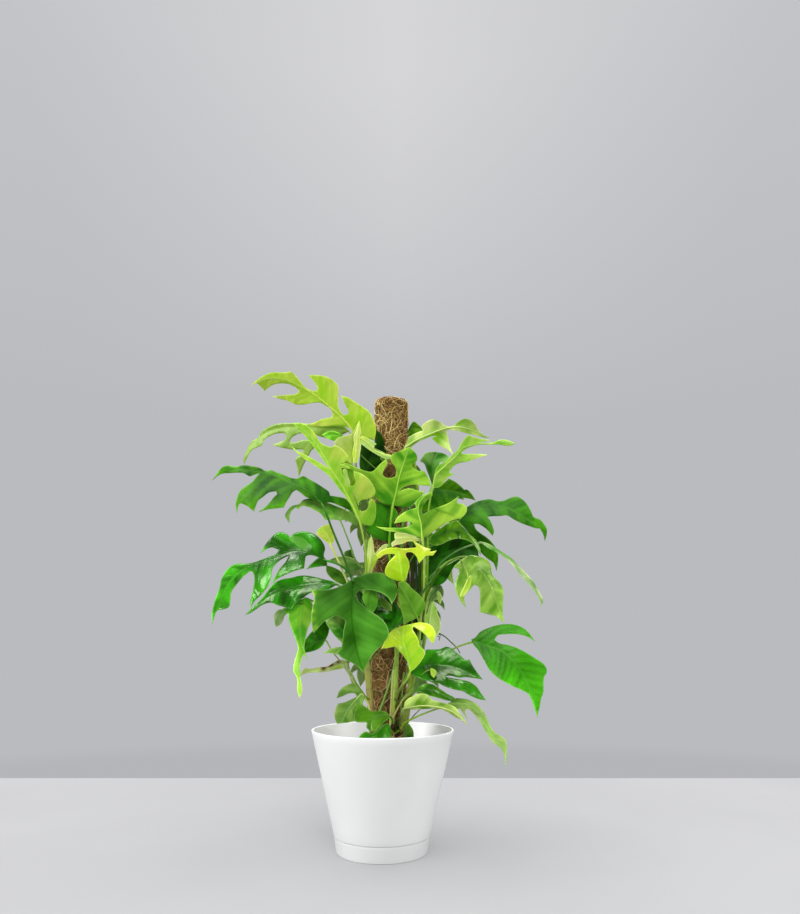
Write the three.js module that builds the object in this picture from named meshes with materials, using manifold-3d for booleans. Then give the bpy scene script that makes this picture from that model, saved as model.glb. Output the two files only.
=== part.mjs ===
// Mini monstera (Rhaphidophora tetrasperma) climbing a coir pole in a tapered pot with a clip-on saucer.
// Millimetres, +Z up, +X to the right, +Y away from the viewer. The origin is the centre of the saucer's
// underside, so the plant stands on Z = 0.
import * as THREE from "three";
import { mergeVertices } from "three/addons/utils/BufferGeometryUtils.js";
import Module from "manifold-3d";

// ---- driving dimensions ----------------------------------------------------
const POT_HEIGHT = 170; // rim above the table
const RIM_RADIUS = 110;
const SEAM_Z = 22.5; // where the pot meets its saucer
const SEAM_RADIUS = 71.6;
const BASE_RADIUS = 67.7;
const POT_WALL = 2.9;
const POT_FLOOR = 2.8;
const SPIGOT_DEPTH = 7.5; // ring under the pot that drops into the saucer
const SAUCER_WALL = 2.7;
const SAUCER_FLOOR = 3.2;
const DRAIN_RADIUS = 4.5;
const DRAIN_CIRCLE = 38;
const SOIL_TOP = 135;
const POLE_RADIUS = 27.5; // coir sleeve
const POLE_TOP = 710;
const POLE_FOOT = 42; // inside the soil
const POLE_BOTTOM_AXIS = [8, 8]; // the pole leans very slightly to the right
const POLE_TOP_AXIS = [12, 8];
const CORE_RADIUS = 11;
const CLEARANCE = 0.3; // between pieces that touch
const LEAF_THICKNESS = 1.0;
const LEAF_FACET = 42; // longest facet edge on a blade
const ROUND = 48; // facets round the pot

const wasm = await Module();
wasm.setup();

// ---- helpers ---------------------------------------------------------------
// A closed three.js geometry as a manifold solid, facing out.
function solidOf(geometry) {
  const bare = geometry.index ? geometry.toNonIndexed() : geometry.clone();
  bare.deleteAttribute("normal");
  bare.deleteAttribute("uv");
  const merged = mergeVertices(bare, 1e-4);
  const position = merged.attributes.position;
  const index = merged.index.array;
  const kept = [];
  let volume = 0;
  const a = new THREE.Vector3();
  const b = new THREE.Vector3();
  const c = new THREE.Vector3();
  for (let i = 0; i < index.length; i += 3) {
    const [p, q, r] = [index[i], index[i + 1], index[i + 2]];
    if (p === q || q === r || r === p) continue;
    kept.push(p, q, r);
    a.fromBufferAttribute(position, p);
    b.fromBufferAttribute(position, q);
    c.fromBufferAttribute(position, r);
    volume += a.dot(b.cross(c));
  }
  if (volume < 0)
    for (let i = 0; i < kept.length; i += 3)
      [kept[i + 1], kept[i + 2]] = [kept[i + 2], kept[i + 1]];
  return new wasm.Manifold(
    new wasm.Mesh({
      numProp: 3,
      vertProperties: position.array,
      triVerts: new Uint32Array(kept),
    }),
  );
}

function geometryOf(solid) {
  const mesh = solid.getMesh();
  const xyz = new Float32Array(mesh.numVert * 3);
  for (let i = 0; i < mesh.numVert; i++)
    for (let k = 0; k < 3; k++)
      xyz[3 * i + k] = mesh.vertProperties[mesh.numProp * i + k];
  const geometry = new THREE.BufferGeometry();
  geometry.setAttribute("position", new THREE.BufferAttribute(xyz, 3));
  geometry.setIndex(new THREE.BufferAttribute(new Uint32Array(mesh.triVerts), 1));
  geometry.computeVertexNormals();
  return geometry;
}

// A profile of [radius, height] turned about +Z.
function turned(profile, segments = ROUND) {
  const points = profile.map(([r, z]) => new THREE.Vector2(r, z));
  return new THREE.LatheGeometry(points, segments).rotateX(Math.PI / 2);
}

function cylinder(radius, z0, z1, segments = 24) {
  return turned([[0, z0], [radius, z0], [radius, z1], [0, z1]], segments);
}

// A stem: a round section pushed along a smooth path and thinned towards its far end.
function stem(points, r0, r1, sides, steps, inflate = 0) {
  const path = new THREE.CatmullRomCurve3(
    points.map((p) => new THREE.Vector3(...p)),
    false,
    "centripetal",
  );
  const section = new THREE.Shape();
  section.absarc(0, 0, 1, 0, 2 * Math.PI, false);
  const geometry = new THREE.ExtrudeGeometry(section, {
    steps,
    extrudePath: path,
    curveSegments: sides / 2,
    bevelEnabled: false,
  });
  const rings = path.getSpacedPoints(steps);
  const position = geometry.attributes.position;
  const p = new THREE.Vector3();
  for (let i = 0; i < position.count; i++) {
    p.fromBufferAttribute(position, i);
    let near = 0;
    let best = Infinity;
    rings.forEach((ring, k) => {
      const d = ring.distanceToSquared(p);
      if (d < best) [best, near] = [d, k];
    });
    const radius = r0 + ((r1 - r0) * near) / steps + inflate;
    p.sub(rings[near]).multiplyScalar(radius).add(rings[near]);
    position.setXYZ(i, p.x, p.y, p.z);
  }
  return geometry;
}

// The smoothest sheet through scattered heights: returns height(u, v).
function thinPlate(points) {
  const n = points.length;
  const span = Math.max(...points.map(([u, v]) => Math.hypot(u, v))) || 1;
  const kernel = (du, dv) => {
    const d2 = (du * du + dv * dv) / (span * span);
    return d2 > 1e-12 ? 0.5 * d2 * Math.log(d2) : 0;
  };
  const size = n + 3;
  const m = points.map(([u, v, w], i) => {
    const row = points.map(([s, t], j) => kernel(u - s, v - t) + (i === j ? 2e-4 : 0));
    return [...row, 1, u / span, v / span, w];
  });
  for (let k = 0; k < 3; k++) {
    const row = points.map(([u, v]) => [1, u / span, v / span][k]);
    m.push([...row, 0, 0, 0, 0]);
  }
  for (let c = 0; c < size; c++) {
    let pivot = c;
    for (let r = c + 1; r < size; r++)
      if (Math.abs(m[r][c]) > Math.abs(m[pivot][c])) pivot = r;
    [m[c], m[pivot]] = [m[pivot], m[c]];
    for (let r = c + 1; r < size; r++) {
      const f = m[r][c] / m[c][c];
      if (f) for (let k = c; k <= size; k++) m[r][k] -= f * m[c][k];
    }
  }
  const w = new Array(size).fill(0);
  for (let r = size - 1; r >= 0; r--) {
    let s = m[r][size];
    for (let k = r + 1; k < size; k++) s -= m[r][k] * w[k];
    w[r] = s / m[r][r];
  }
  return (u, v) =>
    points.reduce((sum, [s, t], i) => sum + w[i] * kernel(u - s, v - t), 0) +
    w[n] + (w[n + 1] * u) / span + (w[n + 2] * v) / span;
}

// Splits facets longer than `limit` and keeps them well shaped in the flat pattern.
function refine(flat, faces, limit) {
  const key = (a, b) => (a < b ? a + "_" + b : b + "_" + a);
  const edges = () => {
    const map = new Map();
    faces.forEach((f, i) => {
      for (let k = 0; k < 3; k++) {
        const id = key(f[k], f[(k + 1) % 3]);
        if (!map.has(id)) map.set(id, []);
        map.get(id).push([i, f[(k + 2) % 3], f[k], f[(k + 1) % 3]]);
      }
    });
    return map;
  };
  const cross = (a, b, c) =>
    (flat[b][0] - flat[a][0]) * (flat[c][1] - flat[a][1]) -
    (flat[b][1] - flat[a][1]) * (flat[c][0] - flat[a][0]);
  const angle = (p, a, b) => {
    const [ux, uy] = [flat[a][0] - flat[p][0], flat[a][1] - flat[p][1]];
    const [vx, vy] = [flat[b][0] - flat[p][0], flat[b][1] - flat[p][1]];
    return Math.abs(Math.atan2(ux * vy - uy * vx, ux * vx + uy * vy));
  };
  const relax = () => {
    for (let round = 0; round < 400; round++) {
      let done = true;
      for (const pair of edges().values()) {
        if (pair.length !== 2) continue;
        const [[i, p, a, b], [j, q]] = pair;
        if (angle(p, a, b) + angle(q, a, b) < Math.PI + 1e-6) continue;
        if (cross(p, a, q) < 1e-3 || cross(q, b, p) < 1e-3) continue;
        faces[i] = [p, a, q];
        faces[j] = [q, b, p];
        done = false;
        break;
      }
      if (done) return;
    }
  };
  relax();
  for (let round = 0; round < 200; round++) {
    let longest = limit;
    let pick = null;
    for (const [id, pair] of edges()) {
      const [, , a, b] = pair[0];
      const d = Math.hypot(flat[a][0] - flat[b][0], flat[a][1] - flat[b][1]);
      if (d > longest) [longest, pick] = [d, pair];
    }
    if (!pick) break;
    const [, , a, b] = pick[0];
    const m = flat.length;
    flat.push([(flat[a][0] + flat[b][0]) / 2, (flat[a][1] + flat[b][1]) / 2]);
    for (const [i, p, s, t] of pick) {
      faces[i] = [p, s, m];
      faces.push([p, m, t]);
    }
    relax();
  }
}

// One blade: its outline and rib are points in space and `face` is the way it looks.
function blade({ face, rib, edge }) {
  const n = new THREE.Vector3(...face).normalize();
  const u = new THREE.Vector3(0, 0, 1).cross(n);
  if (u.length() < 0.2) u.set(0, 1, 0).cross(n);
  u.normalize();
  const v = n.clone().cross(u);
  const centre = edge
    .reduce((s, p) => s.add(new THREE.Vector3(...p)), new THREE.Vector3())
    .divideScalar(edge.length);
  const local = (p) => {
    const d = new THREE.Vector3(...p).sub(centre);
    return [d.dot(u), d.dot(v), d.dot(n)];
  };
  const height = thinPlate([...edge.map(local), ...rib.map(local)]);
  const outline = new THREE.Shape(edge.map((p) => new THREE.Vector2(...local(p).slice(0, 2))));
  const contour = outline.extractPoints(1).shape;
  if (THREE.ShapeUtils.isClockWise(contour)) contour.reverse();
  const flat = contour.map((p) => [p.x, p.y]);
  const faces = THREE.ShapeUtils.triangulateShape(contour, []).map((f) => [...f]);
  refine(flat, faces, LEAF_FACET);
  const middle = flat.map(([s, t]) =>
    centre.clone().addScaledVector(u, s).addScaledVector(v, t).addScaledVector(n, height(s, t)),
  );
  const normal = flat.map(() => new THREE.Vector3());
  for (const [a, b, c] of faces) {
    const w = middle[b].clone().sub(middle[a]).cross(middle[c].clone().sub(middle[a]));
    for (const k of [a, b, c]) normal[k].add(w);
  }
  normal.forEach((w) => w.normalize());
  const half = LEAF_THICKNESS / 2;
  const xyz = [];
  for (const side of [half, -half])
    middle.forEach((p, k) => {
      const q = p.clone().addScaledVector(normal[k], side);
      xyz.push(q.x, q.y, q.z);
    });
  const count = middle.length;
  const index = [];
  const border = new Map();
  for (const [a, b, c] of faces) {
    index.push(a, b, c, a + count, c + count, b + count);
    for (const [s, t] of [[a, b], [b, c], [c, a]]) {
      if (border.has(t + "_" + s)) border.delete(t + "_" + s);
      else border.set(s + "_" + t, [s, t]);
    }
  }
  for (const [s, t] of border.values())
    index.push(t, s, s + count, t, s + count, t + count);
  const geometry = new THREE.BufferGeometry();
  geometry.setAttribute("position", new THREE.Float32BufferAttribute(xyz, 3));
  geometry.setIndex(index);
  return geometry;
}

function named(name, geometry, color, roughness) {
  const mesh = new THREE.Mesh(
    geometry,
    new THREE.MeshStandardMaterial({ color, roughness, metalness: 0 }),
  );
  mesh.name = name;
  return mesh;
}

// ---- pot and saucer --------------------------------------------------------
const taper = (RIM_RADIUS - SEAM_RADIUS) / (POT_HEIGHT - SEAM_Z);
const outer = (z) => SEAM_RADIUS + taper * (z - SEAM_Z);
const inner = (z) => outer(z) - POT_WALL;
const floorTop = SEAM_Z + POT_FLOOR;
const saucerOuter = (z) => BASE_RADIUS + ((SEAM_RADIUS - BASE_RADIUS) * z) / SEAM_Z;

const potShell = solidOf(
  turned([
    [0, SEAM_Z],
    [64.2, SEAM_Z],
    [64.0, SEAM_Z - SPIGOT_DEPTH],
    [66.4, SEAM_Z - SPIGOT_DEPTH],
    [67.4, SEAM_Z],
    [SEAM_RADIUS - 1.0, SEAM_Z],
    [SEAM_RADIUS + 0.1, SEAM_Z + 0.9],
    [outer(60), 60],
    [outer(115), 115],
    [RIM_RADIUS - 0.3, POT_HEIGHT - 1.5],
    [RIM_RADIUS - 0.5, POT_HEIGHT - 0.5],
    [RIM_RADIUS - 1.4, POT_HEIGHT],
    [RIM_RADIUS - 2.3, POT_HEIGHT - 0.5],
    [inner(POT_HEIGHT - 1.8), POT_HEIGHT - 1.8],
    [inner(115), 115],
    [inner(60), 60],
    [inner(floorTop + 2.5), floorTop + 2.5],
    [inner(floorTop) - 2.0, floorTop],
    [0, floorTop],
  ]),
);
let potBody = potShell;
for (let i = 0; i < 5; i++) {
  const a = (i * 2 * Math.PI) / 5 + Math.PI / 2;
  const hole = cylinder(DRAIN_RADIUS, SEAM_Z - 4, floorTop + 4, 12).translate(
    DRAIN_CIRCLE * Math.cos(a),
    DRAIN_CIRCLE * Math.sin(a),
    0,
  );
  potBody = potBody.subtract(solidOf(hole));
}

const saucerTop = SEAM_Z - CLEARANCE;
const saucerBody = turned([
  [0, 0],
  [BASE_RADIUS - 3.2, 0],
  [BASE_RADIUS - 1.0, 0.7],
  [saucerOuter(2.8), 2.8],
  [saucerOuter(saucerTop - 0.9), saucerTop - 0.9],
  [saucerOuter(saucerTop) - 1.0, saucerTop],
  [saucerOuter(saucerTop) - SAUCER_WALL, saucerTop],
  [saucerOuter(6) - SAUCER_WALL, 6],
  [saucerOuter(6) - SAUCER_WALL - 2.2, SAUCER_FLOOR],
  [0, SAUCER_FLOOR],
]);

// ---- pole ------------------------------------------------------------------
// The pole's pieces are turned upright about its own axis and then leaned.
const leanX = (POLE_TOP_AXIS[0] - POLE_BOTTOM_AXIS[0]) / (POLE_TOP - SOIL_TOP);
const leanY = (POLE_TOP_AXIS[1] - POLE_BOTTOM_AXIS[1]) / (POLE_TOP - SOIL_TOP);
function leaned(geometry) {
  const p = geometry.attributes.position;
  for (let i = 0; i < p.count; i++) {
    const dz = p.getZ(i) - SOIL_TOP;
    p.setX(i, p.getX(i) + POLE_BOTTOM_AXIS[0] + leanX * dz);
    p.setY(i, p.getY(i) + POLE_BOTTOM_AXIS[1] + leanY * dz);
  }
  return geometry;
}
const sleeveProfile = (grow) => [
  [CORE_RADIUS + CLEARANCE - grow, POLE_FOOT - grow],
  [POLE_RADIUS - 1 + grow, POLE_FOOT - grow],
  [POLE_RADIUS + grow, POLE_FOOT + 2],
  [POLE_RADIUS + grow, POLE_TOP * 0.5],
  [POLE_RADIUS + grow, POLE_TOP - 9],
  [POLE_RADIUS - 2.2 + grow, POLE_TOP - 4],
  [POLE_RADIUS - 7 + grow, POLE_TOP - 1],
  [0, POLE_TOP + grow],
  [0, POLE_TOP - 9],
  [CORE_RADIUS + CLEARANCE - grow, POLE_TOP - 9],
];
const sleeve = leaned(
  turned([...sleeveProfile(0), [CORE_RADIUS + CLEARANCE, POLE_FOOT]], 28),
);
const core = leaned(cylinder(CORE_RADIUS, POLE_FOOT - 10, POLE_TOP - 9 - CLEARANCE, 16));

// ---- climbing stems --------------------------------------------------------
// Each runs from inside the soil up the pole: [x, y, z] points, foot and tip radius.
const VINES = {
  vine_left: {
    radius: [6.5, 3.6],
    path: [
      [-9.7, -43.2, 118], [-11.5, -45.1, 138], [-11.7, -46, 151.4], [-14.3, -44, 176.2], [-16.9, -42, 204.2],
      [-20.3, -40, 232.6], [-23.8, -38, 266], [-26, -34, 303.1], [-27.4, -30, 341], [-28.1, -26, 379.9],
      [-27.2, -23, 419.7], [-25.3, -21, 460.3], [-22.5, -20, 501.6], [-18, -20, 543.5], [-8.1, -26, 572.7],
      [3.5, -30.5, 592.1],
    ],
  },
  vine_centre: {
    radius: [7, 3.8],
    path: [
      [14.1, -48.6, 118], [14.6, -51, 138], [14.9, -52, 149.5], [14.1, -50, 176.9], [16.2, -47, 204.6],
      [19.2, -45, 230.1], [20.6, -42, 261.8], [22.1, -40, 295.6], [24.4, -37, 333.2], [26.7, -34, 368.5],
      [28.3, -31, 406.2], [29.9, -28, 443.2], [31.6, -27, 483.9], [33.3, -27, 525.2], [35, -29, 561.8],
      [35.8, -34, 587.8],
    ],
  },
  vine_right: {
    radius: [6.5, 3.4],
    path: [
      [29.6, -20.9, 118], [32.1, -21.6, 138], [32.7, -22, 151], [34.3, -20, 182.1], [39, -16, 213.5],
      [45.4, -12, 242.8], [53.5, -6, 277.1], [58.7, 0, 315.5], [61.6, 4, 354.9], [62.7, 6, 395.1],
      [62.3, 8, 439.4], [60.2, 10, 481.4], [57.2, 12, 524.3], [54.1, 14, 568.2], [50.9, 16, 607.7],
    ],
  },
  vine_back: {
    radius: [6, 3.6],
    path: [
      [10, 44, 118], [10, 43.4, 141], [9, 43.2, 175], [11, 43.2, 230], [13, 43.2, 300],
      [12, 43, 370], [14, 43.2, 440], [12, 43, 510], [14, 43, 575], [13, 41.8, 628],
    ],
  },
};
const VINE_STEPS = 22;
const vineGeometry = (d, inflate = 0) =>
  stem(d.path, d.radius[0], d.radius[1], 8, VINE_STEPS, inflate);

// ---- soil ------------------------------------------------------------------
const soilInner = (z) => inner(z) - CLEARANCE - 0.1;
let soilBody = solidOf(
  turned([
    [0, floorTop + CLEARANCE],
    [soilInner(floorTop) - 2.4, floorTop + CLEARANCE],
    [soilInner(floorTop + 3), floorTop + 3],
    [soilInner(80), 80],
    [soilInner(SOIL_TOP - 2), SOIL_TOP - 2],
    [82, SOIL_TOP - 0.5],
    [55, SOIL_TOP],
    [0, SOIL_TOP],
  ]),
);
soilBody = soilBody
  .subtract(solidOf(leaned(cylinder(POLE_RADIUS + CLEARANCE, POLE_FOOT - CLEARANCE, POLE_TOP, 28))))
  .subtract(solidOf(leaned(cylinder(CORE_RADIUS + CLEARANCE, POLE_FOOT - 10 - CLEARANCE, POLE_TOP, 16))));
for (const d of Object.values(VINES))
  soilBody = soilBody.subtract(solidOf(vineGeometry(d, CLEARANCE)));

// ---- leaves ----------------------------------------------------------------
// edge: outline of the blade; rib: its midrib from base to tip; face: the way the blade looks;
// stalk: the petiole from the blade to its stem.
const LEAVES = {
  crown_leaf: {
    color: 0x93b04a,
    face: [0.118, -0.937, -0.328],
    rib: [
      [-43.6, -29.9, 630.3], [-64.8, -43.8, 655.7], [-113.1, -68, 692.8], [-137.1, -76.2, 705.4], [-191.4, -86, 713.9],
      [-218.5, -77.9, 703.1],
    ],
    edge: [
      [-43.6, -29.9, 630.3], [-30.3, -28.9, 630.6], [-17, -25.7, 627.1], [-13.4, -33.8, 639.6], [-21.3, -53.3, 664.8],
      [-56.8, -71, 686.5], [-69.8, -73.5, 689.9], [-58.5, -54.7, 669.6], [-59.5, -51.2, 665.5], [-66.2, -50.1, 664.1],
      [-74.8, -58.9, 675.1], [-73.9, -86.2, 701.7], [-80.1, -91.6, 708.3], [-102.6, -94.9, 716.8], [-122.3, -92.7, 718.2],
      [-111.8, -82.9, 708.2], [-108.2, -77.2, 701.6], [-110.1, -73.7, 698.5], [-116.1, -72.1, 698.3], [-124.2, -73.3, 701.3],
      [-132, -77.9, 706.6], [-148.2, -99.4, 721.6], [-180.1, -96.3, 721.1], [-195.5, -91, 717.2], [-218.5, -77.9, 703.1],
      [-207.5, -80.9, 708], [-196.4, -68.4, 699.6], [-181.3, -76.6, 707], [-169.5, -79.3, 708.6], [-156.4, -78.9, 707.9],
      [-139.4, -69.9, 700], [-143.1, -65.7, 696.3], [-149.9, -64.1, 695.1], [-184.9, -61.6, 692.5], [-142.7, -53.1, 680.6],
      [-105.3, -61.1, 681.7], [-89, -56.4, 672.5], [-85.1, -52.4, 666.8], [-86.2, -48.6, 661.1], [-127.8, -44.3, 650.3],
      [-106.4, -42, 646.7], [-65.1, -38.6, 647.7], [-55.2, -35.7, 643.4],
    ],
    stalk: { radius: [3.2, 2.6], path: [
      [-46, -31.4, 633.1], [-30.1, -31, 621.3], [-14.9, -33, 608.6], [0.2, -35, 599.5], [-2.8, -39.2, 592.9],
      [0.8, -34.1, 592.1],
    ] },
  },
  upper_left_leaf: {
    color: 0x6f8240,
    face: [0.155, -0.950, -0.270],
    rib: [
      [-59.6, 2.1, 652.2], [-113.8, -7.9, 654.6], [-144.2, -11.7, 655.2], [-192.5, -25.2, 643.9], [-209.3, -38, 626.2],
      [-223.2, -71.6, 574.9],
    ],
    edge: [
      [-59.6, 2.1, 652.2], [-75.5, 3.2, 664.3], [-124.5, -6.7, 662.1], [-161.6, -11, 662.6], [-180.6, -14.8, 660.4],
      [-197, -21, 652.3], [-206.9, -28.1, 641.3], [-210.4, -36.9, 628.2], [-218, -42.7, 621.4], [-224.2, -60.8, 594.3],
      [-222.6, -72, 574], [-216, -55.1, 600.9], [-200.6, -45.1, 613], [-199.2, -37.8, 624.5], [-190.8, -31.4, 633.3],
      [-180.2, -26.5, 639.2], [-169, -23.4, 641], [-164.2, -25.4, 635.1], [-166.5, -30.4, 626.7], [-184, -41.6, 614.8],
      [-170.2, -39.3, 611.2], [-135.3, -27.5, 610.1], [-137.2, -30.4, 602.4], [-146.6, -36.9, 592.1], [-139, -41.4, 559.8],
      [-120.9, -22.5, 611.5], [-111.7, -17.5, 619], [-122, -17.9, 628.5], [-136.8, -21.3, 629.3], [-150.9, -27.5, 623.1],
      [-158.1, -29.6, 623.4], [-155.8, -25, 631.7], [-147.6, -19.4, 639.5], [-138, -16, 643.2], [-84.6, -4, 634.3],
    ],
    stalk: { radius: [1.5, 1.2], path: [
      [-63.6, 1.7, 652.6], [-49, 2, 636], [-36.3, -4, 606], [-25.2, -14, 572.1], [-24.8, -19, 546.7],
      [-22, -19.6, 545.9],
    ] },
  },
  arched_lime_leaf: {
    color: 0x93b04a,
    face: [0.085, -0.969, -0.230],
    rib: [
      [-36.3, -62, 481.4], [-53.3, -76.6, 518.6], [-65.4, -87.5, 538.7], [-88.6, -99.3, 574.3], [-101.2, -103.2, 594.3],
      [-139, -120, 627.4],
    ],
    edge: [
      [-36.3, -62, 481.4], [-19.1, -58.7, 478], [-12.8, -61.2, 486.3], [-11.8, -74.5, 511], [-17.1, -78.7, 517.4],
      [-21.9, -76, 513.9], [-26.8, -68.6, 501], [-34.7, -68, 498.7], [-38.8, -71.7, 506.8], [-32.9, -76.1, 515.5],
      [-14, -81.3, 520.8], [-11.5, -85.9, 527.8], [-16.2, -89.8, 538.2], [-24.7, -91.9, 548.1], [-45.9, -92.8, 558.3],
      [-42.8, -87.7, 541.8], [-46.8, -84.9, 536], [-54.6, -85.6, 537.5], [-65.3, -95, 562.5], [-51.4, -93.6, 561.3],
      [-54.5, -94.6, 565.9], [-66.2, -96.1, 570.3], [-59.2, -95.8, 572.8], [-54.6, -96.5, 579.1], [-59.4, -97.4, 587.8],
      [-75.2, -98.7, 598.8], [-82.9, -99.4, 595.3], [-98.3, -103.6, 602.2], [-104.4, -107.2, 612.6], [-119.5, -114.8, 626.6],
      [-128.6, -117.7, 628.9], [-139, -120, 627.4], [-113.4, -107.3, 601.2], [-82.2, -97.5, 561.1], [-141.8, -113.1, 593.1],
      [-123.6, -106.1, 575.8], [-85.2, -96.4, 551], [-59.6, -78.1, 521.5],
    ],
    stalk: { radius: [2, 1.5], path: [
      [-37.7, -63.3, 484.9], [-31.7, -56, 461.7], [-27.8, -48, 439.1], [-26.3, -40, 416.4], [-27.1, -34.1, 395.1],
      [-27.4, -30.5, 394.3],
    ] },
  },
  young_folded_leaf: {
    color: 0xcfd6a0,
    face: [0.071, -0.960, -0.271],
    rib: [
      [-53, -51.2, 578.4], [-50.2, -49.4, 600.7], [-44, -51, 624.1], [-39.7, -59.7, 650.6],
    ],
    edge: [
      [-53.8, -51.6, 578.3], [-62.4, -55.6, 580.6], [-58.7, -53.8, 591.1], [-64.4, -56.7, 600.5], [-80.2, -64.7, 610.9],
      [-75.5, -64.3, 619.4], [-55.1, -57.7, 628.1], [-39.7, -60, 651.4], [-36.8, -46.6, 622], [-38.4, -43.5, 607.4],
      [-42.2, -44.9, 594.3], [-47.6, -48.1, 584.2],
    ],
    stalk: { radius: [1.5, 1.2], path: [
      [-52.9, -51.1, 582.3], [-46.3, -50, 563.6], [-36.6, -44, 545], [-27, -36, 525.1], [-23.9, -27.4, 515.2],
      [-22.9, -24.7, 514.4],
    ] },
  },
  shaded_leaf_by_pole: {
    color: 0x22331f,
    face: [0.038, -0.965, -0.260],
    rib: [
      [-29.8, -22, 566.8], [-26.9, -18.5, 591.7], [-17.1, -18.4, 616.1], [-13.9, -21.9, 646.7],
    ],
    edge: [
      [-29.8, -22, 566.8], [-40.2, -18.6, 581.4], [-39.4, -13.9, 624.4], [-27.3, -16.7, 614.8], [-17.9, -18.2, 610.9],
      [-13.9, -22, 647.6], [-5.4, -22.2, 639.6], [0.6, -21.2, 625.8], [4, -20.1, 608.7], [-0.1, -19.6, 594.9],
      [-19.9, -21.7, 571.2],
    ],
    stalk: { radius: [1.5, 1.2], path: [
      [-29.4, -21.4, 570.8], [-22.7, -27, 545.3], [-22.3, -26.4, 545.8], [-20.5, -24.2, 545],
    ] },
  },
  left_dark_leaf: {
    color: 0x2f4a2c,
    face: [0.175, -0.963, -0.205],
    rib: [
      [-96.4, -68, 510.7], [-113.2, -64.3, 527.5], [-153, -58.9, 548.3], [-178.4, -46, 562.9], [-240, -55.8, 568.9],
      [-272.7, -70.2, 547.4],
    ],
    edge: [
      [-96.4, -68, 510.7], [-85.1, -55.2, 515.6], [-69.8, -46.3, 511.6], [-54.1, -39, 504.8], [-47.5, -39.9, 497.2],
      [-49.2, -29.7, 511.4], [-63.5, -27.3, 527.7], [-86.6, -43.7, 529.3], [-88.9, -38.5, 536.2], [-133.4, -30.1, 564.9],
      [-141.1, -43.4, 557.6], [-152.2, -46.1, 558.7], [-185.5, -36.1, 573.7], [-192.8, -40.4, 570.9], [-203.5, -37.6, 576.7],
      [-216.6, -38.8, 579.8], [-229, -42.5, 580.5], [-241.6, -50.6, 576], [-254.5, -51.6, 578.2], [-262.9, -55.6, 572.3],
      [-272.7, -70.2, 547.4], [-260.3, -63, 560.5], [-226.7, -56, 563.8], [-214.7, -58.1, 557.6], [-202.4, -48.5, 564.8],
      [-208.9, -67.4, 546.4], [-222.5, -87.4, 527.5], [-222.4, -111.8, 500.7], [-216.2, -125, 485.3], [-216.3, -109.1, 503.5],
      [-204.7, -112.5, 499.1], [-192.5, -118.1, 489.6], [-191.1, -99.8, 509.2], [-178.1, -82.7, 526.1], [-167.7, -80.1, 528.6],
      [-165.1, -84.9, 523.3], [-187.6, -115.9, 488.5], [-173.6, -107.9, 494.5], [-150.3, -102.9, 498.5], [-141, -80.7, 527.3],
      [-136.5, -75, 531.8], [-120.8, -77.4, 520],
    ],
    stalk: { radius: [2.1, 1.7], path: [
      [-99.2, -67.4, 513.5], [-88.6, -71, 494.2], [-79.4, -70, 470.6], [-68.3, -66, 444.6], [-57.2, -62, 418.7],
      [-48.4, -60, 395.9], [-39.8, -56, 374.8], [-33.6, -50, 356.9], [-30.4, -39.2, 343.8], [-29.2, -35.3, 343],
    ] },
  },
  curled_leaf_under: {
    color: 0x48683a,
    face: [0.116, -0.978, -0.176],
    rib: [
      [-70.7, -30.3, 490.7], [-83.4, -35.7, 502.1], [-99, -44, 510.4], [-135.1, -62.4, 511.8], [-148.3, -76, 498],
      [-144.3, -81.7, 479],
    ],
    edge: [
      [-70.7, -30.3, 490.7], [-61.3, -25.7, 491.5], [-43.6, -20.4, 482.5], [-40.7, -16.2, 491.4], [-45.7, -16.2, 499.7],
      [-55.5, -18.9, 506.7], [-93.4, -37.8, 519.8], [-118, -49.8, 523.2], [-128.3, -56.1, 519.5], [-133.7, -61.5, 511.9],
      [-143.5, -69.1, 507.3], [-149.7, -76.9, 497.9], [-151.7, -81.9, 489.1], [-144.3, -82, 478.1], [-143.9, -73.7, 496.9],
      [-138.2, -66.8, 504.8], [-133.6, -65, 502.4], [-129.7, -60.7, 508.1], [-120, -55.6, 508.2], [-98.3, -46.5, 496.9],
      [-93.5, -44.9, 489.1],
    ],
    stalk: { radius: [1.5, 1.2], path: [
      [-73.5, -31.5, 493.3], [-62.1, -31, 471.8], [-52.8, -32, 449.1], [-43.6, -31, 425.2], [-34.8, -26.9, 414.8],
      [-32.2, -25.7, 414],
    ] },
  },
  yellow_bud_leaf: {
    color: 0xc3cf4e,
    face: [0.104, -0.984, -0.146],
    rib: [
      [-82.4, -50, 448.3], [-89, -50.6, 464.1], [-98.4, -54.6, 474.6],
    ],
    edge: [
      [-82.3, -50.2, 447.5], [-104.1, -60.6, 464.2], [-102.7, -58.1, 470.9], [-98.5, -54.4, 476.3], [-86.7, -46.6, 482.3],
      [-78.5, -44.3, 463.4], [-78.2, -45.8, 455.2],
    ],
    stalk: { radius: [2.2, 1.6], path: [
      [-83.9, -50.2, 451.6], [-74.1, -50, 431], [-65.1, -49, 412.3], [-55.5, -46, 390.9], [-43.8, -38, 363.7],
      [-36, -33.6, 353.2], [-32.6, -31.7, 352.4],
    ] },
  },
  left_glossy_leaf: {
    color: 0x48683a,
    face: [0.176, -0.979, -0.100],
    rib: [
      [-88.2, -63, 421.7], [-128.4, -68.2, 436.6], [-159.9, -81.7, 427.3], [-182.1, -90.5, 417.2], [-219.4, -100.3, 395.3],
      [-239.7, -135.6, 324.2],
    ],
    edge: [
      [-86.8, -62.1, 421.8], [-92.1, -58.2, 430], [-92, -46.9, 444], [-99.6, -39.3, 457.7], [-113.2, -35.2, 468.8],
      [-129.3, -36.4, 471.8], [-141.7, -38.8, 469], [-149.1, -45.5, 460.8], [-137.4, -44.5, 461.8], [-125.7, -47.5, 457.4],
      [-115, -54.3, 446.9], [-120.2, -61.2, 441.3], [-129.7, -60.8, 443.7], [-144.9, -51.1, 454.5], [-150.4, -43.5, 463.5],
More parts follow.
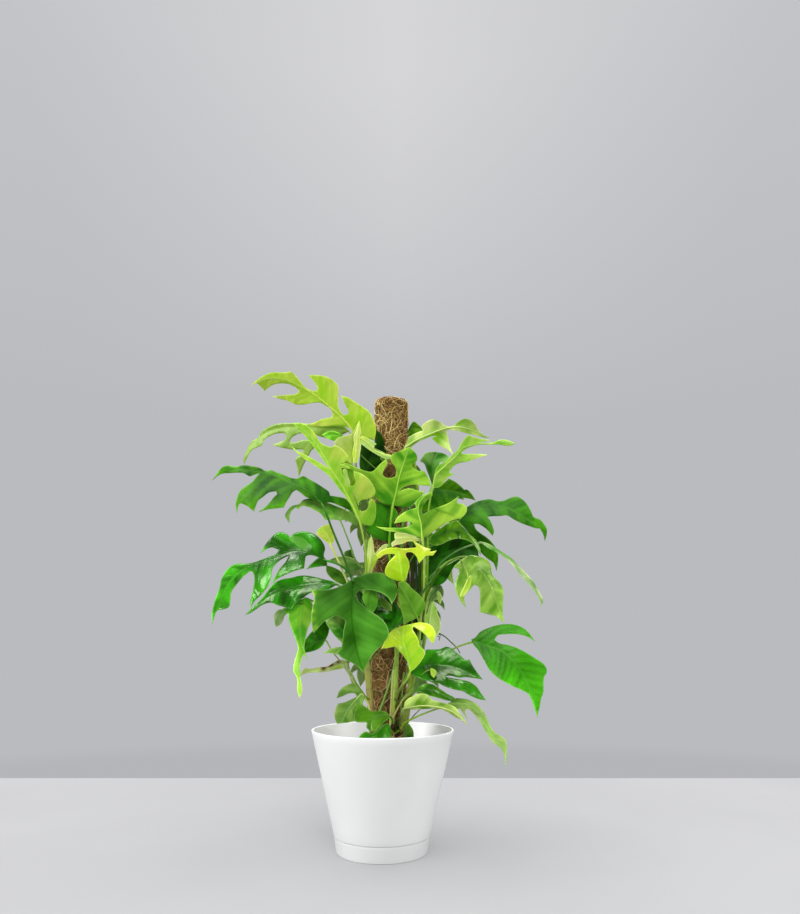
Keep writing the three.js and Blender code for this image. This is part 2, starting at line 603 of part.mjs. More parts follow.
      [-155.7, -41.3, 467.9], [-165.2, -42, 470.2], [-172.3, -46.4, 466.3], [-178.3, -54.9, 457.1], [-187.6, -77.7, 431.6],
      [-172.1, -68.1, 442], [-160.6, -71, 437.8], [-163.6, -78.4, 430.7], [-183, -86.8, 421.4], [-205.1, -88.7, 415.1],
      [-219.4, -85.7, 415.4], [-228.2, -86.4, 412.3], [-235.6, -91.1, 403.6], [-239.7, -98.7, 391], [-243.5, -122, 349.1],
      [-239.6, -136, 323.5], [-236.1, -126.9, 343.2], [-218.8, -128.6, 348.8], [-219.4, -116.4, 370.8], [-206.6, -104.2, 393.5],
      [-198.3, -99.8, 402], [-192.3, -102.8, 399.5], [-188.1, -110.2, 390.1], [-187.3, -134.5, 346.4], [-166.2, -121.4, 377.6],
      [-161.2, -96.3, 412.1], [-143.4, -79.3, 428.3], [-153.2, -102.3, 405.5], [-161.6, -119.7, 381.3], [-142, -109.3, 396.7],
      [-117.4, -96.4, 406.8], [-117.9, -75.1, 427.3], [-114, -70.3, 430.1], [-99.7, -65.5, 426.8], [-114.5, -95.4, 405.4],
      [-85.9, -68.5, 414.2],
    ],
    stalk: { radius: [2, 1.6], path: [
      [-91.1, -63.1, 423.5], [-74.4, -60, 418.9], [-60.7, -55, 411.7], [-48.4, -48, 398.4], [-39.3, -40, 382],
      [-34.2, -34.1, 372.3], [-31.7, -31.2, 371.5],
    ] },
  },
  left_bright_leaf: {
    color: 0x5f8a3c,
    face: [0.155, -0.986, -0.063],
    rib: [
      [-69.9, -85.4, 384.7], [-100.3, -95.5, 384.7], [-124.7, -101.7, 380.5], [-148.1, -120, 372.7], [-166.1, -137.2, 360.3],
      [-188.3, -157.4, 337.2],
    ],
    edge: [
      [-67, -84, 384.8], [-76.1, -84, 389.3], [-86.6, -85.9, 391.4], [-117.2, -84.6, 397.5], [-127.4, -87.2, 396.5],
      [-147.1, -103.5, 390.6], [-155.4, -114.3, 385.4], [-164.9, -130.9, 370.5], [-188.9, -158, 336.5], [-168.8, -143.2, 350.5],
      [-158.8, -136.5, 354.4], [-129.7, -123.8, 345.5], [-124.3, -118.5, 354.9], [-105.8, -107.9, 369.5], [-94.6, -103.8, 374.1],
      [-80.5, -97.5, 375.7],
    ],
    stalk: { radius: [1.9, 1.5], path: [
      [-72.2, -85.9, 384.8], [-56.7, -78, 376.3], [-46.5, -68, 362], [-37.8, -56, 346.1], [-32, -46, 332.9],
      [-30, -40.7, 325.1], [-28.8, -37.3, 324.3],
    ] },
  },
  big_front_leaf: {
    color: 0x2f4a2c,
    face: [0.062, -0.997, -0.035],
    rib: [
      [-43.9, -92, 393.1], [-43.2, -108.9, 371.3], [-42.9, -128, 344.6], [-39.5, -140.6, 316.5], [-33.6, -149.5, 289.5],
      [-23.6, -161.1, 260.8],
    ],
    edge: [
      [-43.9, -92, 393.1], [-17.3, -83.4, 401.3], [-2.2, -81.9, 401.5], [10.1, -85.8, 395.1], [19.2, -92.1, 385.7],
      [23, -99.9, 374.8], [14.4, -117.7, 352.8], [3.2, -108.2, 367.7], [-17.7, -104.3, 374.5], [-29.4, -105.1, 374.4],
      [-36.6, -108.8, 370.6], [-38.4, -113.7, 364.5], [-16.4, -126.5, 343.2], [3.9, -131.9, 328.4], [9.7, -135.3, 318],
      [10.5, -138.9, 308.4], [-9.3, -150.1, 285.5], [-23.5, -162, 258.9], [-34.8, -157.2, 269.8], [-61.1, -151, 286.2],
      [-55.2, -148.8, 292.2], [-50.6, -136.3, 329], [-64.4, -133.7, 336], [-79.5, -137.9, 328.9], [-94.3, -145.8, 311.7],
      [-99.3, -134.4, 337.4], [-97.6, -119.7, 363.4], [-103.8, -113.4, 373.9], [-79.1, -110.7, 374.8], [-64.9, -106, 378.7],
    ],
    stalk: { radius: [2.3, 1.8], path: [
      [-43.8, -94.5, 389.9], [-39.7, -84, 383.3], [-34.3, -70, 369.4], [-30.3, -54, 352.2], [-28.3, -41.2, 331.7],
      [-27.7, -36.9, 330.9],
    ] },
  },
  inner_dark_leaf: {
    color: 0x22331f,
    face: [0.024, -0.999, -0.043],
    rib: [
      [22.1, -51.4, 329.8], [8.4, -61.6, 347.4], [-9.7, -71.6, 360.3], [-26.2, -78.9, 365.8],
    ],
    edge: [
      [23.6, -49.8, 323.8], [11.5, -57.3, 316.3], [3.9, -63.4, 328], [-6.6, -70.9, 338.1], [-25.8, -82.2, 350.2],
      [-31.1, -83.6, 358.2], [-27.8, -77.9, 370.4], [-19.2, -69.3, 379.9], [-4.1, -62.2, 377.4], [11.3, -56.2, 367.2],
      [32.1, -44.3, 340.5], [32.9, -43.8, 331.5],
    ],
    stalk: { radius: [1.5, 1.2], path: [
      [20.6, -52.3, 329.7], [25.2, -50, 314.9], [24.7, -47.9, 310.7], [24.2, -45, 309.9],
    ] },
  },
  left_hanging_leaf: {
    color: 0x9fb08a,
    face: [0.142, -0.990, -0.000],
    rib: [
      [-116.5, -92, 363.6], [-119.4, -98.2, 342.9], [-118.9, -105.3, 317.1], [-114.7, -109.7, 296], [-103.6, -111.9, 273.9],
    ],
    edge: [
      [-116.5, -92, 363.6], [-109.1, -91.2, 362.9], [-104.3, -92.3, 356.3], [-104, -100, 328.5], [-108.2, -103.8, 317.1],
      [-110.9, -110.1, 291.8], [-103.6, -112, 273.2], [-111.8, -111.8, 282.1], [-114.3, -112.7, 275.3], [-116.2, -113.2, 264.3],
      [-112.6, -110.4, 231.6], [-115.6, -109.6, 222.8], [-120.5, -113, 252], [-125, -113.6, 260.2], [-120.1, -111, 291.8],
      [-138, -101.2, 340.7], [-149, -105.1, 329.8], [-150.1, -107.2, 321.5], [-155.5, -106.6, 325.5], [-157.5, -105.1, 332],
      [-153.9, -102.9, 339.9], [-145.9, -100.1, 347.9],
    ],
    stalk: { radius: [1.5, 1.2], path: [
      [-117, -93.1, 359.8], [-96.3, -84, 355.2], [-71.5, -72, 338.1], [-46.4, -56, 314.8], [-31.3, -41.7, 296.7],
      [-29.4, -39.4, 295.9],
    ] },
  },
  dark_oval_leaf: {
    color: 0x2f4a2c,
    face: [0.115, -0.993, -0.004],
    rib: [
      [-84.2, -85.6, 303], [-97.9, -93.4, 298.7], [-113.7, -104.2, 289],
    ],
    edge: [
      [-84.1, -86, 301.6], [-80.4, -81.5, 310.2], [-79.5, -77.5, 320.4], [-85.9, -76.2, 331.3], [-109.6, -96.3, 306.5],
      [-113.9, -103.4, 291.7], [-110.7, -103.9, 284.8], [-91.9, -92.8, 290.5],
    ],
    stalk: { radius: [1.4, 1.1], path: [
      [-87.5, -87.7, 301.2], [-74.4, -76, 287.2], [-63.1, -64, 272.6], [-53, -56, 257.9], [-42.6, -50, 241.9],
      [-32.1, -45, 225.8], [-27.4, -43.6, 220.4], [-24.9, -42.8, 219.6],
    ] },
  },
  shaded_lobed_leaf: {
    color: 0x22331f,
    face: [0.085, -0.996, -0.007],
    rib: [
      [-47, -89.1, 303], [-59, -90.6, 317.3], [-73.8, -94.4, 334.4],
    ],
    edge: [
      [-46.1, -83.9, 314.5], [-48.3, -81.3, 344.3], [-62.7, -88, 342.6], [-75.3, -94.8, 335.9], [-81.9, -99.9, 328.5],
      [-68.3, -99.4, 308.6], [-59.5, -97.9, 300.1], [-56.4, -98.9, 294.5], [-76.5, -114.3, 289.1], [-82.9, -120.4, 284.6],
      [-55.6, -104.7, 282], [-46.3, -95.8, 288.9],
    ],
    stalk: { radius: [1.5, 1.2], path: [
      [-49.1, -86.9, 311.8], [-40.8, -70, 300.1], [-33.9, -54, 285.4], [-28.8, -45, 274.3], [-27.3, -42.5, 273.5],
    ] },
  },
  thin_browned_leaf: {
    color: 0x8d8450,
    face: [0.102, -0.994, 0.036],
    rib: [
      [-53.3, -74.6, 268.6], [-69.2, -78.7, 265.9], [-83.3, -83.7, 262.5], [-100.3, -100.2, 259.7], [-115.8, -121.4, 253.8],
    ],
    edge: [
      [-51.7, -77.9, 273], [-61.5, -85, 275.3], [-80.4, -83.8, 265.4], [-92.6, -93.1, 264.6], [-102.6, -105.4, 262.7],
      [-108.3, -116.9, 264.4], [-116.4, -122, 253.1], [-100.3, -99.5, 257.6], [-90.1, -87.4, 257.1], [-79.2, -79.9, 258.2],
      [-50.5, -70.4, 264.2],
    ],
    stalk: { radius: [1.8, 1.3], path: [
      [-56.3, -77.2, 270.1], [-46, -70, 255.7], [-38.6, -66, 241.3], [-29.9, -58, 228.1], [-23.3, -49.5, 218.4],
      [-21.7, -46.7, 217.6],
    ] },
  },
  low_left_leaf: {
    color: 0x8f9c5c,
    face: [0.069, -0.994, 0.079],
    rib: [
      [-30.1, -81.9, 226.9], [-42, -96.2, 214.3], [-49.6, -107.3, 203.2], [-55.4, -118.8, 191.2],
    ],
    edge: [
      [-28.8, -80, 229.6], [-41.6, -88.6, 241.9], [-50.8, -99.8, 239.8], [-58.4, -110.6, 234.3], [-62.4, -118.9, 223.5],
      [-46.5, -98, 228.7], [-38.4, -89.7, 228.1], [-35.5, -87.8, 223.9], [-52.6, -108, 217.3], [-60.3, -118, 216.8],
      [-63.1, -123.8, 210], [-63.9, -127.8, 201.2], [-60.4, -126.1, 190.9], [-36.2, -92.5, 192.4], [-33.7, -88.3, 202.8],
      [-24.5, -76.8, 222.4],
    ],
    stalk: { radius: [1.5, 1.2], path: [
      [-31.6, -83.5, 226], [-23.3, -68, 217.6], [-19.2, -58, 207], [-18.1, -51.7, 199.3], [-17.6, -48.9, 198.5],
    ] },
  },
  rim_front_leaf: {
    color: 0x48683a,
    face: [0.038, -0.994, 0.100],
    rib: [
      [10.8, -81.8, 198.1], [-7.6, -94.1, 196.6], [-14.3, -103.5, 190.9], [-14.4, -114.8, 180.2],
    ],
    edge: [
      [12.3, -82, 196.7], [6.4, -80.5, 202.7], [-15, -90.1, 204.3], [-31, -87.4, 212.9], [-37, -94.2, 208.7],
      [-38.5, -102.7, 201.4], [-35.7, -111.6, 192.4], [-20.4, -107.6, 190], [-20.1, -113.2, 184.6], [-14.4, -116, 179.1],
      [-6.9, -109.7, 180.6],
    ],
    stalk: { radius: [1.5, 1.2], path: [
      [8.2, -84.1, 197.1], [15, -68, 191.2], [14.7, -59.6, 181.6], [14.6, -56.7, 180.8],
    ] },
  },
  pot_front_leaf: {
    color: 0x48683a,
    face: [0.033, -0.992, 0.122],
    rib: [
      [7.8, -70.7, 184.7], [-5.1, -77, 174.5], [-21.8, -87.1, 162.3],
    ],
    edge: [
      [9.2, -70, 186], [0.6, -73, 183.5], [-5.8, -76.5, 177.1], [-15, -80.5, 172.9], [-22.2, -80.8, 175.6],
      [-29.2, -83.6, 171.9], [-33.9, -87.6, 165], [-28.5, -92.2, 155], [-12.9, -91.2, 149.6], [5.2, -80, 152],
      [13.7, -70.9, 164.3], [14.3, -69.3, 174.9],
    ],
    stalk: { radius: [1.5, 1.2], path: [
      [5.6, -71.8, 183], [14.3, -62, 174.1], [14.2, -60.4, 174], [14.2, -57.6, 173.2],
    ] },
  },
  centre_leaf: {
    color: 0x7ba04e,
    face: [0.006, -0.973, -0.229],
    rib: [
      [15.4, -45.9, 513.3], [20.3, -54.1, 532.9], [25.1, -63, 553.9], [31.5, -72.5, 573], [41.7, -88, 598.5],
    ],
    edge: [
      [15.4, -45.9, 513.3], [42.7, -48.8, 510.3], [66.6, -60.4, 532.7], [44.3, -59.8, 537.4], [25.1, -55.4, 533.5],
      [33.1, -59.4, 540], [45.9, -62.3, 542.9], [76, -66.5, 539.3], [74.4, -70.1, 547.4], [64.8, -75.3, 563],
      [56.9, -73.5, 562.9], [45.8, -74.7, 570.8], [54.1, -80.4, 578.7], [53.6, -83.5, 585], [41.7, -88, 598.5],
      [13.1, -76.6, 588.4], [13.1, -70.8, 577.6], [21.1, -66.5, 564.6], [18.7, -62.5, 556.5], [10.6, -59.9, 554.7],
      [2.6, -59, 556.5], [-1.4, -60.4, 561.1], [6.7, -69.4, 577.1], [4.3, -72.2, 583], [-18.3, -60.9, 565.1],
      [-28, -61.2, 565.9], [-69.8, -73.8, 579.3], [-37.7, -58.1, 560], [-26.6, -51.8, 549.9], [-12.2, -40.2, 524.3],
      [0.8, -41.8, 516.5],
    ],
    stalk: { radius: [2, 1.8], path: [
      [16.3, -47.4, 516.9], [13.1, -50, 496.3], [10.8, -52, 471.9], [10.1, -52, 448], [11, -50, 424.7],
      [14.9, -46, 401.7], [20.4, -41, 378.8], [23.2, -37.7, 378],
    ] },
  },
  deep_leaf_behind: {
    color: 0x22331f,
    face: [0.024, -0.987, -0.161],
    rib: [
      [9, -34, 456.9], [4.1, -33.9, 479.5], [8.9, -33.3, 500.9], [12, -32.3, 517.5],
    ],
    edge: [
      [9, -34, 456], [-5.4, -33.9, 458.5], [-16.7, -33.4, 463.4], [-26.6, -32.7, 474], [-28.3, -32.2, 483],
      [-20.2, -32.7, 486.2], [-13.1, -31.9, 501.1], [-10.9, -30.1, 521.3], [16.9, -32.9, 511.6], [23.5, -33.6, 499.2],
      [16.2, -33.9, 489.3], [22.7, -33.6, 474.7], [20.3, -33.8, 458.5],
    ],
    stalk: { radius: [1.5, 1.2], path: [
      [8.2, -34, 460.4], [15.5, -32, 439.5], [20.7, -32.4, 420.7], [23.4, -31.5, 419.9],
    ] },
  },
  upper_right_leaf: {
    color: 0x93b04a,
    face: [-0.063, -0.957, -0.285],
    rib: [
      [33.2, -55.3, 604.2], [51.1, -63, 615.6], [74.8, -78.8, 622.7], [121.8, -94.2, 629.7], [144.8, -100.1, 621.3],
      [170.1, -96.1, 610.1],
    ],
    edge: [
      [33.2, -56, 600.6], [43.1, -56, 625.2], [64.1, -66.4, 632.3], [61.4, -65.2, 638.6], [70.3, -76.1, 644.6],
      [79.7, -84.1, 645.4], [102.2, -80.6, 635], [111.4, -86.4, 633.8], [127.5, -104, 640.2], [136.7, -106.3, 638.3],
      [151, -100.2, 621.2], [170.1, -96.1, 610.1], [132.4, -97.2, 618], [106.7, -82.9, 628.5], [100.4, -81.5, 626.9],
      [109.3, -101.4, 582.6], [76.9, -83.7, 614.6], [84.1, -84.7, 617.6], [65.3, -73.7, 615.3],
    ],
    stalk: { radius: [2.4, 2.2], path: [
      [36.4, -57, 604.4], [34.9, -48, 592.6], [35.1, -43.3, 585.3], [35.4, -38.1, 584.5],
    ] },
  },
  right_lime_leaf: {
    color: 0x93b04a,
    face: [-0.096, -0.962, -0.254],
    rib: [
      [78.8, -74, 536.8], [83.4, -81.9, 554.4], [112.4, -100.2, 578.9], [124.3, -110.3, 590.7], [172.6, -132.8, 595.5],
      [199.8, -146.1, 587.8],
    ],
    edge: [
      [78.8, -74, 536.8], [84.8, -87.8, 565.9], [115.3, -106.2, 587.8], [131.2, -123, 607.1], [165.4, -130.1, 597.9],
      [148, -121.5, 596.3], [168.4, -129.8, 594.3], [178.1, -136.8, 596.2], [189.3, -142.7, 593.7], [199.8, -146, 587.5],
      [189.6, -138.7, 586], [164.2, -126.1, 591.4], [137.8, -115.2, 591.7], [122.2, -105.5, 583.5], [161.5, -119.2, 577.4],
      [117.2, -96, 569.5], [104.4, -86.3, 557.7], [112.2, -87.2, 555.6], [91.3, -76.3, 537.9], [85.1, -74.2, 535.2],
    ],
    stalk: { radius: [1.9, 1.6], path: [
      [79.7, -75.6, 540.4], [74.7, -74, 520.7], [71.3, -74, 496.8], [70.2, -74, 468.5], [70, -72, 437.6],
      [69.3, -62, 407.9], [68.9, -46, 381.6], [62.3, -6.3, 344.8], [61.7, -2.5, 344],
    ] },
  },
  sheen_leaf: {
    color: 0x2f4a2c,
    face: [-0.049, -0.969, -0.244],
    rib: [
      [78.2, -53.8, 542.8], [78.4, -53.7, 561.1], [80.4, -51, 583.4], [87.4, -46, 601.6],
    ],
    edge: [
      [79, -54, 542], [65.7, -52.1, 580.6], [59.2, -52.4, 584.8], [63.4, -51.3, 591.8], [67.6, -49.1, 598.3],
      [74.3, -47, 601.4], [87.4, -46, 601.6], [98.5, -51.5, 597.6], [108.9, -62.4, 583.9], [101, -59, 579.7],
      [93.3, -54, 583.5], [84, -54.9, 561.6],
    ],
    stalk: { radius: [1.5, 1.2], path: [
      [78.6, -53.9, 546.4], [70.1, -52, 525.2], [58.7, -49, 504.6], [45.9, -43, 486.2], [36.2, -33.8, 472.2],
      [34.4, -31.5, 471.4],
    ] },
  },
  right_shaded_leaf: {
    color: 0x22331f,
    face: [-0.069, -0.977, -0.200],
    rib: [
      [78.9, -38.3, 541.2], [93.4, -40.2, 540.8], [111.1, -42.8, 537], [130.2, -45.6, 531.4], [148, -49.7, 520.7],
    ],
    edge: [
      [77.3, -38, 541.3], [88.7, -38.1, 545.4], [107.2, -33.6, 559.9], [116.8, -36.5, 554.2], [130.6, -42.8, 539.4],
      [135.5, -43, 539.4], [141.6, -45.4, 533.1], [148.5, -50, 519.9], [136.2, -48.4, 523.5], [121.8, -47.7, 523.9],
      [100.5, -49.4, 512.6], [87.7, -47.3, 508.1], [58.2, -38.2, 504.1], [62.4, -38.4, 516.4], [70.5, -39.7, 526],
    ],
    stalk: { radius: [1.5, 1.2], path: [
      [82, -38.6, 541.2], [65.9, -30, 521.3], [59.6, -18, 500.3], [57.2, -10, 478.3], [59.5, 1.5, 466.3],
      [60, 4.4, 465.5],
    ] },
  },
  right_glossy_leaf: {
    color: 0x48683a,
    face: [-0.141, -0.977, -0.158],
    rib: [
      [121.5, -40.9, 488.1], [156.4, -37.8, 513.2], [175.4, -41.1, 514.2], [208.5, -63.4, 499.5], [225.9, -77, 484.4],
      [246.3, -97.7, 448],
    ],
    edge: [
      [120, -40, 488.3], [123.9, -35.2, 500.5], [132.5, -32.5, 510.1], [152.8, -28.2, 522.5], [174.2, -28.5, 526.3],
      [184.4, -36.5, 521.7], [195.2, -40.7, 521.7], [206.7, -41.1, 526.6], [216, -43.8, 527.7], [228.8, -59, 512.4],
      [235.6, -76.2, 488.5], [244, -80.2, 484.2], [248.2, -84.5, 477.7], [251.9, -90.3, 467.5], [246.2, -98, 447.2],
      [241.7, -88, 468.6], [214.5, -78.6, 478.7], [195.2, -66, 492.7], [164.9, -61.7, 491.3], [171.3, -75.2, 473],
      [172.1, -78.7, 464.6], [169.5, -78.9, 458.4], [156.7, -67.6, 475], [143.7, -57.8, 480.5], [146.2, -61.8, 471.9],
      [161.6, -73.6, 456.8], [174.2, -80, 439.7], [176.8, -80.4, 428.9], [173.9, -78.4, 404.1], [170.1, -75.6, 417.3],
      [153.3, -65.6, 433.8], [137.1, -56.4, 464],
    ],
    stalk: { radius: [2, 1.6], path: [
      [123.6, -40.2, 491], [109.1, -32, 478.2], [96.3, -26, 462.8], [83.4, -20, 444.2], [72.1, -14, 425.5],
      [66.4, -1.6, 411], [64.8, 1.9, 410.2],
    ] },
  },
  yellow_centre_leaf: {
    color: 0x9cb84a,
    face: [-0.033, -0.984, -0.173],
    rib: [
      [60.5, -84, 456.1], [59.1, -83.9, 476.3], [54.6, -84.4, 498.1], [59.4, -85, 513.7], [75, -86, 527],
    ],
    edge: [
      [60.5, -84, 454.5], [34.4, -85.4, 462.1], [3.8, -94, 464.6], [-9.8, -98.9, 470], [17.5, -88.8, 469.6],
      [34.4, -85, 471], [46.8, -83.7, 475.8], [43.7, -83.9, 479.4], [17.5, -88.4, 476.3], [22.1, -87.1, 485.1],
      [31.3, -85.6, 493.2], [51.5, -84.5, 502], [50, -84.8, 508.2], [56.3, -85, 516.9], [75, -86, 526.5],
      [77.3, -86.3, 521.4], [64, -85.1, 506.6], [61.5, -84.5, 491], [102.4, -90.9, 508.2], [118, -92.4, 518.6],
      [114.6, -93.5, 508.1], [123.6, -96, 505.3], [129.3, -98.4, 498.6], [127.5, -99.4, 490.7], [119.8, -98.7, 482.3],
      [106.3, -94.8, 479.9],
    ],
    stalk: { radius: [2.2, 1.7], path: [
      [60.2, -84, 459.3], [63.5, -80, 433.6], [64.3, -72, 407], [63.8, -58, 380.7], [61.8, -42, 357.3],
      [58.9, -26, 333.5], [58.8, -9.9, 316.1], [58.8, -5.8, 315.3],
    ] },
  },
  bright_young_leaf: {
    color: 0xc3cf4e,
    face: [-0.008, -0.993, -0.114],
    rib: [
      [32.7, -98.2, 386.7], [28.2, -110.7, 403.2], [26.7, -115, 417.5], [23.7, -107.5, 431.7],
    ],
    edge: [
      [31.2, -98, 386.7], [10.3, -101.1, 393.1], [4.4, -104.1, 399.4], [6, -113.5, 407.3], [12, -119.8, 416.2],
      [20, -113.3, 425.8], [3, -116, 424.7], [-4.4, -114.4, 419.7], [-8.2, -114, 425], [5.8, -112.1, 434.8],
      [19.2, -106.7, 437], [32.7, -103.1, 436], [50.7, -106.3, 437.8], [46.3, -100, 447.7], [72.7, -115.9, 433.6],
      [70.4, -117.9, 429.7], [80.7, -118, 431.1], [75.3, -121.8, 423.3], [65, -121.4, 422.6], [54.6, -121.7, 411.6],
      [50.4, -113.9, 423.5], [44.6, -107.9, 429.4], [37.2, -105.8, 429.7], [34.9, -106.7, 427.3], [38.6, -107.9, 419],
      [40.9, -104.4, 409.7], [34.9, -99.3, 388.1],
    ],
    stalk: { radius: [1.5, 1.2], path: [
      [31.1, -100.5, 389.8], [30.5, -84, 375.9], [29, -66, 365.1], [27.5, -50, 356.9], [26.7, -44.5, 349.8],
      [26.3, -41.6, 349],
    ] },
  },
  cream_sheath_leaf: {
    color: 0xcfd6a0,
    face: [-0.004, -0.990, -0.139],
    rib: [
      [57.7, -71.7, 453.2], [39.2, -68.8, 456.7], [20.5, -70.6, 456.5],
    ],
    edge: [
      [60.8, -72, 453.2], [40.8, -65.9, 463.4], [28.3, -66.1, 465.7], [18.9, -67.8, 464.7], [18.9, -71.8, 453.2],
      [13.5, -73.4, 448.3], [14.4, -75.3, 441.4], [39.1, -71.2, 450.9],
    ],
    stalk: { radius: [1.5, 1.2], path: [
      [55.4, -71.2, 453.9], [53.3, -58, 441], [44.1, -42, 425.6], [35.5, -35.5, 414.6], [33.2, -33.8, 413.8],
    ] },
  },
  right_light_leaf: {
    color: 0x8a9c50,
    face: [-0.080, -0.987, -0.141],
    rib: [
      [70.4, -66.6, 452.3], [96.5, -74.8, 462.1], [119.1, -83.7, 467], [136.2, -93.9, 450.1], [148, -104, 424.6],
    ],
    edge: [
      [68.8, -66, 452.4], [79.8, -67.8, 464.7], [92.3, -70.7, 473.7], [104.7, -73.9, 481], [115.3, -78.4, 482.3],
      [142.6, -97, 448.4], [147.2, -100.9, 438.5], [148, -104, 424.6], [136, -94.6, 445.4], [126, -88.8, 451.3],
      [112.9, -81.8, 453.8], [88.6, -73.1, 445.2], [76.4, -69.2, 445.7],
    ],
    stalk: { radius: [1.5, 1.2], path: [
      [73.2, -67.4, 453.7], [66.9, -50, 437.3], [64.1, -34, 418.6], [62, -20, 399.3], [62.2, -2.9, 382.8],
      [62.3, -0, 382],
    ] },
  },
  right_dark_leaf: {
    color: 0x2f4a2c,
    face: [-0.072, -0.991, -0.109],
    rib: [
      [71, -41.8, 422.5], [97.5, -51.9, 435.5], [123.8, -59.2, 442.4], [148.3, -75.6, 432.6],
    ],
    edge: [
      [69.5, -40, 425.8], [73.2, -34, 445.6], [84.3, -36.9, 451.6], [114.2, -45.5, 459.3], [130.9, -54.2, 457.2],
      [140.9, -62.4, 450.6], [146.7, -71.2, 439.3], [147.9, -78, 427.7], [122.4, -70, 420.9], [113.1, -68.6, 415.7],
      [97.3, -68.3, 391.3], [89.8, -63, 385.7], [72.2, -41.5, 385], [67.7, -39.4, 402.3],
    ],
    stalk: { radius: [1.8, 1.4], path: [
      [73.7, -42.2, 425.8], [66.5, -30, 404.7], [63.5, -20, 386.6], [62.5, -4.1, 370.7], [62.3, -0.7, 369.9],
    ] },
  },
  thin_twisted_leaf: {
    color: 0x8a9c50,
    face: [-0.162, -0.982, -0.095],
    rib: [
      [148.5, -92.2, 448], [173.3, -96.2, 434.6], [194.3, -102.8, 418.1], [209.9, -111.1, 395.8], [224.3, -115.5, 375.2],
      [231.3, -125.3, 350.3],
    ],
    edge: [
      [147, -92.2, 448.8], [160.6, -91.9, 445], [194.8, -100.4, 421.3], [225.8, -112.7, 381.1], [234.2, -120.4, 359.8],
      [230.7, -126.1, 349.6], [227.7, -120.8, 361.9], [221.5, -118.1, 373.5], [206.6, -115.9, 391.8], [192.4, -109, 412.2],
      [183.2, -103.3, 422.5], [158.9, -97.5, 438.2],
    ],
    stalk: { radius: [1.8, 1.4], path: [
      [151.2, -92.8, 446.5], [127, -92, 439.7], [105.4, -94, 428.8], [88.8, -90, 415.7], [77.7, -78, 395.8],
      [66.6, -66, 380.2], [53, -52, 365.9], [40.7, -46, 357.1], [33.1, -41, 347.3], [30.3, -39.2, 346.5],
    ] },
  },
  right_drooping_leaf: {
    color: 0xa2bf66,
    face: [-0.109, -0.991, -0.073],
    rib: [
      [134.4, -90.5, 426.2], [125.9, -96.2, 410.6], [120, -106.6, 388.9], [160.4, -101.1, 382], [168, -105.2, 359.9],
      [176.3, -121.1, 328],
    ],
    edge: [
      [133, -90, 427.8], [114.2, -94.2, 416], [107.7, -97.4, 409], [115, -99.4, 404.3], [107.6, -112.5, 382.6],
      [108.3, -119.3, 370.6], [113.5, -123.9, 358.9], [121.8, -124.3, 346.9], [120.6, -118.1, 364.9], [137.7, -105.1, 381.7],
      [143.5, -104.8, 377.4], [142.7, -110.5, 342.7], [164.6, -113.7, 336.7], [176.1, -122, 326.6], [176.2, -112.8, 342.4],
      [179.7, -101.6, 374.7], [175.7, -99.1, 385.1], [164.5, -96.8, 398.6], [163.8, -93.6, 410.8], [159.8, -91.4, 419.3],
      [149.5, -90.4, 424.7],
    ],
    stalk: { radius: [1.8, 1.5], path: [
      [131.8, -91.5, 423.7], [117.9, -88, 425], [99.9, -82, 416.6], [85.1, -70, 402.6], [73.3, -52, 381.2],
      [64.3, -36, 360.7], [61, -7.4, 333], [60.6, -3.9, 332.2],
    ] },
  },
  right_big_leaf: {
    color: 0x4f7a3a,
    face: [-0.156, -0.988, 0.024],
    rib: [
      [137.8, -54, 301.6], [154.7, -63.8, 295.7], [175.4, -76, 288.6], [201.7, -105.5, 257.2], [209.8, -118.3, 234.8],
      [213.9, -144.2, 202.8],
    ],
    edge: [
      [135.1, -51.2, 303.8], [161.8, -36.3, 320.3], [192.5, -30.3, 327.3], [207.7, -32.5, 325.7], [219, -38, 320.3],
      [232.2, -57.3, 300.1], [214.8, -50.9, 310], [201.3, -49.6, 311.9], [176.6, -50.3, 310], [170, -57.9, 303],
      [177.2, -65.2, 297.9], [213.5, -78.1, 285.1], [237.3, -77.6, 270.1], [242.4, -79.5, 262.4], [235.6, -92, 251],
      [230.1, -111.4, 231.7], [220.2, -132.1, 213.4], [213.4, -146, 201.1], [210, -129.4, 221], [205.8, -123.8, 229.8],
      [184.2, -121.5, 240.4], [162.4, -109.2, 253.9], [155.2, -99.7, 262.4],
    ],
    stalk: { radius: [1.7, 1.4], path: [
      [139.8, -54.5, 301.5], [120, -47, 294.9], [101.9, -41, 286.7], [83.7, -33, 276.2], [68.5, -25, 265.6],
      [55.1, -16, 251], [52.3, -14.1, 250.2],
    ] },
  },
  olive_oval_leaf: {
    color: 0x6f8240,
    face: [-0.014, -0.999, -0.052],
    rib: [
      [52.5, -67.8, 336.7], [43.2, -85.6, 353.7], [34.1, -99.3, 369], [23.8, -112, 384.1],
    ],
    edge: [
      [55.5, -66.1, 338.3], [31.9, -85.2, 323.8], [23.8, -112, 384.1], [31.1, -108.5, 386.6], [37.8, -103.9, 384.7],
      [59.8, -83.2, 364.8], [64.5, -76.3, 357.8], [64.6, -69.7, 350],
    ],
    stalk: { radius: [1.5, 1.2], path: [
      [52.6, -69.6, 340.1], [56.7, -48, 325.4], [57.9, -30, 312.1], [56.4, -12.2, 293.9], [56.2, -9.4, 293.1],
    ] },
  },
  pale_back_leaf: {
    color: 0x8f9c5c,
    face: [-0.048, -0.998, -0.045],
    rib: [
      [68.5, -38.6, 313.5], [73.4, -37, 336.2], [76.9, -35.1, 356.1], [86.6, -34.5, 376.2],
    ],
    edge: [
      [69.9, -40, 309], [64.9, -34.1, 330.2], [69.5, -26, 372.1], [68.1, -22.8, 380.1], [75.2, -25.8, 383.1],
      [83.7, -31.2, 381.1], [91, -38.3, 372.9], [92.3, -41.8, 365], [89, -42.4, 356.5], [84.7, -37.4, 364.5],
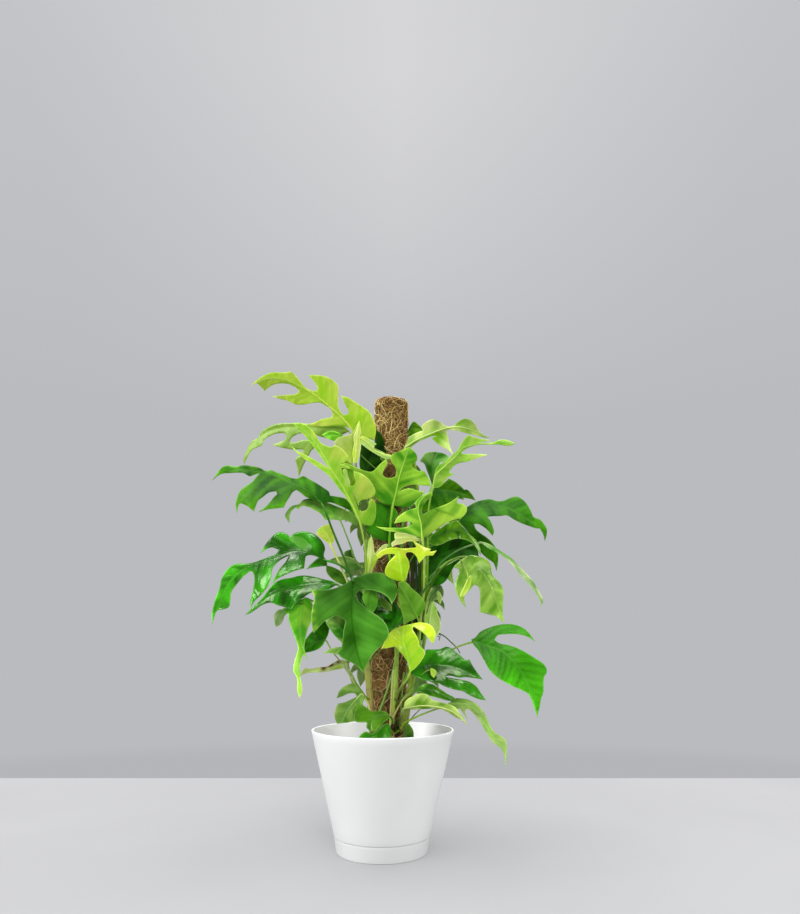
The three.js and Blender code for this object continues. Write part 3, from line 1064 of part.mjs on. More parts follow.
      [80.1, -35.1, 363.1], [88.5, -45.1, 334.4], [89, -46.4, 320.9], [84.4, -45, 310.5],
    ],
    stalk: { radius: [1.5, 1.2], path: [
      [70.1, -39.1, 315.2], [64.7, -30, 295.5], [59.5, -20, 280.4], [56.6, -14.7, 273], [55.3, -12.2, 272.2],
    ] },
  },
  young_front_leaf: {
    color: 0x9cb84a,
    face: [-0.017, -1.000, 0.000],
    rib: [
      [41.1, -100.5, 258.3], [36.7, -119.6, 282.3], [31, -119.6, 302.9], [32.5, -108.1, 321.2],
    ],
    edge: [
      [41.1, -100, 257.6], [33.1, -117.9, 278.8], [26, -121.9, 287.1], [20.3, -119.9, 293.3], [-0.7, -109.7, 290.7],
      [4.3, -110.7, 300.2], [15.1, -106.7, 316.3], [31.1, -106.4, 323.4], [54.1, -117.7, 327.4], [65.4, -124.3, 325.8],
      [73, -128.6, 320.9], [77.1, -130.6, 312.5], [72.8, -126.8, 297.4], [61.7, -125, 311.2], [46.2, -115.1, 321.4],
      [44.7, -115.5, 318.3], [53.1, -122, 302.9], [55.3, -119.6, 294.6], [61.1, -115.8, 289.1], [62.2, -110.5, 282.8],
      [57.9, -106.3, 274.4],
    ],
    stalk: { radius: [1.7, 1.4], path: [
      [40.5, -102.7, 261.1], [38.3, -92, 249.7], [31.1, -80, 239.3], [24.5, -66, 230], [21, -55.7, 218.3],
      [19.9, -52.5, 217.5],
    ] },
  },
  right_low_dark_leaf: {
    color: 0x44683a,
    face: [-0.071, -0.997, 0.042],
    rib: [
      [41.5, -73.6, 257.2], [63.7, -76.4, 267.2], [85.4, -84.5, 267.5], [106.7, -92.6, 265], [144.1, -111.5, 249.2],
    ],
    edge: [
      [40, -74, 255.8], [46, -69.8, 264.9], [64.2, -63.3, 281.9], [66, -57.9, 288.4], [86.9, -63.6, 289.9],
      [96, -63.1, 293.1], [103.2, -67, 291.4], [123.4, -88.2, 274.6], [128.5, -88.3, 275.6], [144.5, -112, 248.6],
      [90.9, -98.3, 252], [126.3, -110.5, 245.1], [134.3, -114.6, 239.9], [147.3, -122.4, 221.1], [136, -120.8, 223],
      [115.8, -114, 232.5], [70, -96.3, 245.3],
    ],
    stalk: { radius: [1.8, 1.5], path: [
      [44.4, -74.3, 258.2], [33.4, -64, 244], [24.1, -54.2, 227.6], [22.3, -51.1, 226.8],
    ] },
  },
  low_light_leaf: {
    color: 0x8f9c5c,
    face: [-0.046, -0.995, 0.086],
    rib: [
      [32.4, -92, 207.9], [52.4, -100.4, 212], [69.2, -107.1, 212.5], [89.7, -117.4, 210.1], [104.1, -129.5, 204],
      [119.5, -145.9, 190.9],
    ],
    edge: [
      [32.4, -92, 206.5], [33.9, -92.2, 216.7], [39.6, -94.4, 222.3], [51.1, -99.1, 228.1], [59.5, -102.8, 229],
      [66.6, -105.8, 227.2], [72.1, -108.2, 221.3], [103.1, -126.8, 212.9], [119.5, -146, 190.2], [111.5, -137.6, 196.6],
      [84.3, -114, 209.1],
    ],
    stalk: { radius: [1.8, 1.4], path: [
      [36.1, -93.5, 207.9], [28.1, -80, 196.5], [22.3, -66, 182.8], [19.1, -59.7, 174], [17.5, -56.7, 173.2],
    ] },
  },
  low_dark_leaf: {
    color: 0x22331f,
    face: [-0.044, -0.997, 0.068],
    rib: [
      [47.6, -56.4, 228], [68.2, -65.4, 231.4], [85.2, -76.5, 226.5], [103.2, -89.3, 217.8],
    ],
    edge: [
      [46.1, -56, 227.2], [56.6, -55.3, 236.4], [64.1, -56.8, 239.7], [74.3, -61.7, 239.6], [106.2, -88.2, 221.2],
      [103.8, -90, 217.2], [70.8, -71.4, 223.4], [53.5, -59.1, 228.9],
    ],
    stalk: { radius: [1.5, 1.2], path: [
      [50.5, -57.8, 228.2], [38.7, -52, 219.2], [26.2, -49.4, 209.5], [23.4, -48.6, 208.7],
    ] },
  },
  low_right_long_leaf: {
    color: 0x8f9c5c,
    face: [-0.104, -0.989, 0.106],
    rib: [
      [86, -84.5, 208.6], [106, -89.3, 213.8], [133.9, -109.5, 206.1], [143, -124.6, 193.1], [165.6, -142.5, 162],
      [168.3, -145.8, 138.8],
    ],
    edge: [
      [84.6, -84, 208.5], [107.9, -84.2, 221.2], [124.5, -92.6, 220.2], [133.7, -100.5, 216], [146.6, -119.6, 200.4],
      [155.1, -135.6, 182], [169.2, -139.2, 172.9], [171.3, -141.6, 165.6], [168.2, -146, 137.6], [166.9, -143.7, 154],
      [147.8, -137.7, 175.3], [129.6, -109.3, 203.4], [123.3, -102.2, 208.1], [119.5, -101.8, 205.4], [121.9, -109.6, 194.8],
      [112.4, -96.7, 207.6], [101.2, -93.3, 204.6],
    ],
    stalk: { radius: [1.5, 1.2], path: [
      [89, -85.2, 209.5], [65.8, -80, 201.3], [48.5, -74, 193.9], [32.6, -64, 184.6], [22.4, -56.4, 171.9],
      [20.1, -54.7, 171.1],
    ] },
  },
  back_leaf_1: {
    color: 0x48683a,
    face: [0.027, 0.760, 0.649],
    rib: [
      [16, 92, 622], [16.9, 117.5, 608], [17.3, 128.8, 598.8], [18, 147.9, 576.7], [18.2, 155.3, 564.1],
      [18.6, 165.4, 536.8],
    ],
    edge: [
      [16, 92, 622], [-1.3, 85.5, 623.4], [-12.8, 88.3, 619.8], [-21.7, 98, 612.5], [-27.5, 107.7, 604.5],
      [-29.1, 117.9, 596.2], [-21.5, 134.7, 583.9], [-9.4, 125.8, 597.9], [-0, 122.8, 602.7], [-0.9, 126.7, 599.2],
      [-15.2, 138.3, 582.7], [-18.1, 144.3, 573.1], [-15.8, 150.6, 563.8], [-3.5, 144.4, 579.1], [3.9, 142.2, 583.6],
      [-5.2, 156.3, 557.9], [-2.9, 160.9, 547.3], [7.5, 156.2, 562], [9.9, 162.5, 546.9], [18.6, 166.7, 531.1],
      [27.9, 161.8, 546.9], [30, 153.4, 565.6], [41.8, 157.5, 551], [44, 152.3, 561.4], [33, 138.4, 586.7],
      [41.2, 139.9, 582.1], [55.2, 145.1, 566.7], [57.2, 138.3, 575.5], [53.6, 132.4, 585], [37.1, 122, 601.6],
      [35.8, 118, 605], [46.3, 120.3, 600], [60.2, 128, 585.7], [67.3, 110.1, 596.7], [64.8, 100.1, 604.7],
      [57.8, 91, 612.8], [47.4, 85.9, 619], [34.6, 84.2, 623.1],
    ],
    stalk: { radius: [1.7, 1.4], path: [
      [16.2, 97.3, 619.5], [16, 92, 622], [15.6, 82.2, 619], [14.8, 65, 602.5], [14.3, 51.1, 577.6],
      [14.1, 47.7, 576.8],
    ] },
  },
  back_leaf_2: {
    color: 0x2f4a2c,
    face: [-0.151, 0.702, 0.696],
    rib: [
      [-16, 84, 562], [-26.1, 108.9, 549.6], [-30.6, 120.2, 541.1], [-38.4, 139.6, 520], [-41.6, 147.4, 507.8],
      [-46.2, 158.7, 480.8],
    ],
    edge: [
      [-16, 84, 562], [-31, 70, 565.9], [-43.9, 67.4, 564], [-57.3, 73.1, 558.1], [-67.1, 79.5, 551.3],
      [-73, 88.4, 543.9], [-72.7, 108.2, 532.1], [-56.7, 105.4, 544], [-45.9, 106.8, 547.3], [-48.5, 110.2, 544.1],
      [-68, 114.8, 530.3], [-73.5, 119.4, 521.4], [-74.1, 126.9, 512.3], [-58.9, 126.5, 525.4], [-50.5, 127.8, 528.6],
      [-66, 137.9, 505.1], [-65.9, 143.9, 494.4], [-53.1, 143.7, 507], [-53.5, 151.3, 492.5], [-46.8, 160.2, 475],
      [-37, 158.1, 489.3], [-31.2, 149.2, 508.5], [-23.9, 158.8, 492.4], [-19.8, 154.1, 502.2], [-22, 135, 528.2],
      [-7.9, 151.6, 505.7], [-3.2, 145.4, 514.1], [-3.3, 137.7, 523.7], [-11.6, 120.1, 541.5], [-10.9, 115.7, 544.7],
      [-3.6, 122.3, 538.6], [3.7, 136.3, 523.4], [17, 121.6, 532.8], [17.9, 98.4, 548.3], [2.1, 83.5, 560.1],
      [-8.5, 82.1, 562.2],
    ],
    stalk: { radius: [1.7, 1.4], path: [
      [-18.1, 89.1, 559.8], [-16, 84, 562], [-10.4, 75.8, 559.2], [-0.5, 61.5, 544.1], [7.5, 49.8, 521.6],
      [9.5, 47.1, 520.8],
    ] },
  },
  back_leaf_3: {
    color: 0x48683a,
    face: [0.215, 0.710, 0.671],
    rib: [
      [46, 86, 536], [57.6, 109.8, 522.6], [62.8, 120.4, 513.7], [71.6, 138.5, 492], [75.1, 145.7, 479.4],
      [80.1, 155.8, 452],
    ],
    edge: [
      [46, 86, 536], [38.3, 84.6, 536.3], [27.8, 86.8, 534.2], [18.7, 94.1, 528.6], [14, 105.2, 520.8],
      [16, 127.3, 503.9], [30.1, 140.5, 493.5], [36.9, 126.8, 509.4], [43.9, 120, 515.8], [44.8, 124.2, 512.3],
      [37.2, 141.3, 493.6], [37.3, 148.5, 483.5], [42.2, 153.9, 474.8], [55.9, 137.4, 498], [54.2, 155.3, 471],
      [58.4, 159.1, 460.8], [65.5, 149.9, 477.3], [70.9, 156.2, 460.7], [80.7, 157.1, 446.2], [86.2, 148.8, 463.7],
      [84.6, 140.7, 480.7], [96.4, 140.7, 467.9], [96, 135, 478.7], [80.8, 125.6, 502.5], [88.4, 124.2, 499.3],
      [102.5, 124.5, 486.2], [101.3, 117.4, 495.6], [95.7, 112.9, 504.6], [77.3, 108.6, 518.3], [74.5, 105.4, 521.5],
      [84.4, 103.9, 518.3], [99.5, 106.7, 506.6], [97.9, 87.4, 519.4], [91.5, 78.7, 526.9], [81.7, 72.4, 533.6],
      [69.7, 69.1, 538.5], [58.2, 72, 540.1],
    ],
    stalk: { radius: [1.7, 1.4], path: [
      [48.4, 90.9, 533.6], [46, 86, 536], [39.3, 77.4, 533.1], [27.6, 62.4, 517.3], [17.8, 49.7, 493.6],
      [15.7, 47, 492.8],
    ] },
  },
  back_leaf_4: {
    color: 0x2f4a2c,
    face: [0.018, 0.766, 0.642],
    rib: [
      [12, 106, 486], [11, 135.8, 470.5], [10.5, 148.9, 460.1], [9.7, 170.6, 434.5], [9.5, 178.8, 419.8],
      [9.1, 189.2, 387.8],
    ],
    edge: [
      [12, 106, 486], [4.9, 100.6, 488.1], [-7.1, 97.1, 488.5], [-20.3, 99.4, 485.1], [-30.9, 104.7, 479.8],
      [-38.1, 115.7, 471.6], [-40.7, 127.6, 463], [-33.6, 148.1, 449.7], [-19.3, 138.6, 464.6], [-8.4, 135.6, 469.4],
      [-9.8, 140.3, 465.7], [-26.8, 152.9, 448.2], [-30.5, 159.8, 437.6], [-28.5, 167.5, 427], [-14.1, 161.2, 443.6],
      [-5.6, 159.3, 448.2], [-17, 175.2, 419.8], [-14.8, 180.8, 407.5], [-2.6, 176.2, 423.5], [-0.5, 185.6, 400.3],
      [9.1, 190.3, 381.1], [19.2, 186.3, 398.9], [22, 177.2, 421.4], [34.2, 182.5, 403.6], [36.8, 177.1, 415.5],
      [26.3, 160.6, 445.6], [34.8, 163, 439.8], [49.1, 170, 421.1], [51.7, 162.5, 431.2], [48.4, 155.5, 442.4],
      [31.9, 142, 462.4], [30.8, 137.3, 466.4], [41.7, 140.9, 459.9], [55.7, 151.1, 442.9], [64.4, 131.2, 454.9],
      [62.6, 119.2, 463.9], [56, 107.9, 473.1], [45.5, 101.6, 480.3], [32.2, 98.4, 485.7], [19.7, 101.1, 487.1],
    ],
    stalk: { radius: [1.7, 1.4], path: [
      [11.8, 112.2, 483.3], [12, 106, 486], [12.3, 93.4, 482.6], [12.9, 71.4, 464.2], [13.5, 51.9, 435.8],
      [13.6, 48.5, 435],
    ] },
  },
  back_leaf_5: {
    color: 0x48683a,
    face: [-0.200, 0.690, 0.696],
    rib: [
      [-18, 90, 430], [-30.4, 115.4, 416.9], [-36, 126.9, 408], [-45.6, 146.6, 385.9], [-49.5, 154.5, 373.1],
      [-55.1, 166, 344.7],
    ],
    edge: [
      [-18, 90, 430], [-22.4, 82.4, 432.6], [-32, 74.6, 434.1], [-44.8, 71.3, 432.3], [-58.4, 75.4, 426.9],
      [-69.1, 81.7, 420], [-76, 90.9, 412.4], [-77.4, 111.6, 399.9], [-60.7, 109.1, 412.1], [-49.7, 111, 415.4],
      [-52.7, 114.5, 412.2], [-73.1, 118.6, 398], [-79.2, 123.2, 388.7], [-80.5, 131.1, 379.1], [-64.8, 131.1, 392.8],
      [-56.3, 132.8, 396], [-73.2, 142.8, 371.6], [-73.6, 149.2, 360.4], [-60.4, 149.4, 373.6], [-61.9, 158, 356.9],
      [-55.9, 167.6, 338.7], [-44.3, 166.5, 353.5], [-38.7, 160.8, 367.9], [-30, 170.9, 350.3], [-25.3, 166.8, 360.8],
      [-28.2, 147.6, 389.3], [-21.3, 153.2, 382.9], [-11.2, 165.4, 364.1], [-5.8, 159.7, 372.9], [-6.1, 152.1, 383.5],
      [-15.9, 133.7, 403.8], [-15.1, 129.2, 407.6], [-6.5, 136.7, 400.3], [2.2, 151.2, 382.9], [17.9, 137.5, 392.6],
      [20.7, 126.6, 401.1], [18.9, 114.3, 410.7], [14.1, 99.9, 420.5], [3.2, 91.7, 427.2], [-9.2, 88.9, 430],
    ],
    stalk: { radius: [1.7, 1.4], path: [
      [-20.5, 95.2, 427.7], [-18, 90, 430], [-11.9, 80.6, 427], [-1.3, 64.2, 410.5], [7.5, 50.4, 385.7],
      [9.4, 47.6, 384.9],
    ] },
  },
  back_leaf_6: {
    color: 0x2f4a2c,
    face: [0.251, 0.716, 0.652],
    rib: [
      [46, 90, 404], [58.8, 114, 390], [64.5, 124.7, 380.6], [73.9, 142.6, 357.6], [77.6, 149.4, 344.4],
      [82.5, 158.6, 315.6],
    ],
    edge: [
      [46, 90, 404], [37.3, 89.2, 404.2], [25.3, 92.4, 401.5], [14.8, 100.7, 394.9], [10.1, 114.1, 385.2],
      [8.6, 125.9, 375.5], [11.6, 136.2, 366.7], [27.1, 148.6, 356.3], [35.6, 134.7, 373.8], [43.8, 127.3, 381.1],
      [44.7, 131.5, 377.2], [35.3, 149.1, 356.7], [35, 156.1, 345.9], [40.2, 161, 336.8], [50.2, 149.5, 355.7],
      [56.8, 144, 362], [53.9, 161.5, 333.1], [58.3, 164.7, 322.4], [67, 155.4, 340.1], [72.3, 160.2, 324.5],
      [83, 159.6, 309.5], [89.1, 151.3, 327.8], [87.1, 142.7, 348], [99.6, 141.5, 334.7], [99.1, 135.8, 346],
      [82.9, 127.3, 370.7], [90.9, 125.3, 367.4], [105.8, 124.5, 353.8], [104.5, 117.2, 363.6], [98.5, 113.1, 372.9],
      [78.8, 109.9, 387.1], [75.8, 106.6, 390.3], [86.3, 104.5, 387.1], [102.4, 106.3, 374.9], [100.4, 86.3, 387.8],
      [93.4, 77.7, 395.5], [82.8, 71.7, 402.3], [71, 71, 406.5], [58.8, 74.7, 408.3],
    ],
    stalk: { radius: [1.7, 1.4], path: [
      [48.6, 95, 401.5], [46, 90, 404], [39.2, 80.6, 401], [27.4, 64.2, 384.5], [17.4, 50.3, 359.7],
      [15.5, 47.6, 358.9],
    ] },
  },
  back_leaf_7: {
    color: 0x48683a,
    face: [-0.111, 0.705, 0.700],
    rib: [
      [10, 102, 346], [7, 131, 332.5], [5.6, 144.1, 323.3], [3.2, 166.6, 300.5], [2.3, 175.6, 287.3],
      [0.9, 188.8, 258],
    ],
    edge: [
      [10, 102, 346], [3.4, 96.3, 347], [-8.1, 92.2, 345.9], [-21.2, 93.6, 341.3], [-32, 98.5, 335.2],
      [-39.9, 109, 327.1], [-43.4, 120.8, 319.2], [-37.7, 141.7, 308.3], [-22.9, 132.4, 323.5], [-12, 130, 329.1],
      [-13.7, 134.5, 325.6], [-31.4, 146.7, 307.9], [-35.6, 153.9, 297.9], [-34.1, 162.2, 288.6], [-19.5, 155.7, 305.5],
      [-11, 154, 310.7], [-23.4, 170.9, 283.6], [-21.8, 177.5, 272.8], [-9.3, 172.3, 288.9], [-8.1, 183.5, 268.4],
      [0.7, 190.6, 251.8], [11.3, 185.5, 269.4], [15, 174.5, 290.7], [26.7, 182.1, 275.7], [29.8, 175.9, 286.8],
      [20.6, 156.8, 312.7], [29, 160.2, 308.4], [42.7, 169.4, 292.8], [45.9, 161.5, 302.1], [43.2, 153.7, 311.8],
      [27.6, 138.3, 328], [26.8, 133.5, 331.3], [37.5, 138, 326.7], [50.7, 149.9, 312.7], [61, 130.6, 323.9],
      [59.9, 118.5, 331.6], [54.1, 106.8, 339.1], [30.7, 96.2, 347.8], [18, 97.8, 347.8],
    ],
    stalk: { radius: [1.7, 1.4], path: [
      [9.4, 108, 343.7], [10, 102, 346], [10.6, 90.2, 343], [11.6, 69.7, 326.5], [12.4, 52.4, 301.8],
      [12.6, 49, 301],
    ] },
  },
  back_leaf_8: {
    color: 0x2f4a2c,
    face: [-0.147, 0.644, 0.751],
    rib: [
      [-14, 90, 300], [-23.6, 113.8, 289.6], [-28, 124.7, 282.3], [-35.9, 144.1, 264.3], [-39.2, 152.4, 253.6],
      [-44.5, 165.5, 229.8],
    ],
    edge: [
      [-14, 90, 300], [-26.7, 77.5, 303], [-38.1, 75.8, 301.5], [-50.3, 82, 296.7], [-59.5, 89, 291],
      [-65.3, 98.1, 284.6], [-65.6, 117.1, 274], [-50.7, 112.4, 284.3], [-41, 112.9, 287.2], [-43.5, 116.3, 284.5],
      [-61.4, 122.7, 272.5], [-66.8, 128.1, 264.7], [-67.7, 135.7, 256.5], [-53.6, 133, 268.3], [-46, 133.4, 271.2],
      [-60.8, 145.5, 250.5], [-61.2, 151.9, 241], [-49.3, 149.7, 252.5], [-50.4, 157.9, 239.9], [-45.3, 167.5, 224.7],
      [-35.2, 164.1, 237.6], [-29.9, 156.5, 251.1], [-23.1, 166.5, 236.8], [-18.9, 161.5, 245.6], [-20.9, 142.2, 268.7],
      [-7.2, 159.2, 248.8], [-2.6, 152.9, 256.3], [-2.7, 145.2, 264.9], [-10.2, 123.8, 283.5], [2.4, 137.9, 271],
      [4.1, 144.1, 264.8], [17.1, 130.1, 273.3], [17.7, 107.9, 287.2], [12.8, 96.4, 293.9], [3.6, 89.8, 298.4],
    ],
    stalk: { radius: [1.7, 1.4], path: [
      [-16, 94.9, 298.2], [-14, 90, 300], [-8.9, 80.6, 297.2], [0.1, 64.3, 282.1], [7.2, 51.3, 259.7],
      [8.9, 48.4, 258.9],
    ] },
  },
  back_leaf_9: {
    color: 0x48683a,
    face: [0.124, 0.649, 0.751],
    rib: [
      [44, 92, 262], [52.4, 115.2, 251.9], [56.3, 125.9, 245], [63.3, 144.9, 227.5], [66.2, 153, 217.3],
      [70.9, 165.8, 194.4],
    ],
    edge: [
      [44, 92, 262], [26, 91.6, 260.2], [16.1, 97.8, 255.4], [9.8, 107, 249.3], [7.4, 118.1, 242.3],
      [9.1, 128.5, 235.8], [21.6, 142.4, 228.3], [29.7, 129.2, 241.5], [37.4, 123, 246.9], [37.8, 127.2, 244.1],
      [28.5, 143.8, 228.8], [28, 151.3, 220.5], [32.5, 157.5, 213.6], [47.4, 141.3, 233], [44.3, 160.2, 210.9],
      [48.4, 165.3, 202.6], [56, 155.6, 216.4], [61.4, 164.3, 201.7], [71.6, 167.8, 189.4], [76.8, 158.7, 204],
      [75.9, 150.4, 216.7], [87.3, 153, 205.7], [87.2, 146.8, 214.8], [73.2, 134.5, 234.7], [80.5, 134.3, 231.9],
      [94.2, 137.5, 220.6], [93.5, 130.1, 228.4], [88.5, 124.8, 235.9], [69.1, 114.4, 250], [78.5, 114.4, 247.2],
      [92.7, 119.5, 237.4], [93.1, 101.1, 247.6], [79.1, 85, 259.1], [67.7, 79.1, 263.5], [56.7, 80.4, 264.9],
    ],
    stalk: { radius: [1.7, 1.4], path: [
      [45.7, 96.7, 260.3], [44, 92, 262], [37.3, 82.2, 259.4], [25.6, 65.2, 244.8], [16, 51.1, 224],
      [14.1, 48.3, 223.2],
    ] },
  },
};
const STALK_SIDES = 6;

function leafSolid({ face, rib, edge, stalk }) {
  const petiole = stem(stalk.path, stalk.radius[1], stalk.radius[0], STALK_SIDES, Math.max(4, 2 * stalk.path.length - 3));
  return solidOf(blade({ face, rib, edge })).add(solidOf(petiole));
}

// ---- assembly --------------------------------------------------------------
const plant = new THREE.Group();
plant.name = "mini_monstera";

const container = new THREE.Group();
container.add(
  named("saucer", geometryOf(solidOf(saucerBody)), 0xdcdcdf, 0.5),
  named("pot", geometryOf(potBody), 0xe2e2e5, 0.5),
  named("soil", geometryOf(soilBody), 0x3a2c22, 0.95),
);

const support = new THREE.Group();
support.add(
  named("coir_pole", geometryOf(solidOf(sleeve)), 0x9a6f3e, 0.95),
  named("pole_core", geometryOf(solidOf(core)), 0x8a7a60, 0.8),
);

const growth = new THREE.Group();
for (const [name, d] of Object.entries(VINES))
  growth.add(named(name, geometryOf(solidOf(vineGeometry(d))), 0x6f8a4c, 0.6));
for (const [name, d] of Object.entries(LEAVES))
  growth.add(named(name, geometryOf(leafSolid(d)), d.color, 0.42));

plant.add(container, support, growth);

export default plant;
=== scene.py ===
# Mini monstera on a coir pole in a white tapered pot: visual model for Blender 4.5.
# Metres, +Z up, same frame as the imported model. Leaf data below are millimetres.
import math
import random

import bpy
import numpy as np
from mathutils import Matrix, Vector, noise
from mathutils.geometry import delaunay_2d_cdt


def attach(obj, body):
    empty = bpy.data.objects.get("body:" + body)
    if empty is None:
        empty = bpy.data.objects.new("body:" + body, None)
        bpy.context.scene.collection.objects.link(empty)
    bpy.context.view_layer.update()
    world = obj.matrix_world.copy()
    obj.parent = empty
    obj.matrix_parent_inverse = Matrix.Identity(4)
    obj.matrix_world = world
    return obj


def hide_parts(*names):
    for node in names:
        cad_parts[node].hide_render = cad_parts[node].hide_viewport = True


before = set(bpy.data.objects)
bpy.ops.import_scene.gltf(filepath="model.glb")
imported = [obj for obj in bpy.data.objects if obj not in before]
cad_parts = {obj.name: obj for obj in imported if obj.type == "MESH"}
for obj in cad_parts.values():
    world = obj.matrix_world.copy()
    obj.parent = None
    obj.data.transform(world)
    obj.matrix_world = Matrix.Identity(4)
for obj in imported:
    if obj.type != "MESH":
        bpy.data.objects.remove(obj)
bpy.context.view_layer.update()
scene = bpy.context.scene
MM = 0.001

# ---------------------------------------------------------------- camera ----
cam_data = bpy.data.cameras.new("camera")
cam = bpy.data.objects.new("camera", cam_data)
scene.collection.objects.link(cam)
cam.location = (0.0267, -1.1554, 0.3016)
cam.rotation_euler = (math.pi / 2 + 0.257, 0, 0)
cam_data.sensor_width = 36
cam_data.lens = 700 * 36 / 914
cam_data.clip_start, cam_data.clip_end = 0.01, 60
scene.camera = cam

# ------------------------------------------------------------- stage, light ---
scene.view_settings.view_transform = "Standard"
scene.view_settings.look = "None"


def srgb(r, g, b):
    """0-255 screen colour as linear RGB."""
    out = []
    for c in (r, g, b):
        c = c / 255
        out.append(c / 12.92 if c <= 0.04045 else ((c + 0.055) / 1.055) ** 2.4)
    return out


world = bpy.data.worlds.new("studio")
scene.world = world
world.use_nodes = True
world.node_tree.nodes["Background"].inputs["Color"].default_value = (*srgb(250, 250, 255), 1)
world.node_tree.nodes["Background"].inputs["Strength"].default_value = 0.20


def area(name, loc, target, size, energy, color=(1, 1, 1)):
    d = bpy.data.lights.new(name, "AREA")
    d.shape = "RECTANGLE"
    d.size, d.size_y = size
    d.energy = energy
    d.color = color
    o = bpy.data.objects.new(name, d)
    scene.collection.objects.link(o)
    o.location = loc
    o.rotation_euler = (Vector(target) - Vector(loc)).to_track_quat("-Z", "Y").to_euler()
    o.visible_camera = False
    return o


# soft studio light: a large overhead box, a low window-like key from the left, a front fill and a weak one from the right
area("top_box", (-0.3, 0.05, 3.1), (0.0, 0.0, 0.30), (1.7, 1.5), 108)
area("key_left", (-3.0, -0.9, 1.15), (0.0, 0.0, 0.35), (1.3, 1.3), 78)
area("fill_front", (0.7, -4.4, 1.4), (0.0, 0.0, 0.35), (2.4, 1.8), 88)
area("rim_right", (2.8, -0.7, 1.2), (0.0, 0.0, 0.3), (1.2, 1.2), 30)


# ------------------------------------------------------------ mesh helpers ---
def new_object(name, verts, faces, materials, smooth=True, index=None, floats=None, colors=None):
    """verts in millimetres. floats: {name: per-vertex list}; colors: {name: per-vertex RGB}."""
    me = bpy.data.meshes.new(name)
    verts = np.asarray(verts, float) * MM
    me.from_pydata([tuple(v) for v in verts], [], [tuple(f) for f in faces])
    for m in materials:
        me.materials.append(m)
    if index is not None:
        me.polygons.foreach_set("material_index", np.asarray(index, np.int32))
    me.polygons.foreach_set("use_smooth", np.full(len(me.polygons), bool(smooth)))
    for k, v in (floats or {}).items():
        a = me.attributes.new(k, "FLOAT", "POINT")
        a.data.foreach_set("value", np.asarray(v, np.float32))
    for k, v in (colors or {}).items():
        a = me.color_attributes.new(k, "FLOAT_COLOR", "POINT")
        rgba = np.ones((len(verts), 4), np.float32)
        rgba[:, :3] = v
        a.data.foreach_set("color", rgba.reshape(-1))
    me.update()
    o = bpy.data.objects.new(name, me)
    scene.collection.objects.link(o)
    return o


def resample(P, step):
    """Centripetal Catmull-Rom through P, about `step` apart."""
    P = np.asarray(P, float)
    if len(P) < 3:
        n = max(1, int(round(np.linalg.norm(P[-1] - P[0]) / step)))
        t = np.linspace(0, 1, n + 1)[:, None]
        return P[0] * (1 - t) + P[-1] * t
    Q = np.vstack([2 * P[0] - P[1], P, 2 * P[-1] - P[-2]])
    out = [P[0]]
    for i in range(1, len(Q) - 2):
        p0, p1, p2, p3 = Q[i - 1 : i + 3]
        t0 = 0.0
        t1 = t0 + max(1e-4, np.linalg.norm(p1 - p0)) ** 0.5
        t2 = t1 + max(1e-4, np.linalg.norm(p2 - p1)) ** 0.5
        t3 = t2 + max(1e-4, np.linalg.norm(p3 - p2)) ** 0.5
        n = max(1, int(round(np.linalg.norm(p2 - p1) / step)))
        for k in range(1, n + 1):
            t = t1 + (t2 - t1) * k / n
            a1 = (t1 - t) / (t1 - t0) * p0 + (t - t0) / (t1 - t0) * p1
            a2 = (t2 - t) / (t2 - t1) * p1 + (t - t1) / (t2 - t1) * p2
            a3 = (t3 - t) / (t3 - t2) * p2 + (t - t2) / (t3 - t2) * p3
            b1 = (t2 - t) / (t2 - t0) * a1 + (t - t0) / (t2 - t0) * a2
            b2 = (t3 - t) / (t3 - t1) * a2 + (t - t1) / (t3 - t1) * a3
            out.append((t2 - t) / (t2 - t1) * b1 + (t - t1) / (t2 - t1) * b2)
    return np.array(out)


def frames_along(P):
    """Tangent and two side vectors at each point, without twist."""
    T = np.gradient(P, axis=0)
    T /= np.maximum(1e-9, np.linalg.norm(T, axis=1))[:, None]
    up = np.array([0.0, 0.0, 1.0]) if abs(T[0][2]) < 0.9 else np.array([1.0, 0.0, 0.0])
    a = np.cross(T[0], up)
    a /= np.linalg.norm(a)
    A = [a]
    for i in range(1, len(P)):
        v = A[-1] - T[i] * np.dot(A[-1], T[i])
        A.append(v / max(1e-9, np.linalg.norm(v)))
    A = np.array(A)
    return T, A, np.cross(T, A)


def tube(P, R, sides=10, squash=None, cap=True):
    """Tube round points P with a radius at each; squash is not used."""
    P = np.asarray(P, float)
    R = np.asarray(R, float)
    _, A, B = frames_along(P)
    ang = np.linspace(0, 2 * math.pi, sides, endpoint=False)
    V = []
    for i in range(len(P)):
        for q in ang:
            V.append(P[i] + R[i] * (math.cos(q) * A[i] + math.sin(q) * B[i]))
    F = []
    for i in range(len(P) - 1):
        for k in range(sides):
            a, b = i * sides + k, i * sides + (k + 1) % sides
            F.append((a, b, b + sides, a + sides))
    if cap:
        V += [P[0], P[-1]]
        n = len(V)
        for k in range(sides):
            F.append((n - 2, (k + 1) % sides, k))
            o = (len(P) - 1) * sides
            F.append((n - 1, o + k, o + (k + 1) % sides))
    return np.array(V), F


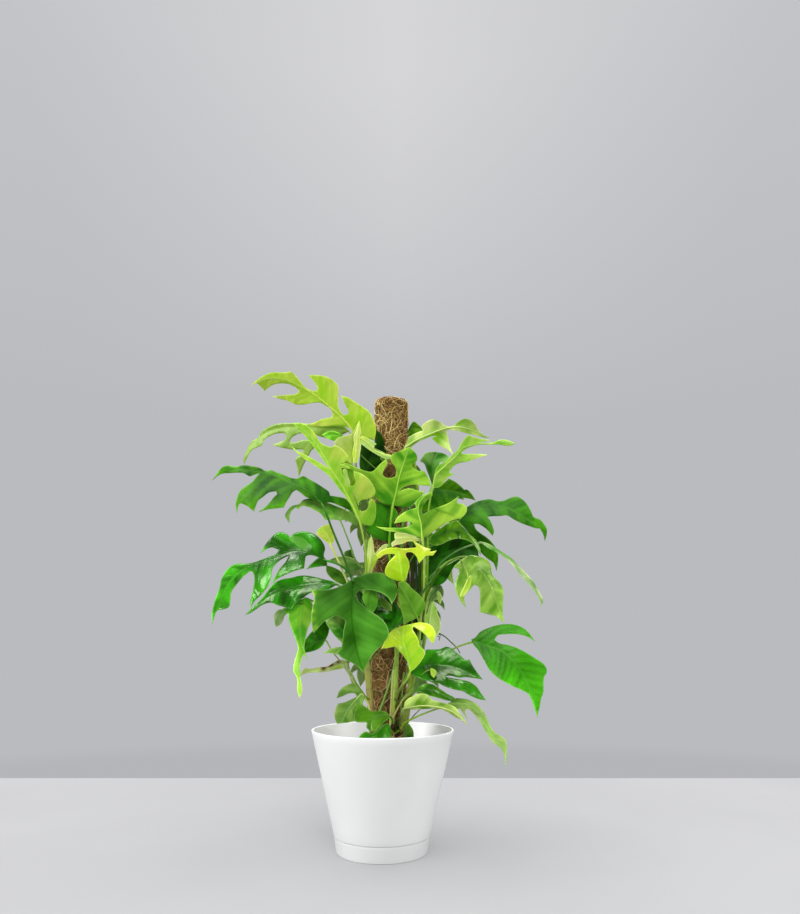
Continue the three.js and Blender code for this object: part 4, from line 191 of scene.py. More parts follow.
def join(parts):
    """parts: list of (V, F, material index, {float attrs}, colour). Returns one mesh's data."""
    V, F, I, N = [], [], [], 0
    keys = set(k for p in parts for k in p[3])
    A = {k: [] for k in keys}
    C = []
    for v, f, i, at, c in parts:
        V.append(v)
        F += [tuple(N + q for q in face) for face in f]
        I += [i] * len(f) if np.isscalar(i) else list(i)
        for k in keys:
            x = at.get(k, 0.0)
            A[k].append(np.full(len(v), x) if np.isscalar(x) else np.asarray(x))
        c = np.asarray(c, float)
        C.append(np.tile(c, (len(v), 1)) if c.ndim == 1 else c)
        N += len(v)
    return np.vstack(V), F, I, {k: np.concatenate(v) for k, v in A.items()}, np.vstack(C)


def plate(points, values, lam=1e-4):
    """Smoothest sheet through scattered heights."""
    p = np.asarray(points, float)
    m = p.mean(0)
    s = max(1e-6, np.ptp(p, 0).max())
    q = (p - m) / s

    def kern(d2):
        return np.where(d2 > 1e-12, 0.5 * d2 * np.log(np.maximum(d2, 1e-12)), 0)

    n = len(p)
    d2 = ((q[:, None] - q[None]) ** 2).sum(2)
    M = np.zeros((n + 3, n + 3))
    M[:n, :n] = kern(d2) + lam * np.eye(n)
    M[:n, n] = 1
    M[:n, n + 1 :] = q
    M[n:, :n] = M[:n, n:].T
    w = np.linalg.lstsq(M, np.concatenate([values, [0, 0, 0]]), rcond=None)[0]

    def f(x):
        x = (np.asarray(x, float) - m) / s
        d2 = ((x[:, None] - q[None]) ** 2).sum(2)
        return kern(d2) @ w[:n] + w[n] + x @ w[n + 1 :]

    return f


def nearest_on(P, line):
    """Distance to a polyline, arc length at the nearest point, side (+1/-1)."""
    a, b = line[:-1], line[1:]
    ab = b - a
    L = np.linalg.norm(ab, axis=1)
    s0 = np.concatenate([[0], np.cumsum(L)[:-1]])
    best = np.full(len(P), 1e18)
    s = np.zeros(len(P))
    sd = np.ones(len(P))
    for i in range(len(a)):
        t = np.clip(((P - a[i]) @ ab[i]) / max(1e-9, L[i] ** 2), 0, 1)
        q = a[i] + t[:, None] * ab[i]
        d = ((P - q) ** 2).sum(1)
        m = d < best
        best[m] = d[m]
        s[m] = s0[i] + t[m] * L[i]
        sd[m] = np.where(ab[i][0] * (P[m][:, 1] - a[i][1]) - ab[i][1] * (P[m][:, 0] - a[i][0]) >= 0, 1, -1)
    return np.sqrt(best), s, sd


def inside(P, poly):
    x, y = P[:, 0], P[:, 1]
    r = np.zeros(len(P), bool)
    n = len(poly)
    for i in range(n):
        x0, y0 = poly[i]
        x1, y1 = poly[(i + 1) % n]
        if y0 == y1:
            continue
        c = ((y0 > y) != (y1 > y)) & (x < (x1 - x0) * (y - y0) / (y1 - y0) + x0)
        r ^= c
    return r


# --------------------------------------------------------------- materials ---
def material(name):
    m = bpy.data.materials.new(name)
    m.use_nodes = True
    nt = m.node_tree
    nt.nodes.clear()
    out = nt.nodes.new("ShaderNodeOutputMaterial")
    return m, nt, out


class G:
    """Small helper for building a node graph."""

    def __init__(self, nt):
        self.nt = nt

    def node(self, kind, **props):
        n = self.nt.nodes.new(kind)
        for k, v in props.items():
            setattr(n, k, v)
        return n

    def put(self, socket, value):
        if hasattr(value, "is_output") or isinstance(value, bpy.types.NodeSocket):
            self.nt.links.new(value, socket)
        else:
            socket.default_value = value

    def math(self, op, a, b=None, c=None, clamp=False):
        n = self.node("ShaderNodeMath", operation=op, use_clamp=clamp)
        for i, v in enumerate((a, b, c)):
            if v is not None:
                self.put(n.inputs[i], v)
        return n.outputs[0]

    def attr(self, name, color=False):
        n = self.node("ShaderNodeAttribute", attribute_name=name)
        return n.outputs["Color"] if color else n.outputs["Fac"]

    def noise(self, scale, detail=3.0, rough=0.5, vector=None, distortion=0.0, color=False):
        n = self.node("ShaderNodeTexNoise")
        n.inputs["Scale"].default_value = scale
        n.inputs["Detail"].default_value = detail
        n.inputs["Roughness"].default_value = rough
        n.inputs["Distortion"].default_value = distortion
        self.put(n.inputs["Vector"], vector if vector is not None else self.coord())
        return n.outputs["Color"] if color else n.outputs["Fac"]

    def coord(self):
        return self.node("ShaderNodeTexCoord").outputs["Object"]

    def ramp(self, fac, lo, hi, a=0.0, b=1.0, smooth=True):
        n = self.node("ShaderNodeMapRange", interpolation_type="SMOOTHSTEP" if smooth else "LINEAR")
        for i, v in enumerate((fac, lo, hi, a, b)):
            self.put(n.inputs[i], v)
        return n.outputs[0]

    def mix(self, fac, a, b, mode="MIX"):
        n = self.node("ShaderNodeMix", data_type="RGBA", blend_type=mode)
        self.put(n.inputs[0], fac)
        for s, v in ((n.inputs[6], a), (n.inputs[7], b)):
            self.put(s, (*v, 1) if isinstance(v, (tuple, list)) and len(v) == 3 else v)
        return n.outputs[2]

    def hsv(self, color, hue=0.5, sat=1.0, val=1.0):
        n = self.node("ShaderNodeHueSaturation")
        self.put(n.inputs["Hue"], hue)
        self.put(n.inputs["Saturation"], sat)
        self.put(n.inputs["Value"], val)
        self.put(n.inputs["Color"], color)
        return n.outputs[0]

    def bump(self, height, strength=0.3, distance=0.001, normal=None):
        n = self.node("ShaderNodeBump")
        n.inputs["Strength"].default_value = strength
        n.inputs["Distance"].default_value = distance
        self.put(n.inputs["Height"], height)
        if normal is not None:
            self.put(n.inputs["Normal"], normal)
        return n.outputs[0]

    def principled(self, color, rough, **kw):
        n = self.node("ShaderNodeBsdfPrincipled")
        self.put(n.inputs["Base Color"], (*color, 1) if isinstance(color, (tuple, list)) and len(color) == 3 else color)
        self.put(n.inputs["Roughness"], rough)
        for k, v in kw.items():
            self.put(n.inputs[k.replace("_", " ")], v)
        return n


def leaf_material(name, upper, gloss, spec, through, coat=0.0, sheen=(0.75, 1.0, 0.35, 1.0)):
    """Blade surface. Its colour is the piece's tint, worked over with ribs, veins, cells, random clouding and a lighter
    margin that is a painted edge highlight.
    """
    m, nt, out = material(name)
    g = G(nt)
    tint = g.attr("tint", color=True)
    rd, vq, ed, mt, vt = (g.attr(k) for k in ("rd", "vq", "ed", "mt", "vt"))
    # side veins run from the rib towards the margin
    wob = g.math("MULTIPLY", g.math("SUBTRACT", g.noise(45, 2), 0.5), 5.0)
    phase = g.math("FRACT", g.math("DIVIDE", g.math("ADD", vq, wob), 11.0))
    tri = g.math("ABSOLUTE", g.math("SUBTRACT", phase, 0.5))
    vein = g.ramp(tri, 0.03, 0.085, 1.0, 0.0)
    fine = g.math("FRACT", g.math("DIVIDE", g.math("ADD", vq, wob), 2.75))
    finev = g.ramp(g.math("ABSOLUTE", g.math("SUBTRACT", fine, 0.5)), 0.06, 0.22, 1.0, 0.0)
    away = g.ramp(ed, 0.6, 6.0, 0.15, 1.0)
    vein = g.math("MULTIPLY", vein, away)
    finev = g.math("MULTIPLY", finev, g.math("MULTIPLY", away, 0.35))
    mid = g.ramp(rd, 0.7, 2.1 if upper else 1.5, 1.0, 0.0)
    cloud = g.noise(26, 4, 0.55)
    mottle = g.noise(160, 3, 0.6)
    pale = g.hsv(tint, 0.492, 0.93, 1.30) if upper else g.hsv(tint, 0.495, 0.80, 1.18)
    deep = g.hsv(tint, 0.505, 1.06, 0.74)
    c = g.mix(g.ramp(cloud, 0.35, 0.7, 0.0, 0.30), tint, deep)
    c = g.mix(g.math("MULTIPLY", mottle, 0.10), c, pale)
    up_, down = g.math("MAXIMUM", vt, 0.0), g.math("MAXIMUM", g.math("MULTIPLY", vt, -1.0), 0.0)
    c = g.mix(g.math("MULTIPLY", finev, g.math("MULTIPLY", up_, 0.6)), c, pale)
    c = g.mix(g.math("MULTIPLY", finev, g.math("MULTIPLY", down, 0.5)), c, deep)
    c = g.mix(g.math("MULTIPLY", vein, up_), c, pale)
    c = g.mix(g.math("MULTIPLY", vein, down), c, deep)
    c = g.mix(g.math("MULTIPLY", mid, g.math("MAXIMUM", mt, 0.0)), c, pale)
    c = g.mix(g.math("MULTIPLY", mid, g.math("MAXIMUM", g.math("MULTIPLY", mt, -1.0), 0.0)), c, deep)
    # painted edge highlight: a lighter band along the blade's margin, strongest on dark leaves, stands in for the
    # highlights that catch the edges
    rim = g.ramp(ed, 0.35, 1.9, 1.0, 0.0)
    c = g.mix(g.math("MULTIPLY", rim, g.attr("rt")), c, g.hsv(tint, 0.478, 0.88, 1.7))
    h = g.math("ADD", g.math("MULTIPLY", vein, -0.5), g.math("MULTIPLY", finev, -0.35))
    h = g.math("ADD", h, g.math("MULTIPLY", g.noise(60, 2, 0.5), 0.6))
    n = g.bump(h if upper else g.math("MULTIPLY", h, -1.0), 0.16, 0.0006)
    r = g.ramp(g.noise(90, 3, 0.6), 0.3, 0.75, gloss - 0.06, gloss + 0.10)
    p = g.principled(c, r, Normal=n, Specular_IOR_Level=spec, Specular_Tint=sheen)
    if coat:
        p.inputs["Coat Weight"].default_value = coat
        p.inputs["Coat Roughness"].default_value = 0.09
        nt.links.new(n, p.inputs["Coat Normal"])
    t = g.node("ShaderNodeBsdfTranslucent")
    g.put(t.inputs["Color"], g.hsv(c, 0.49, 1.12, 1.35))
    mixer = g.node("ShaderNodeMixShader")
    mixer.inputs[0].default_value = through
    nt.links.new(p.outputs[0], mixer.inputs[1])
    nt.links.new(t.outputs[0], mixer.inputs[2])
    nt.links.new(mixer.outputs[0], out.inputs[0])
    return m


def stem_material(name):
    m, nt, out = material(name)
    g = G(nt)
    tint = g.attr("tint", color=True)
    streak = g.node("ShaderNodeMapping")
    streak.inputs["Scale"].default_value = (1, 1, 0.12)
    nt.links.new(g.coord(), streak.inputs["Vector"])
    s = g.noise(700, 3, 0.6, vector=streak.outputs[0])
    blot = g.noise(70, 3, 0.6)
    c = g.mix(g.ramp(s, 0.35, 0.7, 0.0, 0.35), tint, g.hsv(tint, 0.5, 1.05, 0.72))
    c = g.mix(g.ramp(blot, 0.5, 0.75, 0.0, 0.3), c, g.hsv(tint, 0.48, 0.75, 1.3))
    n = g.bump(g.math("ADD", s, g.noise(1500, 2)), 0.25, 0.0005)
    p = g.principled(c, g.ramp(blot, 0.3, 0.8, 0.42, 0.56), Normal=n, Specular_IOR_Level=0.22, Specular_Tint=(0.9, 1.0, 0.7, 1.0))
    nt.links.new(p.outputs[0], out.inputs[0])
    return m


UPPER = {
    "gloss": leaf_material("leaf_upper_gloss", True, 0.22, 0.32, 0.07, 0.12, sheen=(0.8, 1.0, 0.5, 1.0)),
    "satin": leaf_material("leaf_upper_satin", True, 0.40, 0.17, 0.14, sheen=(0.7, 1.0, 0.28, 1.0)),
    "matt": leaf_material("leaf_upper_matt", True, 0.52, 0.05, 0.08, sheen=(0.6, 1.0, 0.2, 1.0)),
}
UNDER = leaf_material("leaf_under", False, 0.52, 0.16, 0.20)
STALK = stem_material("petiole")


# ------------------------------------------------------------------- data ----
# edge: blade outline, a point marked 1 is sharp; rib: base to tip; stalk: from the blade to its stem.
LEAVES = {
    "crown_leaf": {
        "side": "D", "slot": "leaf_lime", "face": (0.118, -0.937, -0.328),
        "dark": (161, 217, 22), "light": (216, 236, 94), "petiole": (132, 166, 74),
        "finish": 'satin', "quilt": 0.35, "band": 0.6, "half": 0.95, "tip": 0.77,
        "edge": [(-43.6, -29.9, 630.3, 1), (-30.3, -28.9, 630.6), (-17.0, -25.7, 627.1, 1), (-13.4, -33.8, 639.6), (-14.9, -42.3, 651.0), 
            (-21.3, -53.3, 664.8), (-29.4, -58.6, 671.7), (-44.0, -65.2, 679.9), (-56.8, -71.0, 686.5), (-69.8, -73.5, 689.9, 1), 
            (-66.9, -67.8, 684.2), (-62.3, -60.5, 676.3), (-58.5, -54.7, 669.6), (-59.5, -51.2, 665.5, 1), (-66.2, -50.1, 664.1), 
            (-71.0, -53.4, 668.3), (-74.8, -58.9, 675.1), (-75.1, -67.3, 684.4), (-73.7, -76.8, 693.1), (-73.9, -86.2, 701.7), (-80.1, -91.6, 708.3), 
            (-91.2, -94.7, 714.0), (-102.6, -94.9, 716.8), (-122.3, -92.7, 718.2, 1), (-117.8, -88.7, 714.6), (-111.8, -82.9, 708.2), 
            (-108.2, -77.2, 701.6), (-110.1, -73.7, 698.5, 1), (-116.1, -72.1, 698.3), (-124.2, -73.3, 701.3), (-132.0, -77.9, 706.6), 
            (-136.3, -83.6, 711.3), (-141.8, -91.7, 716.9), (-148.2, -99.4, 721.6, 1), (-162.2, -97.2, 720.8), (-180.1, -96.3, 721.1), 
            (-195.5, -91.0, 717.2), (-207.7, -84.7, 710.9), (-218.5, -77.9, 703.1, 1), (-207.5, -80.9, 708.0), (-203.9, -78.0, 706.5), 
            (-196.4, -68.4, 699.6, 1), (-190.1, -72.3, 703.4), (-181.3, -76.6, 707.0), (-169.5, -79.3, 708.6), (-156.4, -78.9, 707.9), 
            (-145.5, -74.5, 704.3), (-139.4, -69.9, 700.0, 1), (-143.1, -65.7, 696.3), (-149.9, -64.1, 695.1), (-163.2, -63.3, 694.5), 
            (-184.9, -61.6, 692.5, 1), (-172.0, -58.8, 689.1), (-159.0, -56.5, 686.4), (-149.3, -53.6, 682.2), (-142.7, -53.1, 680.6, 1), 
            (-130.8, -55.4, 680.7), (-117.1, -59.1, 682.0), (-105.3, -61.1, 681.7), (-95.5, -59.0, 676.8), (-89.0, -56.4, 672.5), 
            (-85.1, -52.4, 666.8), (-86.2, -48.6, 661.1, 1), (-92.8, -47.9, 659.6), (-102.8, -47.4, 658.0), (-109.5, -46.1, 655.0), 
            (-117.8, -45.0, 651.8), (-127.8, -44.3, 650.3, 1), (-121.2, -43.4, 648.0), (-106.4, -42.0, 646.7), (-81.6, -40.4, 648.1), 
            (-65.1, -38.6, 647.7), (-55.2, -35.7, 643.4), (-48.6, -32.7, 636.4)],
        "rib": [(-43.6, -29.9, 630.3), (-64.8, -43.8, 655.7), (-88.9, -58.4, 675.3), (-113.1, -68.0, 692.8), (-137.1, -76.2, 705.4), (-163.6, -86.6, 713.6), (-191.4, -86.0, 713.9), (-218.5, -77.9, 703.1)],
        "stalk": {"r": (3.2, 2.6), "path": [(-46.0, -31.4, 633.1), (-30.1, -31.0, 621.3), (-14.9, -33.0, 608.6), (0.2, -35.0, 599.5), (-2.8, -39.2, 592.9), (0.8, -34.1, 592.1)]},
    },
    "upper_left_leaf": {
        "side": "U", "slot": "leaf_olive", "face": (0.155, -0.950, -0.270),
        "dark": (108, 146, 39), "light": (147, 181, 79), "petiole": (132, 166, 74),
        "finish": 'satin', "quilt": 0.35, "tip": 0.88,
        "edge": [(-59.6, 2.1, 652.2, 1), (-75.5, 3.2, 664.3), (-101.0, -1.9, 663.6), (-124.5, -6.7, 662.1), (-145.0, -8.0, 663.5), 
            (-161.6, -11.0, 662.6), (-180.6, -14.8, 660.4), (-197.0, -21.0, 652.3), (-206.9, -28.1, 641.3), (-210.4, -36.9, 628.2), 
            (-218.0, -42.7, 621.4), (-222.0, -51.6, 608.6), (-224.2, -60.8, 594.3), (-225.1, -66.8, 584.4), (-222.6, -72.0, 574.0, 1), 
            (-219.5, -63.6, 587.7), (-216.0, -55.1, 600.9), (-207.8, -48.9, 608.5), (-200.6, -45.1, 613.0, 1), (-199.2, -37.8, 624.5), 
            (-190.8, -31.4, 633.3), (-180.2, -26.5, 639.2), (-169.0, -23.4, 641.0, 1), (-164.2, -25.4, 635.1), (-166.5, -30.4, 626.7), 
            (-173.1, -34.8, 621.9), (-184.0, -41.6, 614.8, 1), (-170.2, -39.3, 611.2), (-152.7, -33.7, 609.3), (-135.3, -27.5, 610.1), 
            (-137.2, -30.4, 602.4), (-143.0, -34.3, 596.2), (-146.6, -36.9, 592.1, 1), (-142.6, -38.7, 578.1), (-139.0, -41.4, 559.8, 1), 
            (-134.6, -36.0, 575.4), (-130.7, -31.6, 588.4), (-125.2, -26.4, 601.8), (-120.9, -22.5, 611.5), (-111.7, -17.5, 619.0, 1), 
            (-122.0, -17.9, 628.5), (-136.8, -21.3, 629.3), (-150.9, -27.5, 623.1), (-158.1, -29.6, 623.4, 1), (-155.8, -25.0, 631.7), 
            (-147.6, -19.4, 639.5), (-138.0, -16.0, 643.2), (-123.0, -13.7, 642.1), (-106.2, -10.5, 637.7), (-84.6, -4.0, 634.3, 1), 
            (-74.7, -0.9, 643.2)],
        "rib": [(-59.6, 2.1, 652.2), (-85.4, -0.5, 655.0), (-113.8, -7.9, 654.6), (-144.2, -11.7, 655.2), (-168.8, -17.2, 652.6), (-192.5, -25.2, 643.9), (-209.3, -38.0, 626.2), (-218.9, -50.9, 608.8), (-223.2, -71.6, 574.9)],
        "stalk": {"r": (1.5, 1.2), "path": [(-63.6, 1.7, 652.6), (-49.0, 2.0, 636.0), (-36.3, -4.0, 606.0), (-25.2, -14.0, 572.1), (-24.8, -19.0, 546.7), (-22.0, -19.6, 545.9)]},
    },
    "arched_lime_leaf": {
        "side": "D", "slot": "leaf_lime", "face": (0.085, -0.969, -0.230),
        "dark": (133, 213, 33), "light": (208, 235, 91), "petiole": (157, 198, 63),
        "finish": 'satin', "quilt": 0.35, "half": 1.2, "tip": 1.18,
        "edge": [(-36.3, -62.0, 481.4, 1), (-28.5, -60.0, 478.6), (-19.1, -58.7, 478.0), (-12.8, -61.2, 486.3), (-11.1, -67.1, 499.6), 
            (-11.8, -74.5, 511.0), (-17.1, -78.7, 517.4, 1), (-21.9, -76.0, 513.9), (-22.8, -71.6, 506.8), (-26.8, -68.6, 501.0), 
            (-34.7, -68.0, 498.7, 1), (-38.8, -71.7, 506.8), (-36.9, -74.4, 512.6), (-32.9, -76.1, 515.5, 1), (-23.4, -77.7, 516.8), 
            (-14.0, -81.3, 520.8), (-11.5, -85.9, 527.8), (-16.2, -89.8, 538.2), (-24.7, -91.9, 548.1), (-35.7, -92.6, 555.1), 
            (-45.9, -92.8, 558.3, 1), (-45.1, -90.7, 550.7), (-42.8, -87.7, 541.8), (-46.8, -84.9, 536.0, 1), (-54.6, -85.6, 537.5), 
            (-59.2, -89.7, 546.2), (-63.8, -93.2, 555.0), (-65.3, -95.0, 562.5, 1), (-59.1, -94.3, 562.7), (-51.4, -93.6, 561.3, 1), 
            (-54.5, -94.6, 565.9), (-66.2, -96.1, 570.3), (-59.2, -95.8, 572.8), (-54.6, -96.5, 579.1), (-59.4, -97.4, 587.8), (-67.3, -98.0, 594.9), 
            (-75.2, -98.7, 598.8, 1), (-82.9, -99.4, 595.3), (-90.6, -101.2, 598.1), (-98.3, -103.6, 602.2), (-104.4, -107.2, 612.6), 
            (-112.0, -111.3, 621.1), (-119.5, -114.8, 626.6), (-128.6, -117.7, 628.9), (-139.0, -120.0, 627.4, 1), (-133.0, -116.8, 621.1), 
            (-124.0, -112.4, 612.7), (-113.4, -107.3, 601.2), (-104.2, -103.3, 589.4), (-96.4, -100.8, 578.8), (-88.5, -99.0, 568.0), 
            (-82.2, -97.5, 561.1, 1), (-94.6, -99.9, 567.7), (-108.5, -102.9, 575.0), (-122.2, -106.6, 582.0), (-131.3, -109.4, 586.1), 
            (-141.8, -113.1, 593.1, 1), (-132.7, -109.2, 582.9), (-123.6, -106.1, 575.8), (-111.4, -102.7, 568.6), (-97.5, -99.5, 559.8), 
            (-85.2, -96.4, 551.0), (-76.1, -91.0, 541.1), (-67.1, -83.6, 529.9), (-59.6, -78.1, 521.5), (-51.8, -73.1, 509.7), (-45.7, -68.4, 497.8), 
            (-41.0, -65.0, 488.9)],
        "rib": [(-36.3, -62.0, 481.4), (-44.1, -69.4, 500.8), (-53.3, -76.6, 518.6), (-65.4, -87.5, 538.7), (-77.6, -96.0, 555.9), (-88.6, -99.3, 574.3), (-101.2, -103.2, 594.3), (-116.5, -110.5, 613.2), (-139.0, -120.0, 627.4)],
        "stalk": {"r": (2.0, 1.5), "path": [(-37.7, -63.3, 484.9), (-31.7, -56.0, 461.7), (-27.8, -48.0, 439.1), (-26.3, -40.0, 416.4), (-27.1, -34.1, 395.1), (-27.4, -30.5, 394.3)]},
    },
    "young_folded_leaf": {
        "side": "D", "slot": "leaf_cream", "face": (0.071, -0.960, -0.271),
        "dark": (206, 239, 59), "light": (218, 239, 133), "petiole": (132, 166, 74),
        "fold": 0.3, "wave": 0.4, "finish": 'satin', "half": 0.84,
        "edge": [(-53.8, -51.6, 578.3, 1), (-62.4, -55.6, 580.6), (-58.7, -53.8, 591.1), (-64.4, -56.7, 600.5), (-72.3, -60.7, 606.1), 
            (-80.2, -64.7, 610.9, 1), (-75.5, -64.3, 619.4), (-66.1, -61.5, 624.5), (-55.1, -57.7, 628.1), (-48.6, -57.7, 635.8), 
            (-43.8, -58.9, 644.0), (-39.7, -60.0, 651.4, 1), (-37.5, -53.0, 637.2), (-36.8, -46.6, 622.0), (-38.4, -43.5, 607.4), 
            (-42.2, -44.9, 594.3), (-47.6, -48.1, 584.2)],
        "rib": [(-53.0, -51.2, 578.4), (-50.2, -49.4, 600.7), (-44.0, -51.0, 624.1), (-39.7, -59.7, 650.6)],
        "stalk": {"r": (1.5, 1.2), "path": [(-52.9, -51.1, 582.3), (-46.3, -50.0, 563.6), (-36.6, -44.0, 545.0), (-27.0, -36.0, 525.1), (-23.9, -27.4, 515.2), (-22.9, -24.7, 514.4)]},
    },
    "shaded_leaf_by_pole": {
        "side": "U", "slot": "leaf_deep", "face": (0.038, -0.965, -0.260),
        "dark": (13, 43, 8), "light": (32, 78, 8), "petiole": (132, 166, 74),
        "finish": 'matt', "half": 1.5, "tip": 0.93,
        "edge": [(-29.8, -22.0, 566.8, 1), (-40.2, -18.6, 581.4), (-40.7, -15.2, 604.7), (-39.4, -13.9, 624.4, 1), (-27.3, -16.7, 614.8), 
            (-17.9, -18.2, 610.9), (-15.5, -19.6, 629.8), (-13.9, -22.0, 647.6, 1), (-5.4, -22.2, 639.6), (0.6, -21.2, 625.8), (4.0, -20.1, 608.7), 
            (-0.1, -19.6, 594.9, 1), (-10.1, -20.1, 582.7), (-19.9, -21.7, 571.2)],
        "rib": [(-29.8, -22.0, 566.8), (-26.9, -18.5, 591.7), (-17.1, -18.4, 616.1), (-13.9, -21.9, 646.7)],
        "stalk": {"r": (1.5, 1.2), "path": [(-29.4, -21.4, 570.8), (-22.7, -27.0, 545.3), (-22.3, -26.4, 545.8), (-20.5, -24.2, 545.0)]},
    },
    "left_dark_leaf": {
        "side": "U", "slot": "leaf_dark", "face": (0.175, -0.963, -0.205),
        "dark": (25, 83, 4), "light": (80, 158, 8), "petiole": (50, 104, 22),
        "finish": 'matt', "half": 0.65, "tip": 1.07,
        "edge": [(-96.4, -68.0, 510.7, 1), (-85.1, -55.2, 515.6), (-69.8, -46.3, 511.6), (-54.1, -39.0, 504.8), (-47.5, -39.9, 497.2, 1), 
            (-49.2, -29.7, 511.4), (-55.2, -27.1, 520.2), (-63.5, -27.3, 527.7), (-76.0, -35.6, 529.3), (-86.6, -43.7, 529.3, 1), 
            (-88.9, -38.5, 536.2), (-97.4, -36.8, 543.2), (-111.0, -35.1, 552.0), (-123.0, -32.5, 559.3), (-133.4, -30.1, 564.9), 
            (-141.1, -43.4, 557.6), (-152.2, -46.1, 558.7), (-164.5, -41.8, 564.7), (-176.7, -38.6, 569.7), (-185.5, -36.1, 573.7), 
            (-192.8, -40.4, 570.9), (-203.5, -37.6, 576.7), (-216.6, -38.8, 579.8), (-229.0, -42.5, 580.5), (-241.6, -50.6, 576.0), 
            (-254.5, -51.6, 578.2, 1), (-262.9, -55.6, 572.3), (-267.3, -61.0, 562.6), (-272.7, -70.2, 547.4, 1), (-267.2, -65.7, 554.9), 
            (-260.3, -63.0, 560.5), (-246.3, -61.7, 562.5), (-226.7, -56.0, 563.8), (-219.9, -57.1, 560.3), (-214.7, -58.1, 557.6, 1), 
            (-208.0, -52.2, 562.2), (-202.4, -48.5, 564.8), (-205.3, -56.4, 557.1), (-208.9, -67.4, 546.4), (-216.0, -77.0, 537.8), 
            (-222.5, -87.4, 527.5), (-223.6, -99.9, 513.9), (-222.4, -111.8, 500.7), (-216.2, -125.0, 485.3, 1), (-217.4, -113.4, 498.9), 
            (-216.3, -109.1, 503.5), (-204.7, -112.5, 499.1), (-192.5, -118.1, 489.6, 1), (-191.9, -108.7, 499.8), (-191.1, -99.8, 509.2), 
            (-185.4, -91.6, 517.2), (-178.1, -82.7, 526.1), (-167.7, -80.1, 528.6, 1), (-165.1, -84.9, 523.3), (-168.7, -89.8, 517.5), 
            (-173.0, -97.6, 508.1), (-178.8, -105.5, 498.8), (-187.6, -115.9, 488.5, 1), (-173.6, -107.9, 494.5), (-162.0, -105.3, 496.6), 
            (-150.3, -102.9, 498.5, 1), (-148.4, -97.5, 506.6), (-145.2, -90.8, 515.7), (-141.0, -80.7, 527.3), (-136.5, -75.0, 531.8, 1), 
            (-129.0, -76.3, 526.7), (-120.8, -77.4, 520.0), (-108.7, -72.2, 516.3)],
        "rib": [(-96.4, -68.0, 510.7), (-113.2, -64.3, 527.5), (-131.3, -63.0, 539.2), (-153.0, -58.9, 548.3), (-178.4, -46.0, 562.9), (-209.7, -45.8, 569.6), (-240.0, -55.8, 568.9), (-272.7, -70.2, 547.4)],
        "stalk": {"r": (2.1, 1.7), "path": [(-99.2, -67.4, 513.5), (-88.6, -71.0, 494.2), (-79.4, -70.0, 470.6), (-68.3, -66.0, 444.6), (-57.2, -62.0, 418.7), (-48.4, -60.0, 395.9), (-39.8, -56.0, 374.8), (-33.6, -50.0, 356.9), (-30.4, -39.2, 343.8), (-29.2, -35.3, 343.0)]},
    },
    "curled_leaf_under": {
        "side": "U", "slot": "leaf_green", "face": (0.116, -0.978, -0.176),
        "dark": (84, 160, 42), "light": (156, 200, 90), "petiole": (105, 151, 68),
        "half": 1.5, "tip": 0.7,
        "edge": [(-70.7, -30.3, 490.7, 1), (-61.3, -25.7, 491.5), (-53.3, -23.3, 487.8), (-43.6, -20.4, 482.5, 1), (-40.7, -16.2, 491.4), 
            (-45.7, -16.2, 499.7), (-55.5, -18.9, 506.7), (-66.8, -23.6, 511.7), (-79.4, -30.2, 515.5), (-93.4, -37.8, 519.8), (-105.8, -44.1, 521.8), 
            (-118.0, -49.8, 523.2), (-128.3, -56.1, 519.5), (-133.7, -61.5, 511.9), (-143.5, -69.1, 507.3), (-149.7, -76.9, 497.9), 
            (-151.7, -81.9, 489.1), (-148.2, -82.5, 482.7), (-144.3, -82.0, 478.1, 1), (-145.2, -78.3, 488.1), (-143.9, -73.7, 496.9), 
            (-138.2, -66.8, 504.8), (-133.6, -65.0, 502.4, 1), (-129.7, -60.7, 508.1), (-120.0, -55.6, 508.2), (-107.6, -50.7, 502.6), 
            (-98.3, -46.5, 496.9), (-93.5, -44.9, 489.1, 1), (-81.5, -36.6, 491.3)],
        "rib": [(-70.7, -30.3, 490.7), (-83.4, -35.7, 502.1), (-99.0, -44.0, 510.4), (-117.6, -51.6, 517.1), (-135.1, -62.4, 511.8), (-148.3, -76.0, 498.0), (-144.3, -81.7, 479.0)],
        "stalk": {"r": (1.5, 1.2), "path": [(-73.5, -31.5, 493.3), (-62.1, -31.0, 471.8), (-52.8, -32.0, 449.1), (-43.6, -31.0, 425.2), (-34.8, -26.9, 414.8), (-32.2, -25.7, 414.0)]},
    },
    "yellow_bud_leaf": {
        "side": "D", "slot": "leaf_yellow", "face": (0.104, -0.984, -0.146),
        "dark": (174, 239, 23), "light": (231, 239, 105), "petiole": (190, 206, 112),
        "fold": 0.3, "wave": 0.3, "half": 0.72, "tip": 1.5,
        "edge": [(-82.3, -50.2, 447.5, 1), (-90.0, -53.7, 453.3), (-97.6, -57.7, 458.3), (-104.1, -60.6, 464.2), (-102.7, -58.1, 470.9), 
            (-98.5, -54.4, 476.3), (-92.7, -50.3, 479.6), (-86.7, -46.6, 482.3, 1), (-81.9, -44.8, 473.0), (-78.5, -44.3, 463.4), 
            (-78.2, -45.8, 455.2)],
        "rib": [(-82.4, -50.0, 448.3), (-89.0, -50.6, 464.1), (-98.4, -54.6, 474.6)],
        "stalk": {"r": (2.2, 1.6), "path": [(-83.9, -50.2, 451.6), (-74.1, -50.0, 431.0), (-65.1, -49.0, 412.3), (-55.5, -46.0, 390.9), (-43.8, -38.0, 363.7), (-36.0, -33.6, 353.2), (-32.6, -31.7, 352.4)]},
    },
    "left_glossy_leaf": {
        "side": "U", "slot": "leaf_green", "face": (0.176, -0.979, -0.100),
        "dark": (27, 93, 4), "light": (62, 180, 9), "petiole": (50, 120, 34),
        "quilt": 0.35, "half": 0.65, "tip": 1.5,
        "edge": [(-86.8, -62.1, 421.8, 1), (-92.1, -58.2, 430.0), (-92.0, -46.9, 444.0), (-99.6, -39.3, 457.7), (-113.2, -35.2, 468.8), 
